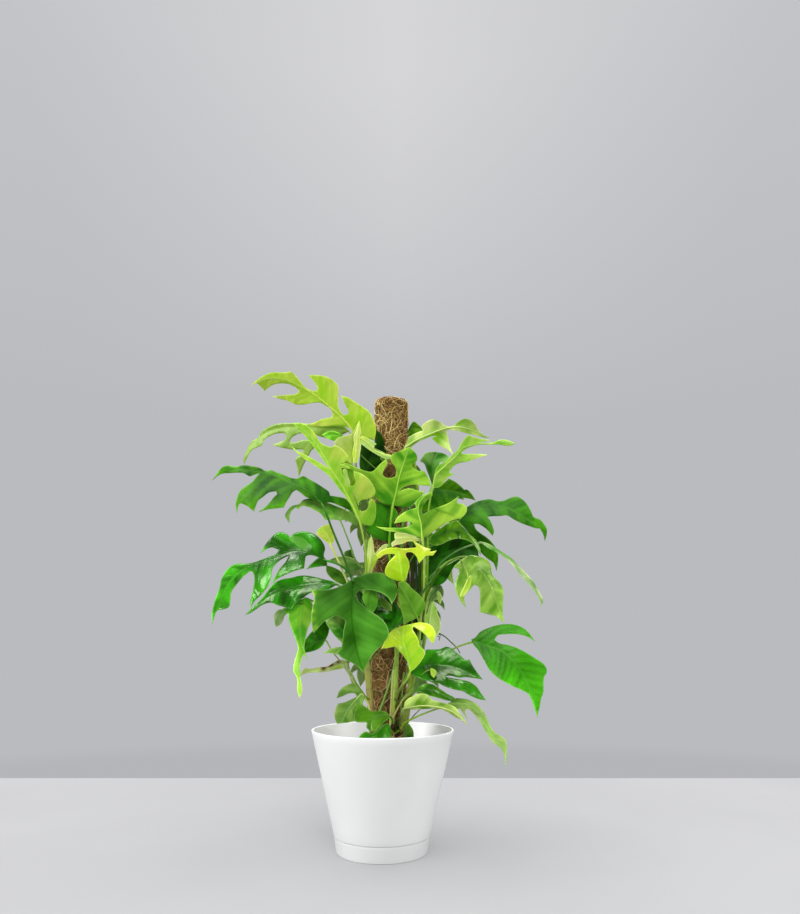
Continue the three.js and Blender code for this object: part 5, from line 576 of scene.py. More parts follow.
            (-129.3, -36.4, 471.8), (-141.7, -38.8, 469.0), (-149.1, -45.5, 460.8, 1), (-137.4, -44.5, 461.8), (-125.7, -47.5, 457.4), 
            (-115.0, -54.3, 446.9, 1), (-120.2, -61.2, 441.3), (-129.7, -60.8, 443.7), (-138.7, -54.4, 450.9), (-144.9, -51.1, 454.5, 1), 
            (-150.4, -43.5, 463.5), (-155.7, -41.3, 467.9), (-165.2, -42.0, 470.2), (-172.3, -46.4, 466.3), (-178.3, -54.9, 457.1), 
            (-183.8, -64.8, 446.3), (-187.6, -77.7, 431.6, 1), (-180.6, -71.8, 438.4), (-172.1, -68.1, 442.0), (-160.6, -71.0, 437.8, 1), 
            (-163.6, -78.4, 430.7), (-171.8, -82.8, 426.4), (-183.0, -86.8, 421.4), (-193.0, -89.0, 417.3), (-205.1, -88.7, 415.1), 
            (-219.4, -85.7, 415.4), (-228.2, -86.4, 412.3), (-235.6, -91.1, 403.6), (-239.7, -98.7, 391.0), (-239.6, -107.6, 377.2), 
            (-242.5, -115.4, 362.2), (-243.5, -122.0, 349.1), (-243.4, -127.9, 337.6), (-239.6, -136.0, 323.5, 1), (-238.5, -129.8, 336.1), 
            (-236.1, -126.9, 343.2), (-227.3, -128.2, 345.3), (-218.8, -128.6, 348.8), (-218.5, -123.5, 358.9), (-219.4, -116.4, 370.8), 
            (-213.5, -110.1, 382.8), (-206.6, -104.2, 393.5), (-198.3, -99.8, 402.0, 1), (-192.3, -102.8, 399.5), (-188.1, -110.2, 390.1), 
            (-187.3, -120.7, 373.4), (-188.5, -128.4, 358.6), (-187.3, -134.5, 346.4, 1), (-181.7, -129.9, 357.2), (-172.9, -125.8, 367.3), 
            (-166.2, -121.4, 377.6), (-164.0, -116.1, 386.7), (-163.0, -111.4, 393.6), (-164.0, -103.9, 403.1), (-161.2, -96.3, 412.1), 
            (-154.6, -88.3, 420.4), (-143.4, -79.3, 428.3, 1), (-146.4, -91.4, 417.1), (-153.2, -102.3, 405.5), (-157.1, -111.2, 394.4), 
            (-161.6, -119.7, 381.3, 1), (-154.0, -115.1, 388.9), (-142.0, -109.3, 396.7), (-128.4, -102.7, 403.2), (-117.4, -96.4, 406.8, 1), 
            (-117.7, -85.4, 417.7), (-117.9, -75.1, 427.3), (-114.0, -70.3, 430.1, 1), (-107.4, -67.3, 429.7), (-99.7, -65.5, 426.8, 1), 
            (-107.7, -80.3, 416.8), (-114.5, -95.4, 405.4, 1), (-103.9, -84.5, 409.5), (-94.3, -75.8, 411.9), (-85.9, -68.5, 414.2)],
        "rib": [(-88.2, -63.0, 421.7), (-109.9, -66.3, 432.2), (-128.4, -68.2, 436.6), (-143.2, -72.5, 434.5), (-159.9, -81.7, 427.3), (-182.1, -90.5, 417.2), (-202.2, -93.6, 409.3), (-219.4, -100.3, 395.3), (-231.1, -113.5, 371.0), (-239.7, -135.6, 324.2)],
        "stalk": {"r": (2.0, 1.6), "path": [(-91.1, -63.1, 423.5), (-74.4, -60.0, 418.9), (-60.7, -55.0, 411.7), (-48.4, -48.0, 398.4), (-39.3, -40.0, 382.0), (-34.2, -34.1, 372.3), (-31.7, -31.2, 371.5)]},
    },
    "left_bright_leaf": {
        "side": "U", "slot": "leaf_green", "face": (0.155, -0.986, -0.063),
        "dark": (24, 80, 4), "light": (47, 157, 7), "petiole": (132, 166, 74),
        "quilt": 0.35, "half": 0.65, "tip": 1.5,
        "edge": [(-67.0, -84.0, 384.8, 1), (-76.1, -84.0, 389.3), (-86.6, -85.9, 391.4), (-101.8, -85.5, 395.2), (-117.2, -84.6, 397.5), 
            (-127.4, -87.2, 396.5), (-138.0, -95.7, 392.8), (-147.1, -103.5, 390.6), (-155.4, -114.3, 385.4), (-160.9, -123.3, 378.9), 
            (-164.9, -130.9, 370.5), (-170.7, -139.1, 360.1), (-178.0, -146.6, 350.7), (-184.1, -152.4, 343.6), (-188.9, -158.0, 336.5, 1), 
            (-182.8, -154.4, 339.0), (-175.8, -149.0, 344.4), (-168.8, -143.2, 350.5), (-158.8, -136.5, 354.4), (-148.0, -131.8, 351.0), 
            (-138.6, -127.1, 348.4), (-129.7, -123.8, 345.5, 1), (-124.3, -118.5, 354.9), (-115.2, -112.9, 362.4), (-105.8, -107.9, 369.5), 
            (-94.6, -103.8, 374.1), (-80.5, -97.5, 375.7)],
        "rib": [(-69.9, -85.4, 384.7), (-100.3, -95.5, 384.7), (-124.7, -101.7, 380.5), (-148.1, -120.0, 372.7), (-166.1, -137.2, 360.3), (-188.3, -157.4, 337.2)],
        "stalk": {"r": (1.9, 1.5), "path": [(-72.2, -85.9, 384.8), (-56.7, -78.0, 376.3), (-46.5, -68.0, 362.0), (-37.8, -56.0, 346.1), (-32.0, -46.0, 332.9), (-30.0, -40.7, 325.1), (-28.8, -37.3, 324.3)]},
    },
    "big_front_leaf": {
        "side": "U", "slot": "leaf_dark", "face": (0.062, -0.997, -0.035),
        "dark": (27, 77, 6), "light": (79, 148, 41), "petiole": (44, 92, 24),
        "mid": -0.9, "quilt": 0.2, "wave": 0.6, "patch": [((-100.0, -118.6, 367.8), 4, (132, 186, 44)), ((-100.2, -125.5, 354.6), 4, (132, 186, 44)), ((-98.3, -131.7, 341.6), 4, (136, 188, 46)), ((-95.9, -136.6, 329.0), 4, (132, 184, 44)), ((-91.6, -141.0, 319.3), 3.5, (130, 180, 46))], "finish": 'matt', "rim": 1.0, "band": 0.35, "half": 1.27, "tip": 1.5,
        "edge": [(-43.9, -92.0, 393.1, 1), (-30.7, -87.1, 398.0), (-17.3, -83.4, 401.3), (-2.2, -81.9, 401.5), (10.1, -85.8, 395.1), 
            (19.2, -92.1, 385.7), (23.0, -99.9, 374.8), (20.8, -108.5, 364.1), (14.4, -117.7, 352.8, 1), (10.6, -112.6, 361.0), (3.2, -108.2, 367.7), 
            (-7.3, -105.4, 372.2), (-17.7, -104.3, 374.5), (-29.4, -105.1, 374.4), (-36.6, -108.8, 370.6), (-38.4, -113.7, 364.5, 1), 
            (-34.4, -117.8, 358.5), (-26.8, -121.9, 351.9), (-16.4, -126.5, 343.2), (-4.8, -129.3, 336.1), (3.9, -131.9, 328.4), (9.7, -135.3, 318.0), 
            (10.5, -138.9, 308.4), (5.7, -142.6, 300.9), (-1.1, -146.3, 293.5), (-9.3, -150.1, 285.5), (-15.2, -154.1, 276.3), (-19.7, -158.1, 267.2), 
            (-23.5, -162.0, 258.9, 1), (-27.8, -159.4, 264.7), (-34.8, -157.2, 269.8), (-43.3, -155.3, 274.4), (-53.1, -153.4, 278.9), 
            (-61.1, -151.0, 286.2, 1), (-55.2, -148.8, 292.2), (-53.6, -145.6, 302.9), (-52.8, -141.2, 316.5), (-50.6, -136.3, 329.0, 1), 
            (-57.2, -134.4, 333.9), (-64.4, -133.7, 336.0), (-72.7, -135.9, 332.5), (-79.5, -137.9, 328.9), (-86.0, -141.2, 322.0), 
            (-90.5, -143.7, 316.5), (-94.3, -145.8, 311.7, 1), (-97.2, -141.6, 322.0), (-99.3, -134.4, 337.4), (-98.5, -126.7, 351.7), 
            (-97.6, -119.7, 363.4), (-103.8, -113.4, 373.9, 1), (-93.7, -112.3, 374.7), (-79.1, -110.7, 374.8), (-64.9, -106.0, 378.7), 
            (-53.7, -99.5, 385.1)],
        "rib": [(-43.9, -92.0, 393.1), (-43.2, -108.9, 371.3), (-42.9, -128.0, 344.6), (-39.5, -140.6, 316.5), (-33.6, -149.5, 289.5), (-23.6, -161.1, 260.8)],
        "stalk": {"r": (2.3, 1.8), "path": [(-43.8, -94.5, 389.9), (-39.7, -84.0, 383.3), (-34.3, -70.0, 369.4), (-30.3, -54.0, 352.2), (-28.3, -41.2, 331.7), (-27.7, -36.9, 330.9)]},
    },
    "inner_dark_leaf": {
        "side": "U", "slot": "leaf_deep", "face": (0.024, -0.999, -0.043),
        "dark": (42, 140, 5), "light": (11, 38, 4), "petiole": (132, 166, 74),
        "half": 1.5, "tip": 0.65,
        "edge": [(23.6, -49.8, 323.8, 1), (11.5, -57.3, 316.3), (3.9, -63.4, 328.0), (-6.6, -70.9, 338.1), (-18.4, -78.3, 345.2), 
            (-25.8, -82.2, 350.2), (-31.1, -83.6, 358.2), (-27.8, -77.9, 370.4), (-19.2, -69.3, 379.9), (-4.1, -62.2, 377.4), (11.3, -56.2, 367.2), 
            (23.6, -49.8, 353.9), (32.1, -44.3, 340.5), (32.9, -43.8, 331.5)],
        "rib": [(22.1, -51.4, 329.8), (8.4, -61.6, 347.4), (-9.7, -71.6, 360.3), (-26.2, -78.9, 365.8)],
        "stalk": {"r": (1.5, 1.2), "path": [(20.6, -52.3, 329.7), (25.2, -50.0, 314.9), (24.7, -47.9, 310.7), (24.2, -45.0, 309.9)]},
    },
    "left_hanging_leaf": {
        "side": "U", "slot": "leaf_pale", "face": (0.142, -0.990, -0.000),
        "dark": (71, 174, 22), "light": (179, 239, 77), "petiole": (132, 166, 74),
        "quilt": 0.4, "vein": 0.1, "rim": 0.5, "band": 0.7, "fold": 1.3, "finish": 'gloss', "half": 0.62, "tip": 0.9,
        "edge": [(-116.5, -92.0, 363.6, 1), (-109.1, -91.2, 362.9), (-104.3, -92.3, 356.3), (-103.5, -95.8, 343.0), (-104.0, -100.0, 328.5), 
            (-108.2, -103.8, 317.1), (-110.1, -107.6, 303.0), (-110.9, -110.1, 291.8), (-109.1, -111.1, 284.9), (-103.6, -112.0, 273.2, 1), 
            (-111.8, -111.8, 282.1), (-114.3, -112.7, 275.3), (-116.2, -113.2, 264.3), (-115.2, -112.8, 253.4), (-112.8, -111.5, 241.1), 
            (-112.6, -110.4, 231.6), (-115.6, -109.6, 222.8, 1), (-119.0, -111.2, 234.3), (-119.2, -112.4, 245.2), (-120.5, -113.0, 252.0), 
            (-125.0, -113.6, 260.2), (-124.7, -113.5, 269.8), (-122.0, -112.5, 282.1), (-120.1, -111.0, 291.8), (-125.3, -108.8, 305.8), 
            (-132.0, -106.1, 319.9), (-136.6, -103.3, 332.7), (-138.0, -101.2, 340.7), (-143.4, -103.0, 336.3), (-149.0, -105.1, 329.8), 
            (-150.1, -107.2, 321.5, 1), (-155.5, -106.6, 325.5), (-157.5, -105.1, 332.0), (-153.9, -102.9, 339.9), (-145.9, -100.1, 347.9), 
            (-136.0, -97.9, 351.6), (-126.4, -94.6, 359.1)],
        "rib": [(-116.5, -92.0, 363.6), (-119.4, -98.2, 342.9), (-118.9, -105.3, 317.1), (-114.7, -109.7, 296.0), (-103.6, -111.9, 273.9)],
        "stalk": {"r": (1.5, 1.2), "path": [(-117.0, -93.1, 359.8), (-96.3, -84.0, 355.2), (-71.5, -72.0, 338.1), (-46.4, -56.0, 314.8), (-31.3, -41.7, 296.7), (-29.4, -39.4, 295.9)]},
    },
    "dark_oval_leaf": {
        "side": "U", "slot": "leaf_dark", "face": (0.115, -0.993, -0.004),
        "dark": (24, 82, 4), "light": (62, 160, 8), "petiole": (173, 188, 107),
        "half": 1.5, "tip": 0.65,
        "edge": [(-84.1, -86.0, 301.6, 1), (-80.4, -81.5, 310.2), (-79.5, -77.5, 320.4), (-85.9, -76.2, 331.3, 1), (-92.7, -81.4, 326.1), 
            (-98.0, -86.0, 320.2), (-104.5, -91.4, 313.7), (-109.6, -96.3, 306.5), (-113.4, -100.7, 298.7), (-113.9, -103.4, 291.7), 
            (-110.7, -103.9, 284.8, 1), (-101.3, -98.6, 286.8), (-91.9, -92.8, 290.5), (-86.6, -88.8, 295.9)],
        "rib": [(-84.2, -85.6, 303.0), (-97.9, -93.4, 298.7), (-113.7, -104.2, 289.0)],
        "stalk": {"r": (1.4, 1.1), "path": [(-87.5, -87.7, 301.2), (-74.4, -76.0, 287.2), (-63.1, -64.0, 272.6), (-53.0, -56.0, 257.9), (-42.6, -50.0, 241.9), (-32.1, -45.0, 225.8), (-27.4, -43.6, 220.4), (-24.9, -42.8, 219.6)]},
    },
    "shaded_lobed_leaf": {
        "side": "U", "slot": "leaf_deep", "face": (0.085, -0.996, -0.007),
        "dark": (35, 118, 8), "light": (138, 186, 79), "petiole": (132, 166, 74),
        "half": 1.5, "tip": 1.29,
        "edge": [(-46.1, -83.9, 314.5, 1), (-46.5, -81.6, 331.9), (-48.3, -81.3, 344.3), (-62.7, -88.0, 342.6), (-75.3, -94.8, 335.9), 
            (-81.9, -99.9, 328.5), (-77.3, -100.2, 320.0), (-68.3, -99.4, 308.6), (-59.5, -97.9, 300.1, 1), (-56.4, -98.9, 294.5), 
            (-67.3, -106.7, 292.5), (-76.5, -114.3, 289.1), (-82.9, -120.4, 284.6, 1), (-69.5, -112.1, 284.5), (-55.6, -104.7, 282.0), 
            (-46.3, -95.8, 288.9)],
        "rib": [(-47.0, -89.1, 303.0), (-59.0, -90.6, 317.3), (-73.8, -94.4, 334.4)],
        "stalk": {"r": (1.5, 1.2), "path": [(-49.1, -86.9, 311.8), (-40.8, -70.0, 300.1), (-33.9, -54.0, 285.4), (-28.8, -45.0, 274.3), (-27.3, -42.5, 273.5)]},
    },
    "thin_browned_leaf": {
        "side": "U", "slot": "leaf_browned", "face": (0.102, -0.994, 0.036),
        "dark": (160, 194, 53), "light": (229, 239, 192), "petiole": (102, 151, 7),
        "browned": 0.5, "finish": 'satin', "patch": [((-84.6, -85.4, 263.3), 5, (96, 62, 30)), ((-74.7, -82.9, 267.4), 5, (84, 54, 28)), ((-64.6, -82.2, 273.1), 4, (110, 76, 40))], "half": 1.23, "tip": 1.1,
        "edge": [(-51.7, -77.9, 273.0, 1), (-61.5, -85.0, 275.3), (-71.7, -83.8, 270.3), (-80.4, -83.8, 265.4), (-92.6, -93.1, 264.6), 
            (-102.6, -105.4, 262.7), (-108.3, -116.9, 264.4), (-116.4, -122.0, 253.1, 1), (-107.6, -109.8, 256.7), (-100.3, -99.5, 257.6), 
            (-90.1, -87.4, 257.1), (-79.2, -79.9, 258.2), (-67.8, -75.7, 260.8), (-57.8, -72.3, 262.1), (-50.5, -70.4, 264.2)],
        "rib": [(-53.3, -74.6, 268.6), (-69.2, -78.7, 265.9), (-83.3, -83.7, 262.5), (-100.3, -100.2, 259.7), (-115.8, -121.4, 253.8)],
        "stalk": {"r": (1.8, 1.3), "path": [(-56.3, -77.2, 270.1), (-46.0, -70.0, 255.7), (-38.6, -66.0, 241.3), (-29.9, -58.0, 228.1), (-23.3, -49.5, 218.4), (-21.7, -46.7, 217.6)]},
    },
    "low_left_leaf": {
        "side": "D", "slot": "leaf_pale", "face": (0.069, -0.994, 0.079),
        "dark": (59, 130, 21), "light": (168, 209, 101), "petiole": (223, 231, 141),
        "finish": 'satin', "half": 1.5, "tip": 0.9,
        "edge": [(-28.8, -80.0, 229.6, 1), (-34.5, -83.4, 236.7), (-41.6, -88.6, 241.9), (-50.8, -99.8, 239.8), (-58.4, -110.6, 234.3), 
            (-62.4, -118.9, 223.5, 1), (-54.2, -107.7, 226.0), (-46.5, -98.0, 228.7), (-38.4, -89.7, 228.1), (-35.5, -87.8, 223.9, 1), 
            (-43.5, -96.7, 220.5), (-52.6, -108.0, 217.3), (-60.3, -118.0, 216.8, 1), (-63.1, -123.8, 210.0), (-63.9, -127.8, 201.2), 
            (-60.4, -126.1, 190.9, 1), (-51.7, -113.5, 190.6), (-42.7, -101.2, 190.6), (-36.2, -92.5, 192.4), (-33.7, -88.3, 202.8), 
            (-28.4, -81.9, 213.1), (-24.5, -76.8, 222.4)],
        "rib": [(-30.1, -81.9, 226.9), (-42.0, -96.2, 214.3), (-49.6, -107.3, 203.2), (-55.4, -118.8, 191.2)],
        "stalk": {"r": (1.5, 1.2), "path": [(-31.6, -83.5, 226.0), (-23.3, -68.0, 217.6), (-19.2, -58.0, 207.0), (-18.1, -51.7, 199.3), (-17.6, -48.9, 198.5)]},
    },
    "rim_front_leaf": {
        "side": "U", "slot": "leaf_green", "face": (0.038, -0.994, 0.100),
        "dark": (60, 115, 16), "light": (101, 168, 27), "petiole": (42, 92, 22),
        "half": 0.91, "tip": 0.65,
        "edge": [(12.3, -82.0, 196.7, 1), (6.4, -80.5, 202.7), (-5.0, -85.6, 203.9), (-15.0, -90.1, 204.3), (-22.3, -87.8, 209.5), 
            (-31.0, -87.4, 212.9), (-37.0, -94.2, 208.7), (-38.5, -102.7, 201.4), (-35.7, -111.6, 192.4), (-26.7, -109.6, 190.8), 
            (-20.4, -107.6, 190.0), (-20.1, -113.2, 184.6), (-14.4, -116.0, 179.1, 1), (-6.9, -109.7, 180.6), (-1.6, -101.2, 185.3), 
            (5.3, -92.2, 190.3), (10.2, -86.6, 193.1)],
        "rib": [(10.8, -81.8, 198.1), (-7.6, -94.1, 196.6), (-14.3, -103.5, 190.9), (-14.4, -114.8, 180.2)],
        "stalk": {"r": (1.5, 1.2), "path": [(8.2, -84.1, 197.1), (15.0, -68.0, 191.2), (14.7, -59.6, 181.6), (14.6, -56.7, 180.8)]},
    },
    "pot_front_leaf": {
        "side": "U", "slot": "leaf_green", "face": (0.033, -0.992, 0.122),
        "dark": (29, 98, 4), "light": (85, 185, 28), "petiole": (132, 166, 74),
        "half": 0.65, "tip": 1.5,
        "edge": [(9.2, -70.0, 186.0, 1), (0.6, -73.0, 183.5), (-5.8, -76.5, 177.1), (-15.0, -80.5, 172.9), (-22.2, -80.8, 175.6), 
            (-29.2, -83.6, 171.9), (-33.9, -87.6, 165.0), (-28.5, -92.2, 155.0), (-12.9, -91.2, 149.6), (5.2, -80.0, 152.0), (13.7, -70.9, 164.3), 
            (14.3, -69.3, 174.9)],
        "rib": [(7.8, -70.7, 184.7), (-5.1, -77.0, 174.5), (-21.8, -87.1, 162.3)],
        "stalk": {"r": (1.5, 1.2), "path": [(5.6, -71.8, 183.0), (14.3, -62.0, 174.1), (14.2, -60.4, 174.0), (14.2, -57.6, 173.2)]},
    },
    "centre_leaf": {
        "side": "D", "slot": "leaf_lime", "face": (0.006, -0.973, -0.229),
        "dark": (65, 153, 10), "light": (185, 239, 71), "petiole": (103, 173, 7),
        "quilt": 0.45, "half": 0.81, "tip": 1.1,
        "edge": [(15.4, -45.9, 513.3, 1), (29.9, -47.2, 509.8), (42.7, -48.8, 510.3), (52.3, -52.6, 517.7), (61.9, -57.0, 526.6), 
            (66.6, -60.4, 532.7, 1), (57.1, -59.4, 533.4), (44.3, -59.8, 537.4), (31.5, -57.7, 536.3), (25.1, -55.4, 533.5, 1), (33.1, -59.4, 540.0), 
            (45.9, -62.3, 542.9), (61.8, -64.2, 541.7), (76.0, -66.5, 539.3, 1), (74.4, -70.1, 547.4), (69.6, -73.3, 556.4), (64.8, -75.3, 563.0, 1), 
            (56.9, -73.5, 562.9), (49.8, -73.8, 566.9), (45.8, -74.7, 570.8, 1), (48.9, -77.5, 575.0), (54.1, -80.4, 578.7, 1), (53.6, -83.5, 585.0), 
            (48.1, -86.5, 593.2), (41.7, -88.0, 598.5, 1), (33.0, -84.8, 596.1), (23.5, -80.7, 592.3), (13.1, -76.6, 588.4), (11.5, -73.2, 582.7), 
            (13.1, -70.8, 577.6, 1), (17.9, -69.2, 572.2), (21.1, -66.5, 564.6), (18.7, -62.5, 556.5, 1), (10.6, -59.9, 554.7), (2.6, -59.0, 556.5), 
            (-1.4, -60.4, 561.1), (2.6, -65.3, 569.9), (6.7, -69.4, 577.1), (4.3, -72.2, 583.0, 1), (-5.4, -67.5, 575.9), (-18.3, -60.9, 565.1), 
            (-28.0, -61.2, 565.9), (-40.7, -64.6, 570.0), (-53.3, -68.9, 574.7), (-69.8, -73.8, 579.3, 1), (-58.2, -67.1, 571.1), 
            (-48.8, -62.5, 565.6), (-37.7, -58.1, 560.0), (-26.6, -51.8, 549.9), (-18.6, -45.8, 538.0), (-12.2, -40.2, 524.3), (0.8, -41.8, 516.5)],
        "rib": [(15.4, -45.9, 513.3), (20.3, -54.1, 532.9), (25.1, -63.0, 553.9), (31.5, -72.5, 573.0), (41.7, -88.0, 598.5)],
        "stalk": {"r": (2.0, 1.8), "path": [(16.3, -47.4, 516.9), (13.1, -50.0, 496.3), (10.8, -52.0, 471.9), (10.1, -52.0, 448.0), (11.0, -50.0, 424.7), (14.9, -46.0, 401.7), (20.4, -41.0, 378.8), (23.2, -37.7, 378.0)]},
    },
    "deep_leaf_behind": {
        "side": "U", "slot": "leaf_deep", "face": (0.024, -0.987, -0.161),
        "dark": (22, 76, 5), "light": (64, 146, 20), "petiole": (132, 166, 74),
        "finish": 'matt', "tip": 0.65,
        "edge": [(9.0, -34.0, 456.0, 1), (-5.4, -33.9, 458.5), (-16.7, -33.4, 463.4), (-26.6, -32.7, 474.0), (-28.3, -32.2, 483.0), 
            (-20.2, -32.7, 486.2), (-13.1, -31.9, 501.1), (-10.9, -30.1, 521.3), (3.9, -31.9, 516.8), (16.9, -32.9, 511.6), (23.5, -33.6, 499.2), 
            (16.2, -33.9, 489.3), (22.7, -33.6, 474.7), (20.3, -33.8, 458.5)],
        "rib": [(9.0, -34.0, 456.9), (4.1, -33.9, 479.5), (8.9, -33.3, 500.9), (12.0, -32.3, 517.5)],
        "stalk": {"r": (1.5, 1.2), "path": [(8.2, -34.0, 460.4), (15.5, -32.0, 439.5), (20.7, -32.4, 420.7), (23.4, -31.5, 419.9)]},
    },
    "upper_right_leaf": {
        "side": "D", "slot": "leaf_lime", "face": (-0.063, -0.957, -0.285),
        "dark": (106, 162, 19), "light": (212, 230, 134), "petiole": (132, 166, 74),
        "quilt": 0.35, "half": 0.8, "tip": 1.2,
        "edge": [(33.2, -56.0, 600.6, 1), (38.1, -55.4, 616.0), (43.1, -56.0, 625.2), (52.8, -60.1, 630.0), (64.1, -66.4, 632.3, 1), 
            (61.4, -65.2, 638.6), (70.3, -76.1, 644.6), (79.7, -84.1, 645.4), (90.9, -83.5, 641.4), (102.2, -80.6, 635.0), (111.4, -86.4, 633.8), 
            (118.7, -95.1, 637.7), (127.5, -104.0, 640.2), (136.7, -106.3, 638.3), (144.6, -104.2, 631.5), (151.0, -100.2, 621.2), 
            (157.4, -98.3, 616.1), (170.1, -96.1, 610.1, 1), (155.8, -97.5, 612.2), (143.2, -98.5, 615.2), (132.4, -97.2, 618.0), 
            (118.8, -91.1, 624.0), (106.7, -82.9, 628.5), (100.4, -81.5, 626.9, 1), (103.5, -86.9, 615.3), (105.3, -95.1, 598.1), 
            (109.3, -101.4, 582.6, 1), (100.4, -96.5, 592.4), (91.3, -92.5, 598.4), (83.7, -88.6, 606.1), (76.9, -83.7, 614.6, 1), 
            (84.1, -84.7, 617.6), (77.8, -82.9, 617.7), (65.3, -73.7, 615.3), (52.6, -65.5, 611.0), (42.9, -61.0, 604.3)],
        "rib": [(33.2, -55.3, 604.2), (51.1, -63.0, 615.6), (74.8, -78.8, 622.7), (102.1, -80.4, 632.2), (121.8, -94.2, 629.7), (144.8, -100.1, 621.3), (170.1, -96.1, 610.1)],
        "stalk": {"r": (2.4, 2.2), "path": [(36.4, -57.0, 604.4), (34.9, -48.0, 592.6), (35.1, -43.3, 585.3), (35.4, -38.1, 584.5)]},
    },
    "right_lime_leaf": {
        "side": "D", "slot": "leaf_lime", "face": (-0.096, -0.962, -0.254),
        "dark": (120, 195, 38), "light": (199, 230, 104), "petiole": (111, 162, 30),
        "quilt": 0.35, "half": 0.8, "tip": 1.2,
        "edge": [(78.8, -74.0, 536.8, 1), (79.5, -78.3, 547.2), (81.8, -83.1, 557.4), (84.8, -87.8, 565.9), (91.0, -91.3, 570.7), (98.7, -94.4, 574.0), 
            (106.2, -100.0, 580.6), (115.3, -106.2, 587.8), (121.1, -113.2, 597.1), (126.1, -118.9, 603.5), (131.2, -123.0, 607.1), 
            (140.3, -123.9, 604.4), (152.3, -125.8, 600.7), (165.4, -130.1, 597.9, 1), (155.3, -124.6, 596.6), (148.0, -121.5, 596.3), 
            (158.3, -124.9, 594.6), (168.4, -129.8, 594.3), (178.1, -136.8, 596.2), (189.3, -142.7, 593.7), (199.8, -146.0, 587.5, 1), 
            (189.6, -138.7, 586.0), (178.4, -133.3, 589.4), (164.2, -126.1, 591.4), (149.6, -120.4, 593.0), (137.8, -115.2, 591.7), 
            (127.4, -109.6, 588.0), (122.2, -105.5, 583.5), (135.0, -108.9, 581.4), (149.8, -114.5, 579.9), (161.5, -119.2, 577.4, 1), 
            (147.0, -111.0, 574.5), (132.2, -102.8, 571.0), (117.2, -96.0, 569.5), (109.7, -91.3, 565.1), (104.4, -86.3, 557.7), 
            (112.2, -87.2, 555.6, 1), (103.7, -83.4, 550.8), (97.5, -80.3, 545.1), (91.3, -76.3, 537.9), (85.1, -74.2, 535.2)],
        "rib": [(78.8, -74.0, 536.8), (83.4, -81.9, 554.4), (95.7, -89.0, 565.6), (112.4, -100.2, 578.9), (124.3, -110.3, 590.7), (146.6, -119.9, 594.4), (172.6, -132.8, 595.5), (199.8, -146.1, 587.8)],
        "stalk": {"r": (1.9, 1.6), "path": [(79.7, -75.6, 540.4), (74.7, -74.0, 520.7), (71.3, -74.0, 496.8), (70.2, -74.0, 468.5), (70.0, -72.0, 437.6), (69.3, -62.0, 407.9), (68.9, -46.0, 381.6), (62.3, -6.3, 344.8), (61.7, -2.5, 344.0)]},
    },
    "sheen_leaf": {
        "side": "U", "slot": "leaf_dark", "face": (-0.049, -0.969, -0.244),
        "dark": (29, 98, 4), "light": (121, 170, 82), "petiole": (131, 218, 7),
        "finish": 'matt', "half": 0.65,
        "edge": [(79.0, -54.0, 542.0, 1), (75.9, -53.4, 552.8), (70.4, -52.6, 568.0), (65.7, -52.1, 580.6), (59.2, -52.4, 584.8), 
            (63.4, -51.3, 591.8, 1), (67.6, -49.1, 598.3), (74.3, -47.0, 601.4), (87.4, -46.0, 601.6), (98.5, -51.5, 597.6), (105.4, -57.7, 590.9), 
            (108.9, -62.4, 583.9, 1), (101.0, -59.0, 579.7), (93.3, -54.0, 583.5), (88.3, -54.6, 574.2), (84.0, -54.9, 561.6), (81.2, -54.4, 550.1)],
        "rib": [(78.2, -53.8, 542.8), (78.4, -53.7, 561.1), (80.4, -51.0, 583.4), (87.4, -46.0, 601.6)],
        "stalk": {"r": (1.5, 1.2), "path": [(78.6, -53.9, 546.4), (70.1, -52.0, 525.2), (58.7, -49.0, 504.6), (45.9, -43.0, 486.2), (36.2, -33.8, 472.2), (34.4, -31.5, 471.4)]},
    },
    "right_shaded_leaf": {
        "side": "U", "slot": "leaf_deep", "face": (-0.069, -0.977, -0.200),
        "dark": (29, 85, 9), "light": (85, 141, 7), "petiole": (118, 152, 58),
        "finish": 'matt', "tip": 0.65,
        "edge": [(77.3, -38.0, 541.3, 1), (88.7, -38.1, 545.4), (97.1, -36.7, 550.8), (107.2, -33.6, 559.9, 1), (116.8, -36.5, 554.2), 
            (126.1, -40.4, 545.3), (130.6, -42.8, 539.4, 1), (135.5, -43.0, 539.4), (141.6, -45.4, 533.1), (148.5, -50.0, 519.9, 1), 
            (136.2, -48.4, 523.5), (121.8, -47.7, 523.9), (111.9, -49.2, 517.6), (100.5, -49.4, 512.6), (87.7, -47.3, 508.1), (73.4, -43.4, 504.8), 
            (58.2, -38.2, 504.1, 1), (62.4, -38.4, 516.4), (70.5, -39.7, 526.0)],
        "rib": [(78.9, -38.3, 541.2), (93.4, -40.2, 540.8), (111.1, -42.8, 537.0), (130.2, -45.6, 531.4), (148.0, -49.7, 520.7)],
        "stalk": {"r": (1.5, 1.2), "path": [(82.0, -38.6, 541.2), (65.9, -30.0, 521.3), (59.6, -18.0, 500.3), (57.2, -10.0, 478.3), (59.5, 1.5, 466.3), (60.0, 4.4, 465.5)]},
    },
    "right_glossy_leaf": {
        "side": "U", "slot": "leaf_green", "face": (-0.141, -0.977, -0.158),
        "dark": (22, 76, 6), "light": (69, 145, 12), "petiole": (118, 152, 58),
        "finish": 'matt', "quilt": 0.35, "band": 0.6, "half": 1.3, "tip": 1.3,
        "edge": [(120.0, -40.0, 488.3, 1), (123.9, -35.2, 500.5), (132.5, -32.5, 510.1), (142.6, -30.4, 517.1), (152.8, -28.2, 522.5), 
            (164.4, -27.5, 525.5), (174.2, -28.5, 526.3), (184.4, -36.5, 521.7), (195.2, -40.7, 521.7), (206.7, -41.1, 526.6), (216.0, -43.8, 527.7), 
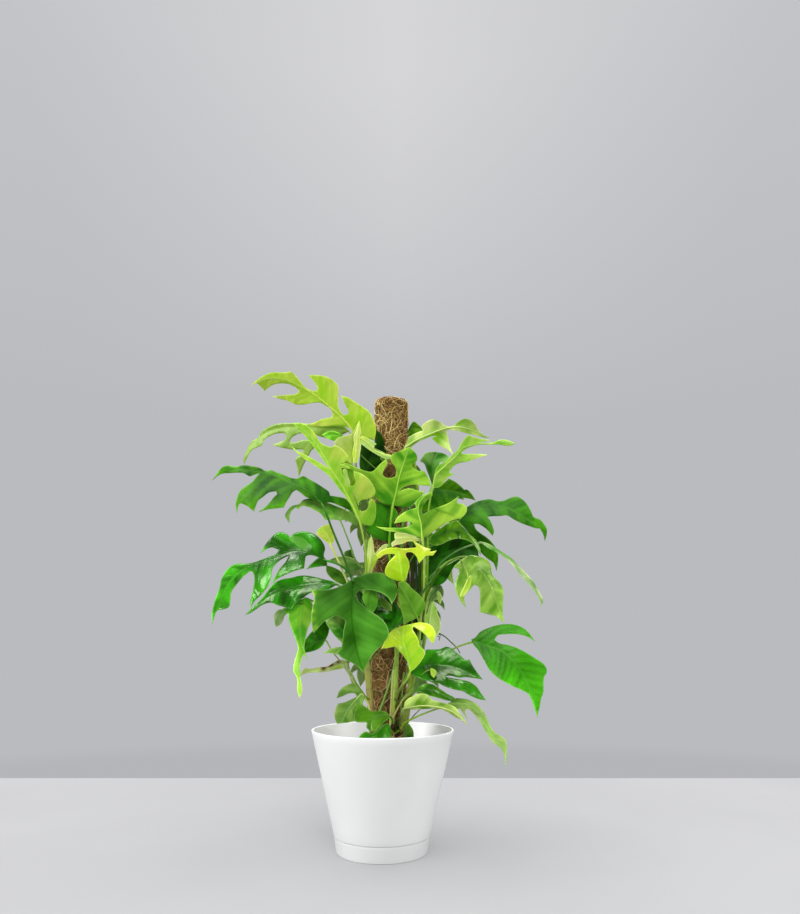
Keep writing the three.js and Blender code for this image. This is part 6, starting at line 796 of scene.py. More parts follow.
            (222.8, -50.1, 522.3), (228.8, -59.0, 512.4), (232.8, -68.9, 499.3), (235.6, -76.2, 488.5), (244.0, -80.2, 484.2), (248.2, -84.5, 477.7), 
            (251.9, -90.3, 467.5), (250.7, -93.8, 459.3), (246.2, -98.0, 447.2, 1), (245.4, -93.5, 457.8), (241.7, -88.0, 468.6, 1), 
            (235.8, -86.8, 469.1), (225.8, -83.2, 473.2), (214.5, -78.6, 478.7), (204.8, -73.1, 485.1), (195.2, -66.0, 492.7), (184.3, -64.7, 492.1), 
            (173.5, -63.0, 492.1), (164.9, -61.7, 491.3, 1), (168.6, -68.5, 483.5), (171.3, -75.2, 473.0), (172.1, -78.7, 464.6), 
            (169.5, -78.9, 458.4, 1), (163.5, -73.7, 467.7), (156.7, -67.6, 475.0), (149.6, -61.6, 479.9), (143.7, -57.8, 480.5, 1), 
            (146.2, -61.8, 471.9), (153.2, -67.4, 464.0), (161.6, -73.6, 456.8), (168.6, -77.7, 448.5), (174.2, -80.0, 439.7), (176.8, -80.4, 428.9), 
            (176.5, -79.6, 416.8), (173.9, -78.4, 404.1, 1), (170.1, -75.6, 417.3), (162.4, -71.4, 423.9), (153.3, -65.6, 433.8), 
            (147.2, -61.2, 448.4), (137.1, -56.4, 464.0), (128.6, -49.5, 476.2)],
        "rib": [(121.5, -40.9, 488.1), (136.5, -39.6, 503.0), (156.4, -37.8, 513.2), (175.4, -41.1, 514.2), (194.7, -52.1, 508.9), (208.5, -63.4, 499.5), (225.9, -77.0, 484.4), (241.8, -87.6, 469.4), (246.3, -97.7, 448.0)],
        "stalk": {"r": (2.0, 1.6), "path": [(123.6, -40.2, 491.0), (109.1, -32.0, 478.2), (96.3, -26.0, 462.8), (83.4, -20.0, 444.2), (72.1, -14.0, 425.5), (66.4, -1.6, 411.0), (64.8, 1.9, 410.2)]},
    },
    "yellow_centre_leaf": {
        "side": "D", "slot": "leaf_yellow_green", "face": (-0.033, -0.984, -0.173),
        "dark": (59, 147, 11), "light": (187, 233, 73), "petiole": (164, 200, 78),
        "quilt": 0.35, "half": 1.5, "tip": 1.2,
        "edge": [(60.5, -84.0, 454.5, 1), (49.8, -83.9, 457.7), (34.4, -85.4, 462.1), (19.0, -88.8, 463.1), (3.8, -94.0, 464.6), 
            (-9.8, -98.9, 470.0, 1), (2.3, -94.3, 469.2), (17.5, -88.8, 469.6), (34.4, -85.0, 471.0), (46.8, -83.7, 475.8, 1), (43.7, -83.9, 479.4), 
            (31.3, -85.3, 479.1), (17.5, -88.4, 476.3, 1), (22.1, -87.1, 485.1), (31.3, -85.6, 493.2), (42.2, -84.7, 498.8), (51.5, -84.5, 502.0), 
            (50.0, -84.8, 508.2), (56.3, -85.0, 516.9), (65.7, -85.4, 522.4), (75.0, -86.0, 526.5, 1), (77.3, -86.3, 521.4), (70.2, -85.7, 514.4), 
            (64.0, -85.1, 506.6), (60.8, -84.7, 498.0), (61.5, -84.5, 491.0, 1), (73.2, -86.0, 497.0), (88.6, -88.6, 502.8), (102.4, -90.9, 508.2), 
            (118.0, -92.4, 518.6, 1), (114.6, -93.5, 508.1), (123.6, -96.0, 505.3), (129.3, -98.4, 498.6), (127.5, -99.4, 490.7), 
            (119.8, -98.7, 482.3, 1), (106.3, -94.8, 479.9), (91.1, -90.2, 472.1), (77.4, -86.6, 463.4), (66.6, -84.7, 456.0)],
        "rib": [(60.5, -84.0, 456.1), (59.1, -83.9, 476.3), (54.6, -84.4, 498.1), (59.4, -85.0, 513.7), (75.0, -86.0, 527.0)],
        "stalk": {"r": (2.2, 1.7), "path": [(60.2, -84.0, 459.3), (63.5, -80.0, 433.6), (64.3, -72.0, 407.0), (63.8, -58.0, 380.7), (61.8, -42.0, 357.3), (58.9, -26.0, 333.5), (58.8, -9.9, 316.1), (58.8, -5.8, 315.3)]},
    },
    "bright_young_leaf": {
        "side": "U", "slot": "leaf_yellow", "face": (-0.008, -0.993, -0.114),
        "dark": (170, 224, 16), "light": (201, 217, 56), "petiole": (208, 231, 72),
        "band": 0.5, "half": 1.25, "tip": 0.66,
        "edge": [(31.2, -98.0, 386.7, 1), (20.7, -99.3, 388.8), (10.3, -101.1, 393.1), (4.4, -104.1, 399.4), (6.0, -113.5, 407.3), 
            (12.0, -119.8, 416.2), (20.0, -113.3, 425.8), (11.9, -115.4, 426.3), (3.0, -116.0, 424.7), (-4.4, -114.4, 419.7), (-8.2, -114.0, 425.0, 1), 
            (-3.0, -114.2, 430.1), (5.8, -112.1, 434.8), (19.2, -106.7, 437.0), (32.7, -103.1, 436.0), (41.7, -103.7, 436.7), (50.7, -106.3, 437.8), 
            (46.3, -100.0, 447.7, 1), (55.2, -105.6, 442.4), (62.5, -111.4, 437.2), (72.7, -115.9, 433.6, 1), (70.4, -117.9, 429.7), 
            (80.7, -118.0, 431.1, 1), (75.3, -121.8, 423.3, 1), (65.0, -121.4, 422.6), (60.5, -122.9, 418.0), (54.6, -121.7, 411.6, 1), 
            (50.4, -113.9, 423.5), (44.6, -107.9, 429.4), (37.2, -105.8, 429.7), (34.9, -106.7, 427.3), (38.6, -107.9, 419.0), (40.9, -104.4, 409.7), 
            (37.9, -103.4, 398.0), (34.9, -99.3, 388.1)],
        "rib": [(32.7, -98.2, 386.7), (28.2, -110.7, 403.2), (26.7, -115.0, 417.5), (23.7, -107.5, 431.7)],
        "stalk": {"r": (1.5, 1.2), "path": [(31.1, -100.5, 389.8), (30.5, -84.0, 375.9), (29.0, -66.0, 365.1), (27.5, -50.0, 356.9), (26.7, -44.5, 349.8), (26.3, -41.6, 349.0)]},
    },
    "cream_sheath_leaf": {
        "side": "D", "slot": "leaf_cream", "face": (-0.004, -0.990, -0.139),
        "dark": (219, 239, 95), "light": (230, 239, 158), "petiole": (70, 128, 34),
        "wave": 0.3, "finish": 'satin', "half": 0.79,
        "edge": [(60.8, -72.0, 453.2, 1), (51.6, -68.8, 458.3), (40.8, -65.9, 463.4), (28.3, -66.1, 465.7), (18.9, -67.8, 464.7), (18.1, -70.2, 458.1), 
            (18.9, -71.8, 453.2), (13.5, -73.4, 448.3), (14.4, -75.3, 441.4, 1), (20.5, -74.1, 445.1), (29.8, -73.1, 446.8), (39.1, -71.2, 450.9), 
            (51.5, -72.0, 450.8)],
        "rib": [(57.7, -71.7, 453.2), (39.2, -68.8, 456.7), (20.5, -70.6, 456.5)],
        "stalk": {"r": (1.5, 1.2), "path": [(55.4, -71.2, 453.9), (53.3, -58.0, 441.0), (44.1, -42.0, 425.6), (35.5, -35.5, 414.6), (33.2, -33.8, 413.8)]},
    },
    "right_light_leaf": {
        "side": "U", "slot": "leaf_olive", "face": (-0.080, -0.987, -0.141),
        "dark": (26, 87, 4), "light": (102, 161, 25), "petiole": (125, 178, 17),
        "half": 1.5, "tip": 0.65,
        "edge": [(68.8, -66.0, 452.4, 1), (79.8, -67.8, 464.7), (92.3, -70.7, 473.7), (104.7, -73.9, 481.0), (115.3, -78.4, 482.3), 
            (123.8, -84.7, 471.9), (133.6, -91.1, 459.2), (142.6, -97.0, 448.4), (147.2, -100.9, 438.5), (148.0, -104.0, 424.6, 1), 
            (142.8, -99.5, 435.7), (136.0, -94.6, 445.4), (126.0, -88.8, 451.3), (112.9, -81.8, 453.8), (100.8, -77.0, 450.9), (88.6, -73.1, 445.2), 
            (76.4, -69.2, 445.7)],
        "rib": [(70.4, -66.6, 452.3), (96.5, -74.8, 462.1), (119.1, -83.7, 467.0), (136.2, -93.9, 450.1), (148.0, -104.0, 424.6)],
        "stalk": {"r": (1.5, 1.2), "path": [(73.2, -67.4, 453.7), (66.9, -50.0, 437.3), (64.1, -34.0, 418.6), (62.0, -20.0, 399.3), (62.2, -2.9, 382.8), (62.3, 0.0, 382.0)]},
    },
    "right_dark_leaf": {
        "side": "U", "slot": "leaf_dark", "face": (-0.072, -0.991, -0.109),
        "dark": (15, 52, 4), "light": (31, 106, 4), "petiole": (118, 152, 58),
        "finish": 'matt', "half": 0.65, "tip": 0.65,
        "edge": [(69.5, -40.0, 425.8, 1), (73.2, -34.0, 445.6), (84.3, -36.9, 451.6), (98.5, -40.9, 455.9), (114.2, -45.5, 459.3), 
            (130.9, -54.2, 457.2), (140.9, -62.4, 450.6), (146.7, -71.2, 439.3), (147.9, -78.0, 427.7, 1), (141.9, -76.3, 425.6), 
            (133.0, -72.9, 424.5), (122.4, -70.0, 420.9), (113.1, -68.6, 415.7), (106.7, -69.1, 407.2), (102.0, -69.4, 398.8), (97.3, -68.3, 391.3), 
            (89.8, -63.0, 385.7), (79.6, -50.6, 384.3), (72.2, -41.5, 385.0), (67.7, -39.4, 402.3)],
        "rib": [(71.0, -41.8, 422.5), (97.5, -51.9, 435.5), (123.8, -59.2, 442.4), (148.3, -75.6, 432.6)],
        "stalk": {"r": (1.8, 1.4), "path": [(73.7, -42.2, 425.8), (66.5, -30.0, 404.7), (63.5, -20.0, 386.6), (62.5, -4.1, 370.7), (62.3, -0.7, 369.9)]},
    },
    "thin_twisted_leaf": {
        "side": "U", "slot": "leaf_olive", "face": (-0.162, -0.982, -0.095),
        "dark": (58, 131, 31), "light": (190, 208, 147), "petiole": (62, 112, 36),
        "half": 0.86,
        "edge": [(147.0, -92.2, 448.8, 1), (160.6, -91.9, 445.0), (172.2, -94.2, 437.9), (183.6, -97.3, 429.9), (194.8, -100.4, 421.3), 
            (202.6, -105.2, 411.1), (212.0, -108.3, 400.5), (220.0, -110.7, 390.8), (225.8, -112.7, 381.1), (230.5, -116.0, 370.8), 
            (234.2, -120.4, 359.8), (230.7, -126.1, 349.6, 1), (227.7, -120.8, 361.9), (221.5, -118.1, 373.5), (214.2, -116.8, 383.0), 
            (206.6, -115.9, 391.8), (198.8, -112.6, 403.0), (192.4, -109.0, 412.2), (183.2, -103.3, 422.5), (171.8, -100.6, 430.3), 
            (158.9, -97.5, 438.2)],
        "rib": [(148.5, -92.2, 448.0), (173.3, -96.2, 434.6), (194.3, -102.8, 418.1), (209.9, -111.1, 395.8), (224.3, -115.5, 375.2), (231.3, -125.3, 350.3)],
        "stalk": {"r": (1.8, 1.4), "path": [(151.2, -92.8, 446.5), (127.0, -92.0, 439.7), (105.4, -94.0, 428.8), (88.8, -90.0, 415.7), (77.7, -78.0, 395.8), (66.6, -66.0, 380.2), (53.0, -52.0, 365.9), (40.7, -46.0, 357.1), (33.1, -41.0, 347.3), (30.3, -39.2, 346.5)]},
    },
    "right_drooping_leaf": {
        "side": "U", "slot": "leaf_lime", "face": (-0.109, -0.991, -0.073),
        "dark": (89, 143, 29), "light": (164, 207, 87), "petiole": (76, 114, 7),
        "quilt": 0.35, "half": 1.2, "tip": 1.2,
        "edge": [(133.0, -90.0, 427.8, 1), (123.6, -91.5, 423.1), (114.2, -94.2, 416.0), (107.7, -97.4, 409.0), (115.0, -99.4, 404.3), 
            (111.3, -105.6, 393.4), (107.6, -112.5, 382.6), (108.3, -119.3, 370.6), (113.5, -123.9, 358.9), (121.8, -124.3, 346.9, 1), 
            (120.2, -120.9, 359.1), (120.6, -118.1, 364.9), (129.6, -110.4, 374.1), (137.7, -105.1, 381.7), (143.5, -104.8, 377.4), 
            (144.2, -107.8, 359.8), (142.7, -110.5, 342.7, 1), (153.5, -110.6, 339.6), (164.6, -113.7, 336.7), (170.5, -117.5, 332.3), 
            (176.1, -122.0, 326.6, 1), (176.2, -112.8, 342.4), (178.5, -105.9, 359.9), (179.7, -101.6, 374.7), (175.7, -99.1, 385.1), 
            (170.1, -98.1, 391.1), (164.5, -96.8, 398.6), (163.8, -93.6, 410.8), (159.8, -91.4, 419.3), (149.5, -90.4, 424.7), (142.0, -90.1, 427.0)],
        "rib": [(134.4, -90.5, 426.2), (125.9, -96.2, 410.6), (120.0, -106.6, 388.9), (143.6, -97.3, 404.5), (160.4, -101.1, 382.0), (168.0, -105.2, 359.9), (176.3, -121.1, 328.0)],
        "stalk": {"r": (1.8, 1.5), "path": [(131.8, -91.5, 423.7), (117.9, -88.0, 425.0), (99.9, -82.0, 416.6), (85.1, -70.0, 402.6), (73.3, -52.0, 381.2), (64.3, -36.0, 360.7), (61.0, -7.4, 333.0), (60.6, -3.9, 332.2)]},
    },
    "right_big_leaf": {
        "side": "U", "slot": "leaf_green", "face": (-0.156, -0.988, 0.024),
        "dark": (42, 122, 4), "light": (73, 188, 12), "petiole": (160, 178, 78),
        "quilt": 0.75, "band": 0.6, "finish": 'satin', "half": 0.8, "tip": 1.5,
        "edge": [(135.1, -51.2, 303.8, 1), (141.5, -48.9, 306.7), (150.3, -40.9, 315.0), (161.8, -36.3, 320.3), (176.5, -32.2, 324.9), 
            (192.5, -30.3, 327.3), (207.7, -32.5, 325.7), (219.0, -38.0, 320.3), (226.2, -47.3, 311.2), (232.2, -57.3, 300.1, 1), 
            (224.0, -53.8, 306.0), (214.8, -50.9, 310.0), (201.3, -49.6, 311.9), (187.5, -49.6, 311.5), (176.6, -50.3, 310.0), 
            (170.0, -57.9, 303.0, 1), (177.2, -65.2, 297.9), (188.6, -69.0, 295.8), (201.1, -73.9, 291.5), (213.5, -78.1, 285.1), 
            (226.3, -79.0, 277.2), (237.3, -77.6, 270.1), (242.4, -79.5, 262.4), (241.0, -84.8, 256.3), (235.6, -92.0, 251.0, 1), 
            (232.6, -101.4, 241.9), (230.1, -111.4, 231.7), (223.7, -123.0, 221.8), (220.2, -132.1, 213.4, 1), (216.5, -138.9, 207.5), 
            (213.4, -146.0, 201.1, 1), (211.5, -137.4, 211.2), (210.0, -129.4, 221.0), (205.8, -123.8, 229.8), (196.4, -122.9, 235.1), 
            (184.2, -121.5, 240.4), (172.5, -116.7, 246.8), (162.4, -109.2, 253.9), (155.2, -99.7, 262.4), (149.9, -86.4, 274.6), 
            (143.3, -69.7, 288.5), (137.2, -58.8, 297.2)],
        "rib": [(137.8, -54.0, 301.6), (154.7, -63.8, 295.7), (175.4, -76.0, 288.6), (190.1, -92.7, 274.8), (201.7, -105.5, 257.2), (209.8, -118.3, 234.8), (213.9, -144.2, 202.8)],
        "stalk": {"r": (1.7, 1.4), "path": [(139.8, -54.5, 301.5), (120.0, -47.0, 294.9), (101.9, -41.0, 286.7), (83.7, -33.0, 276.2), (68.5, -25.0, 265.6), (55.1, -16.0, 251.0), (52.3, -14.1, 250.2)]},
    },
    "olive_oval_leaf": {
        "side": "D", "slot": "leaf_olive", "face": (-0.014, -0.999, -0.052),
        "dark": (86, 153, 12), "light": (129, 187, 57), "petiole": (172, 221, 82),
        "finish": 'satin', "half": 0.88, "tip": 0.65,
        "edge": [(55.5, -66.1, 338.3, 1), (47.8, -70.7, 333.0), (39.4, -78.3, 329.1), (31.9, -85.2, 323.8, 1), (31.2, -88.4, 334.6), 
            (28.2, -94.7, 346.0), (25.7, -101.9, 360.1), (24.5, -107.8, 374.2), (23.8, -112.0, 384.1, 1), (31.1, -108.5, 386.6), (37.8, -103.9, 384.7), 
            (43.1, -98.4, 378.6), (52.1, -90.6, 371.8), (59.8, -83.2, 364.8), (64.5, -76.3, 357.8), (64.6, -69.7, 350.0)],
        "rib": [(52.5, -67.8, 336.7), (43.2, -85.6, 353.7), (34.1, -99.3, 369.0), (23.8, -112.0, 384.1)],
        "stalk": {"r": (1.5, 1.2), "path": [(52.6, -69.6, 340.1), (56.7, -48.0, 325.4), (57.9, -30.0, 312.1), (56.4, -12.2, 293.9), (56.2, -9.4, 293.1)]},
    },
    "pale_back_leaf": {
        "side": "D", "slot": "leaf_pale", "face": (-0.048, -0.998, -0.045),
        "dark": (178, 230, 92), "light": (216, 239, 144), "petiole": (92, 160, 44),
        "finish": 'satin', "half": 0.96, "tip": 0.84,
        "edge": [(69.9, -40.0, 309.0, 1), (64.9, -34.1, 330.2), (66.9, -29.7, 354.9), (69.5, -26.0, 372.1), (68.1, -22.8, 380.1), (75.2, -25.8, 383.1), 
            (83.7, -31.2, 381.1), (91.0, -38.3, 372.9), (92.3, -41.8, 365.0), (89.0, -42.4, 356.5, 1), (84.7, -37.4, 364.5), (80.1, -35.1, 363.1), 
            (84.4, -40.7, 351.3), (84.9, -42.3, 342.9), (88.5, -45.1, 334.4), (89.0, -46.4, 320.9), (84.4, -45.0, 310.5)],
        "rib": [(68.5, -38.6, 313.5), (73.4, -37.0, 336.2), (76.9, -35.1, 356.1), (86.6, -34.5, 376.2)],
        "stalk": {"r": (1.5, 1.2), "path": [(70.1, -39.1, 315.2), (64.7, -30.0, 295.5), (59.5, -20.0, 280.4), (56.6, -14.7, 273.0), (55.3, -12.2, 272.2)]},
    },
    "young_front_leaf": {
        "side": "U", "slot": "leaf_yellow_green", "face": (-0.017, -1.000, 0.000),
        "dark": (133, 207, 18), "light": (210, 239, 54), "petiole": (116, 139, 57),
        "band": 0.6, "half": 0.68, "tip": 0.65,
        "edge": [(41.1, -100.0, 257.6, 1), (38.2, -109.3, 269.7), (33.1, -117.9, 278.8), (26.0, -121.9, 287.1), (20.3, -119.9, 293.3), 
            (9.5, -114.9, 291.8), (-0.7, -109.7, 290.7, 1), (4.3, -110.7, 300.2), (9.3, -108.6, 310.0), (15.1, -106.7, 316.3), (22.3, -106.2, 319.9), 
            (31.1, -106.4, 323.4), (42.7, -111.6, 325.4), (54.1, -117.7, 327.4), (65.4, -124.3, 325.8), (73.0, -128.6, 320.9), (77.1, -130.6, 312.5), 
            (76.3, -129.8, 304.3), (72.8, -126.8, 297.4, 1), (67.9, -127.2, 304.3), (61.7, -125.0, 311.2), (54.0, -120.6, 316.8), 
            (46.2, -115.1, 321.4, 1), (44.7, -115.5, 318.3), (48.9, -119.9, 311.3), (53.1, -122.0, 302.9), (55.3, -119.6, 294.6), 
            (61.1, -115.8, 289.1), (62.2, -110.5, 282.8), (57.9, -106.3, 274.4), (49.8, -102.7, 264.6)],
        "rib": [(41.1, -100.5, 258.3), (36.7, -119.6, 282.3), (31.0, -119.6, 302.9), (32.5, -108.1, 321.2)],
        "stalk": {"r": (1.7, 1.4), "path": [(40.5, -102.7, 261.1), (38.3, -92.0, 249.7), (31.1, -80.0, 239.3), (24.5, -66.0, 230.0), (21.0, -55.7, 218.3), (19.9, -52.5, 217.5)]},
    },
    "right_low_dark_leaf": {
        "side": "U", "slot": "leaf_dark", "face": (-0.071, -0.997, 0.042),
        "dark": (23, 78, 4), "light": (51, 147, 7), "petiole": (132, 166, 74),
        "quilt": 0.4, "half": 1.5, "tip": 1.09,
        "edge": [(40.0, -74.0, 255.8, 1), (46.0, -69.8, 264.9), (56.6, -67.7, 273.4), (64.2, -63.3, 281.9), (66.0, -57.9, 288.4), (76.5, -60.9, 289.2), 
            (86.9, -63.6, 289.9), (96.0, -63.1, 293.1), (103.2, -67.0, 291.4), (110.0, -74.6, 285.7), (116.7, -81.7, 280.1), (123.4, -88.2, 274.6), 
            (128.5, -88.3, 275.6, 1), (131.3, -95.1, 268.5), (135.5, -101.8, 261.1), (144.5, -112.0, 248.6, 1), (133.7, -109.2, 250.1), 
            (121.2, -105.8, 251.3), (109.9, -103.6, 250.8), (100.2, -99.8, 253.1), (90.9, -98.3, 252.0, 1), (101.4, -102.0, 250.1), 
            (115.3, -106.6, 247.9), (126.3, -110.5, 245.1), (134.3, -114.6, 239.9), (139.7, -118.5, 232.1), (147.3, -122.4, 221.1, 1), 
            (136.0, -120.8, 223.0), (125.2, -117.7, 227.4), (115.8, -114.0, 232.5), (103.4, -110.2, 235.0), (90.9, -105.6, 238.7), 
            (79.9, -100.3, 243.9), (70.0, -96.3, 245.3, 1), (58.7, -89.7, 247.7), (48.7, -81.9, 251.5)],
        "rib": [(41.5, -73.6, 257.2), (63.7, -76.4, 267.2), (85.4, -84.5, 267.5), (106.7, -92.6, 265.0), (144.1, -111.5, 249.2)],
        "stalk": {"r": (1.8, 1.5), "path": [(44.4, -74.3, 258.2), (33.4, -64.0, 244.0), (24.1, -54.2, 227.6), (22.3, -51.1, 226.8)]},
    },
    "low_light_leaf": {
        "side": "D", "slot": "leaf_pale", "face": (-0.046, -0.995, 0.086),
        "dark": (88, 136, 25), "light": (218, 238, 132), "petiole": (46, 74, 7),
        "finish": 'satin', "half": 1.5, "tip": 0.65,
        "edge": [(32.4, -92.0, 206.5, 1), (33.9, -92.2, 216.7), (39.6, -94.4, 222.3), (45.3, -96.9, 224.6), (51.1, -99.1, 228.1), 
            (59.5, -102.8, 229.0), (66.6, -105.8, 227.2), (72.1, -108.2, 221.3), (83.1, -113.1, 218.4), (93.9, -119.7, 216.3), (103.1, -126.8, 212.9), 
            (108.1, -132.1, 206.8), (113.0, -137.7, 200.9), (119.5, -146.0, 190.2, 1), (111.5, -137.6, 196.6), (102.7, -129.0, 200.3), 
            (93.6, -120.9, 205.1), (84.3, -114.0, 209.1), (74.7, -109.3, 209.4), (63.6, -104.8, 208.3), (50.9, -99.8, 207.2), (41.0, -95.7, 206.8)],
        "rib": [(32.4, -92.0, 207.9), (52.4, -100.4, 212.0), (69.2, -107.1, 212.5), (89.7, -117.4, 210.1), (104.1, -129.5, 204.0), (119.5, -145.9, 190.9)],
        "stalk": {"r": (1.8, 1.4), "path": [(36.1, -93.5, 207.9), (28.1, -80.0, 196.5), (22.3, -66.0, 182.8), (19.1, -59.7, 174.0), (17.5, -56.7, 173.2)]},
    },
    "low_dark_leaf": {
        "side": "U", "slot": "leaf_deep", "face": (-0.044, -0.997, 0.068),
        "dark": (30, 100, 9), "light": (91, 163, 34), "petiole": (95, 95, 7),
        "half": 1.5, "tip": 0.65,
        "edge": [(46.1, -56.0, 227.2, 1), (52.1, -56.0, 232.2), (56.6, -55.3, 236.4), (64.1, -56.8, 239.7), (74.3, -61.7, 239.6), (85.6, -71.8, 233.2), 
            (96.7, -80.6, 226.8), (106.2, -88.2, 221.2), (103.8, -90.0, 217.2, 1), (93.4, -84.7, 218.4), (82.2, -78.1, 221.1), (70.8, -71.4, 223.4), 
            (62.2, -65.5, 226.1), (53.5, -59.1, 228.9)],
        "rib": [(47.6, -56.4, 228.0), (68.2, -65.4, 231.4), (85.2, -76.5, 226.5), (103.2, -89.3, 217.8)],
        "stalk": {"r": (1.5, 1.2), "path": [(50.5, -57.8, 228.2), (38.7, -52.0, 219.2), (26.2, -49.4, 209.5), (23.4, -48.6, 208.7)]},
    },
    "low_right_long_leaf": {
        "side": "U", "slot": "leaf_pale", "face": (-0.104, -0.989, 0.106),
        "dark": (124, 174, 71), "light": (169, 199, 111), "petiole": (140, 179, 43),
        "finish": 'satin',
        "edge": [(84.6, -84.0, 208.5, 1), (94.7, -84.8, 213.4), (102.0, -84.7, 217.5), (107.9, -84.2, 221.2), (116.3, -87.8, 221.1), 
            (124.5, -92.6, 220.2), (133.7, -100.5, 216.0), (141.0, -109.7, 209.4), (146.6, -119.6, 200.4), (150.1, -128.6, 190.9), 
            (155.1, -135.6, 182.0), (162.7, -138.0, 177.2), (169.2, -139.2, 172.9), (171.3, -141.6, 165.6), (170.7, -143.3, 157.1), 
            (169.8, -144.5, 148.5), (168.2, -146.0, 137.6, 1), (167.5, -144.5, 147.3), (166.9, -143.7, 154.0), (161.6, -142.2, 162.6), 
            (153.9, -140.8, 167.4), (147.8, -137.7, 175.3), (142.2, -129.9, 185.2), (136.6, -120.2, 194.6), (129.6, -109.3, 203.4), 
            (123.3, -102.2, 208.1), (119.5, -101.8, 205.4), (121.9, -109.6, 194.8, 1), (116.2, -101.5, 202.7), (112.4, -96.7, 207.6), 
            (101.2, -93.3, 204.6), (92.9, -89.3, 205.6)],
        "rib": [(86.0, -84.5, 208.6), (106.0, -89.3, 213.8), (121.1, -97.1, 213.0), (133.9, -109.5, 206.1), (143.0, -124.6, 193.1), (153.1, -138.8, 175.4), (165.6, -142.5, 162.0), (168.3, -145.8, 138.8)],
        "stalk": {"r": (1.5, 1.2), "path": [(89.0, -85.2, 209.5), (65.8, -80.0, 201.3), (48.5, -74.0, 193.9), (32.6, -64.0, 184.6), (22.4, -56.4, 171.9), (20.1, -54.7, 171.1)]},
    },
    "back_leaf_1": {
        "side": "U", "slot": "leaf_green", "face": (0.027, 0.760, 0.649),
        "dark": (64, 134, 10), "light": (105, 172, 46), "petiole": (132, 166, 74),
        "edge": [(16.0, 92.0, 622.0, 1), (9.4, 87.8, 623.6), (-1.3, 85.5, 623.4), (-12.8, 88.3, 619.8), (-21.7, 98.0, 612.5), (-27.5, 107.7, 604.5), 
            (-29.1, 117.9, 596.2), (-26.8, 126.6, 589.7), (-21.5, 134.7, 583.9, 1), (-17.5, 130.3, 590.7), (-9.4, 125.8, 597.9), 
            (0.0, 122.8, 602.7, 1), (-0.9, 126.7, 599.2), (-8.1, 132.6, 591.7), (-15.2, 138.3, 582.7), (-18.1, 144.3, 573.1), (-15.8, 150.6, 563.8, 1), 
            (-10.7, 147.7, 571.4), (-3.5, 144.4, 579.1), (3.9, 142.2, 583.6, 1), (2.9, 146.4, 577.8), (-2.2, 151.4, 568.5), (-5.2, 156.3, 557.9), 
            (-2.9, 160.9, 547.3, 1), (1.2, 158.6, 555.2), (7.5, 156.2, 562.0, 1), (7.6, 158.6, 556.7), (9.9, 162.5, 546.9), (14.3, 164.9, 539.1), 
            (18.6, 166.7, 531.1, 1), (23.3, 164.6, 539.1), (27.9, 161.8, 546.9), (30.1, 157.7, 556.7), (30.0, 153.4, 565.6, 1), (37.1, 155.3, 558.9), 
            (41.8, 157.5, 551.0, 1), (44.0, 152.3, 561.4), (40.3, 147.5, 571.8), (34.3, 142.6, 581.1), (33.0, 138.4, 586.7, 1), (41.2, 139.9, 582.1), 
            (49.4, 142.7, 574.4), (55.2, 145.1, 566.7, 1), (57.2, 138.3, 575.5), (53.6, 132.4, 585.0), (45.4, 127.4, 594.1), (37.1, 122.0, 601.6), 
            (35.8, 118.0, 605.0, 1), (46.3, 120.3, 600.0), (55.6, 124.0, 592.5), (60.2, 128.0, 585.7, 1), (65.4, 119.1, 590.8), (67.3, 110.1, 596.7), 
            (64.8, 100.1, 604.7), (57.8, 91.0, 612.8), (47.4, 85.9, 619.0), (34.6, 84.2, 623.1), (22.9, 87.3, 623.6)],
        "rib": [(16.0, 92.0, 622.0), (16.5, 105.2, 615.7), (16.9, 117.5, 608.0), (17.3, 128.8, 598.8), (17.6, 139.0, 588.3), (18.0, 147.9, 576.7), (18.2, 155.3, 564.1), (18.4, 161.2, 550.8), (18.6, 165.4, 536.8)],
        "stalk": {"r": (1.7, 1.4), "path": [(16.2, 97.3, 619.5), (16.0, 92.0, 622.0), (15.6, 82.2, 619.0), (14.8, 65.0, 602.5), (14.3, 51.1, 577.6), (14.1, 47.7, 576.8)]},
    },
    "back_leaf_2": {
        "side": "U", "slot": "leaf_dark", "face": (-0.151, 0.702, 0.696),
        "dark": (104, 150, 60), "light": (160, 194, 110), "petiole": (132, 166, 74),
        "edge": [(-16.0, 84.0, 562.0, 1), (-20.9, 77.0, 564.5), (-31.0, 70.0, 565.9), (-43.9, 67.4, 564.0), (-57.3, 73.1, 558.1), (-67.1, 79.5, 551.3), 
            (-73.0, 88.4, 543.9), (-74.5, 97.8, 537.8), (-72.7, 108.2, 532.1, 1), (-66.8, 105.9, 538.0), (-56.7, 105.4, 544.0), 
            (-45.9, 106.8, 547.3, 1), (-48.5, 110.2, 544.1), (-58.4, 112.7, 538.1), (-68.0, 114.8, 530.3), (-73.5, 119.4, 521.4), 
            (-74.1, 126.9, 512.3, 1), (-67.7, 126.4, 519.0), (-58.9, 126.5, 525.4), (-50.5, 127.8, 528.6, 1), (-53.3, 131.5, 523.2), 
            (-60.8, 134.3, 515.0), (-66.0, 137.9, 505.1), (-65.9, 143.9, 494.4, 1), (-60.6, 143.3, 501.5), (-53.1, 143.7, 507.0, 1), 
            (-54.0, 146.0, 502.5), (-53.5, 151.3, 492.5), (-50.3, 156.1, 483.9), (-46.8, 160.2, 475.0, 1), (-42.0, 159.5, 482.3), 
            (-37.0, 158.1, 489.3), (-33.3, 154.5, 498.7), (-31.2, 149.2, 508.5, 1), (-26.5, 154.4, 500.8), (-23.9, 158.8, 492.4, 1), 
            (-19.8, 154.1, 502.2), (-20.4, 147.3, 512.9), (-22.9, 139.8, 522.7), (-22.0, 135.0, 528.2, 1), (-16.3, 139.9, 522.6), 
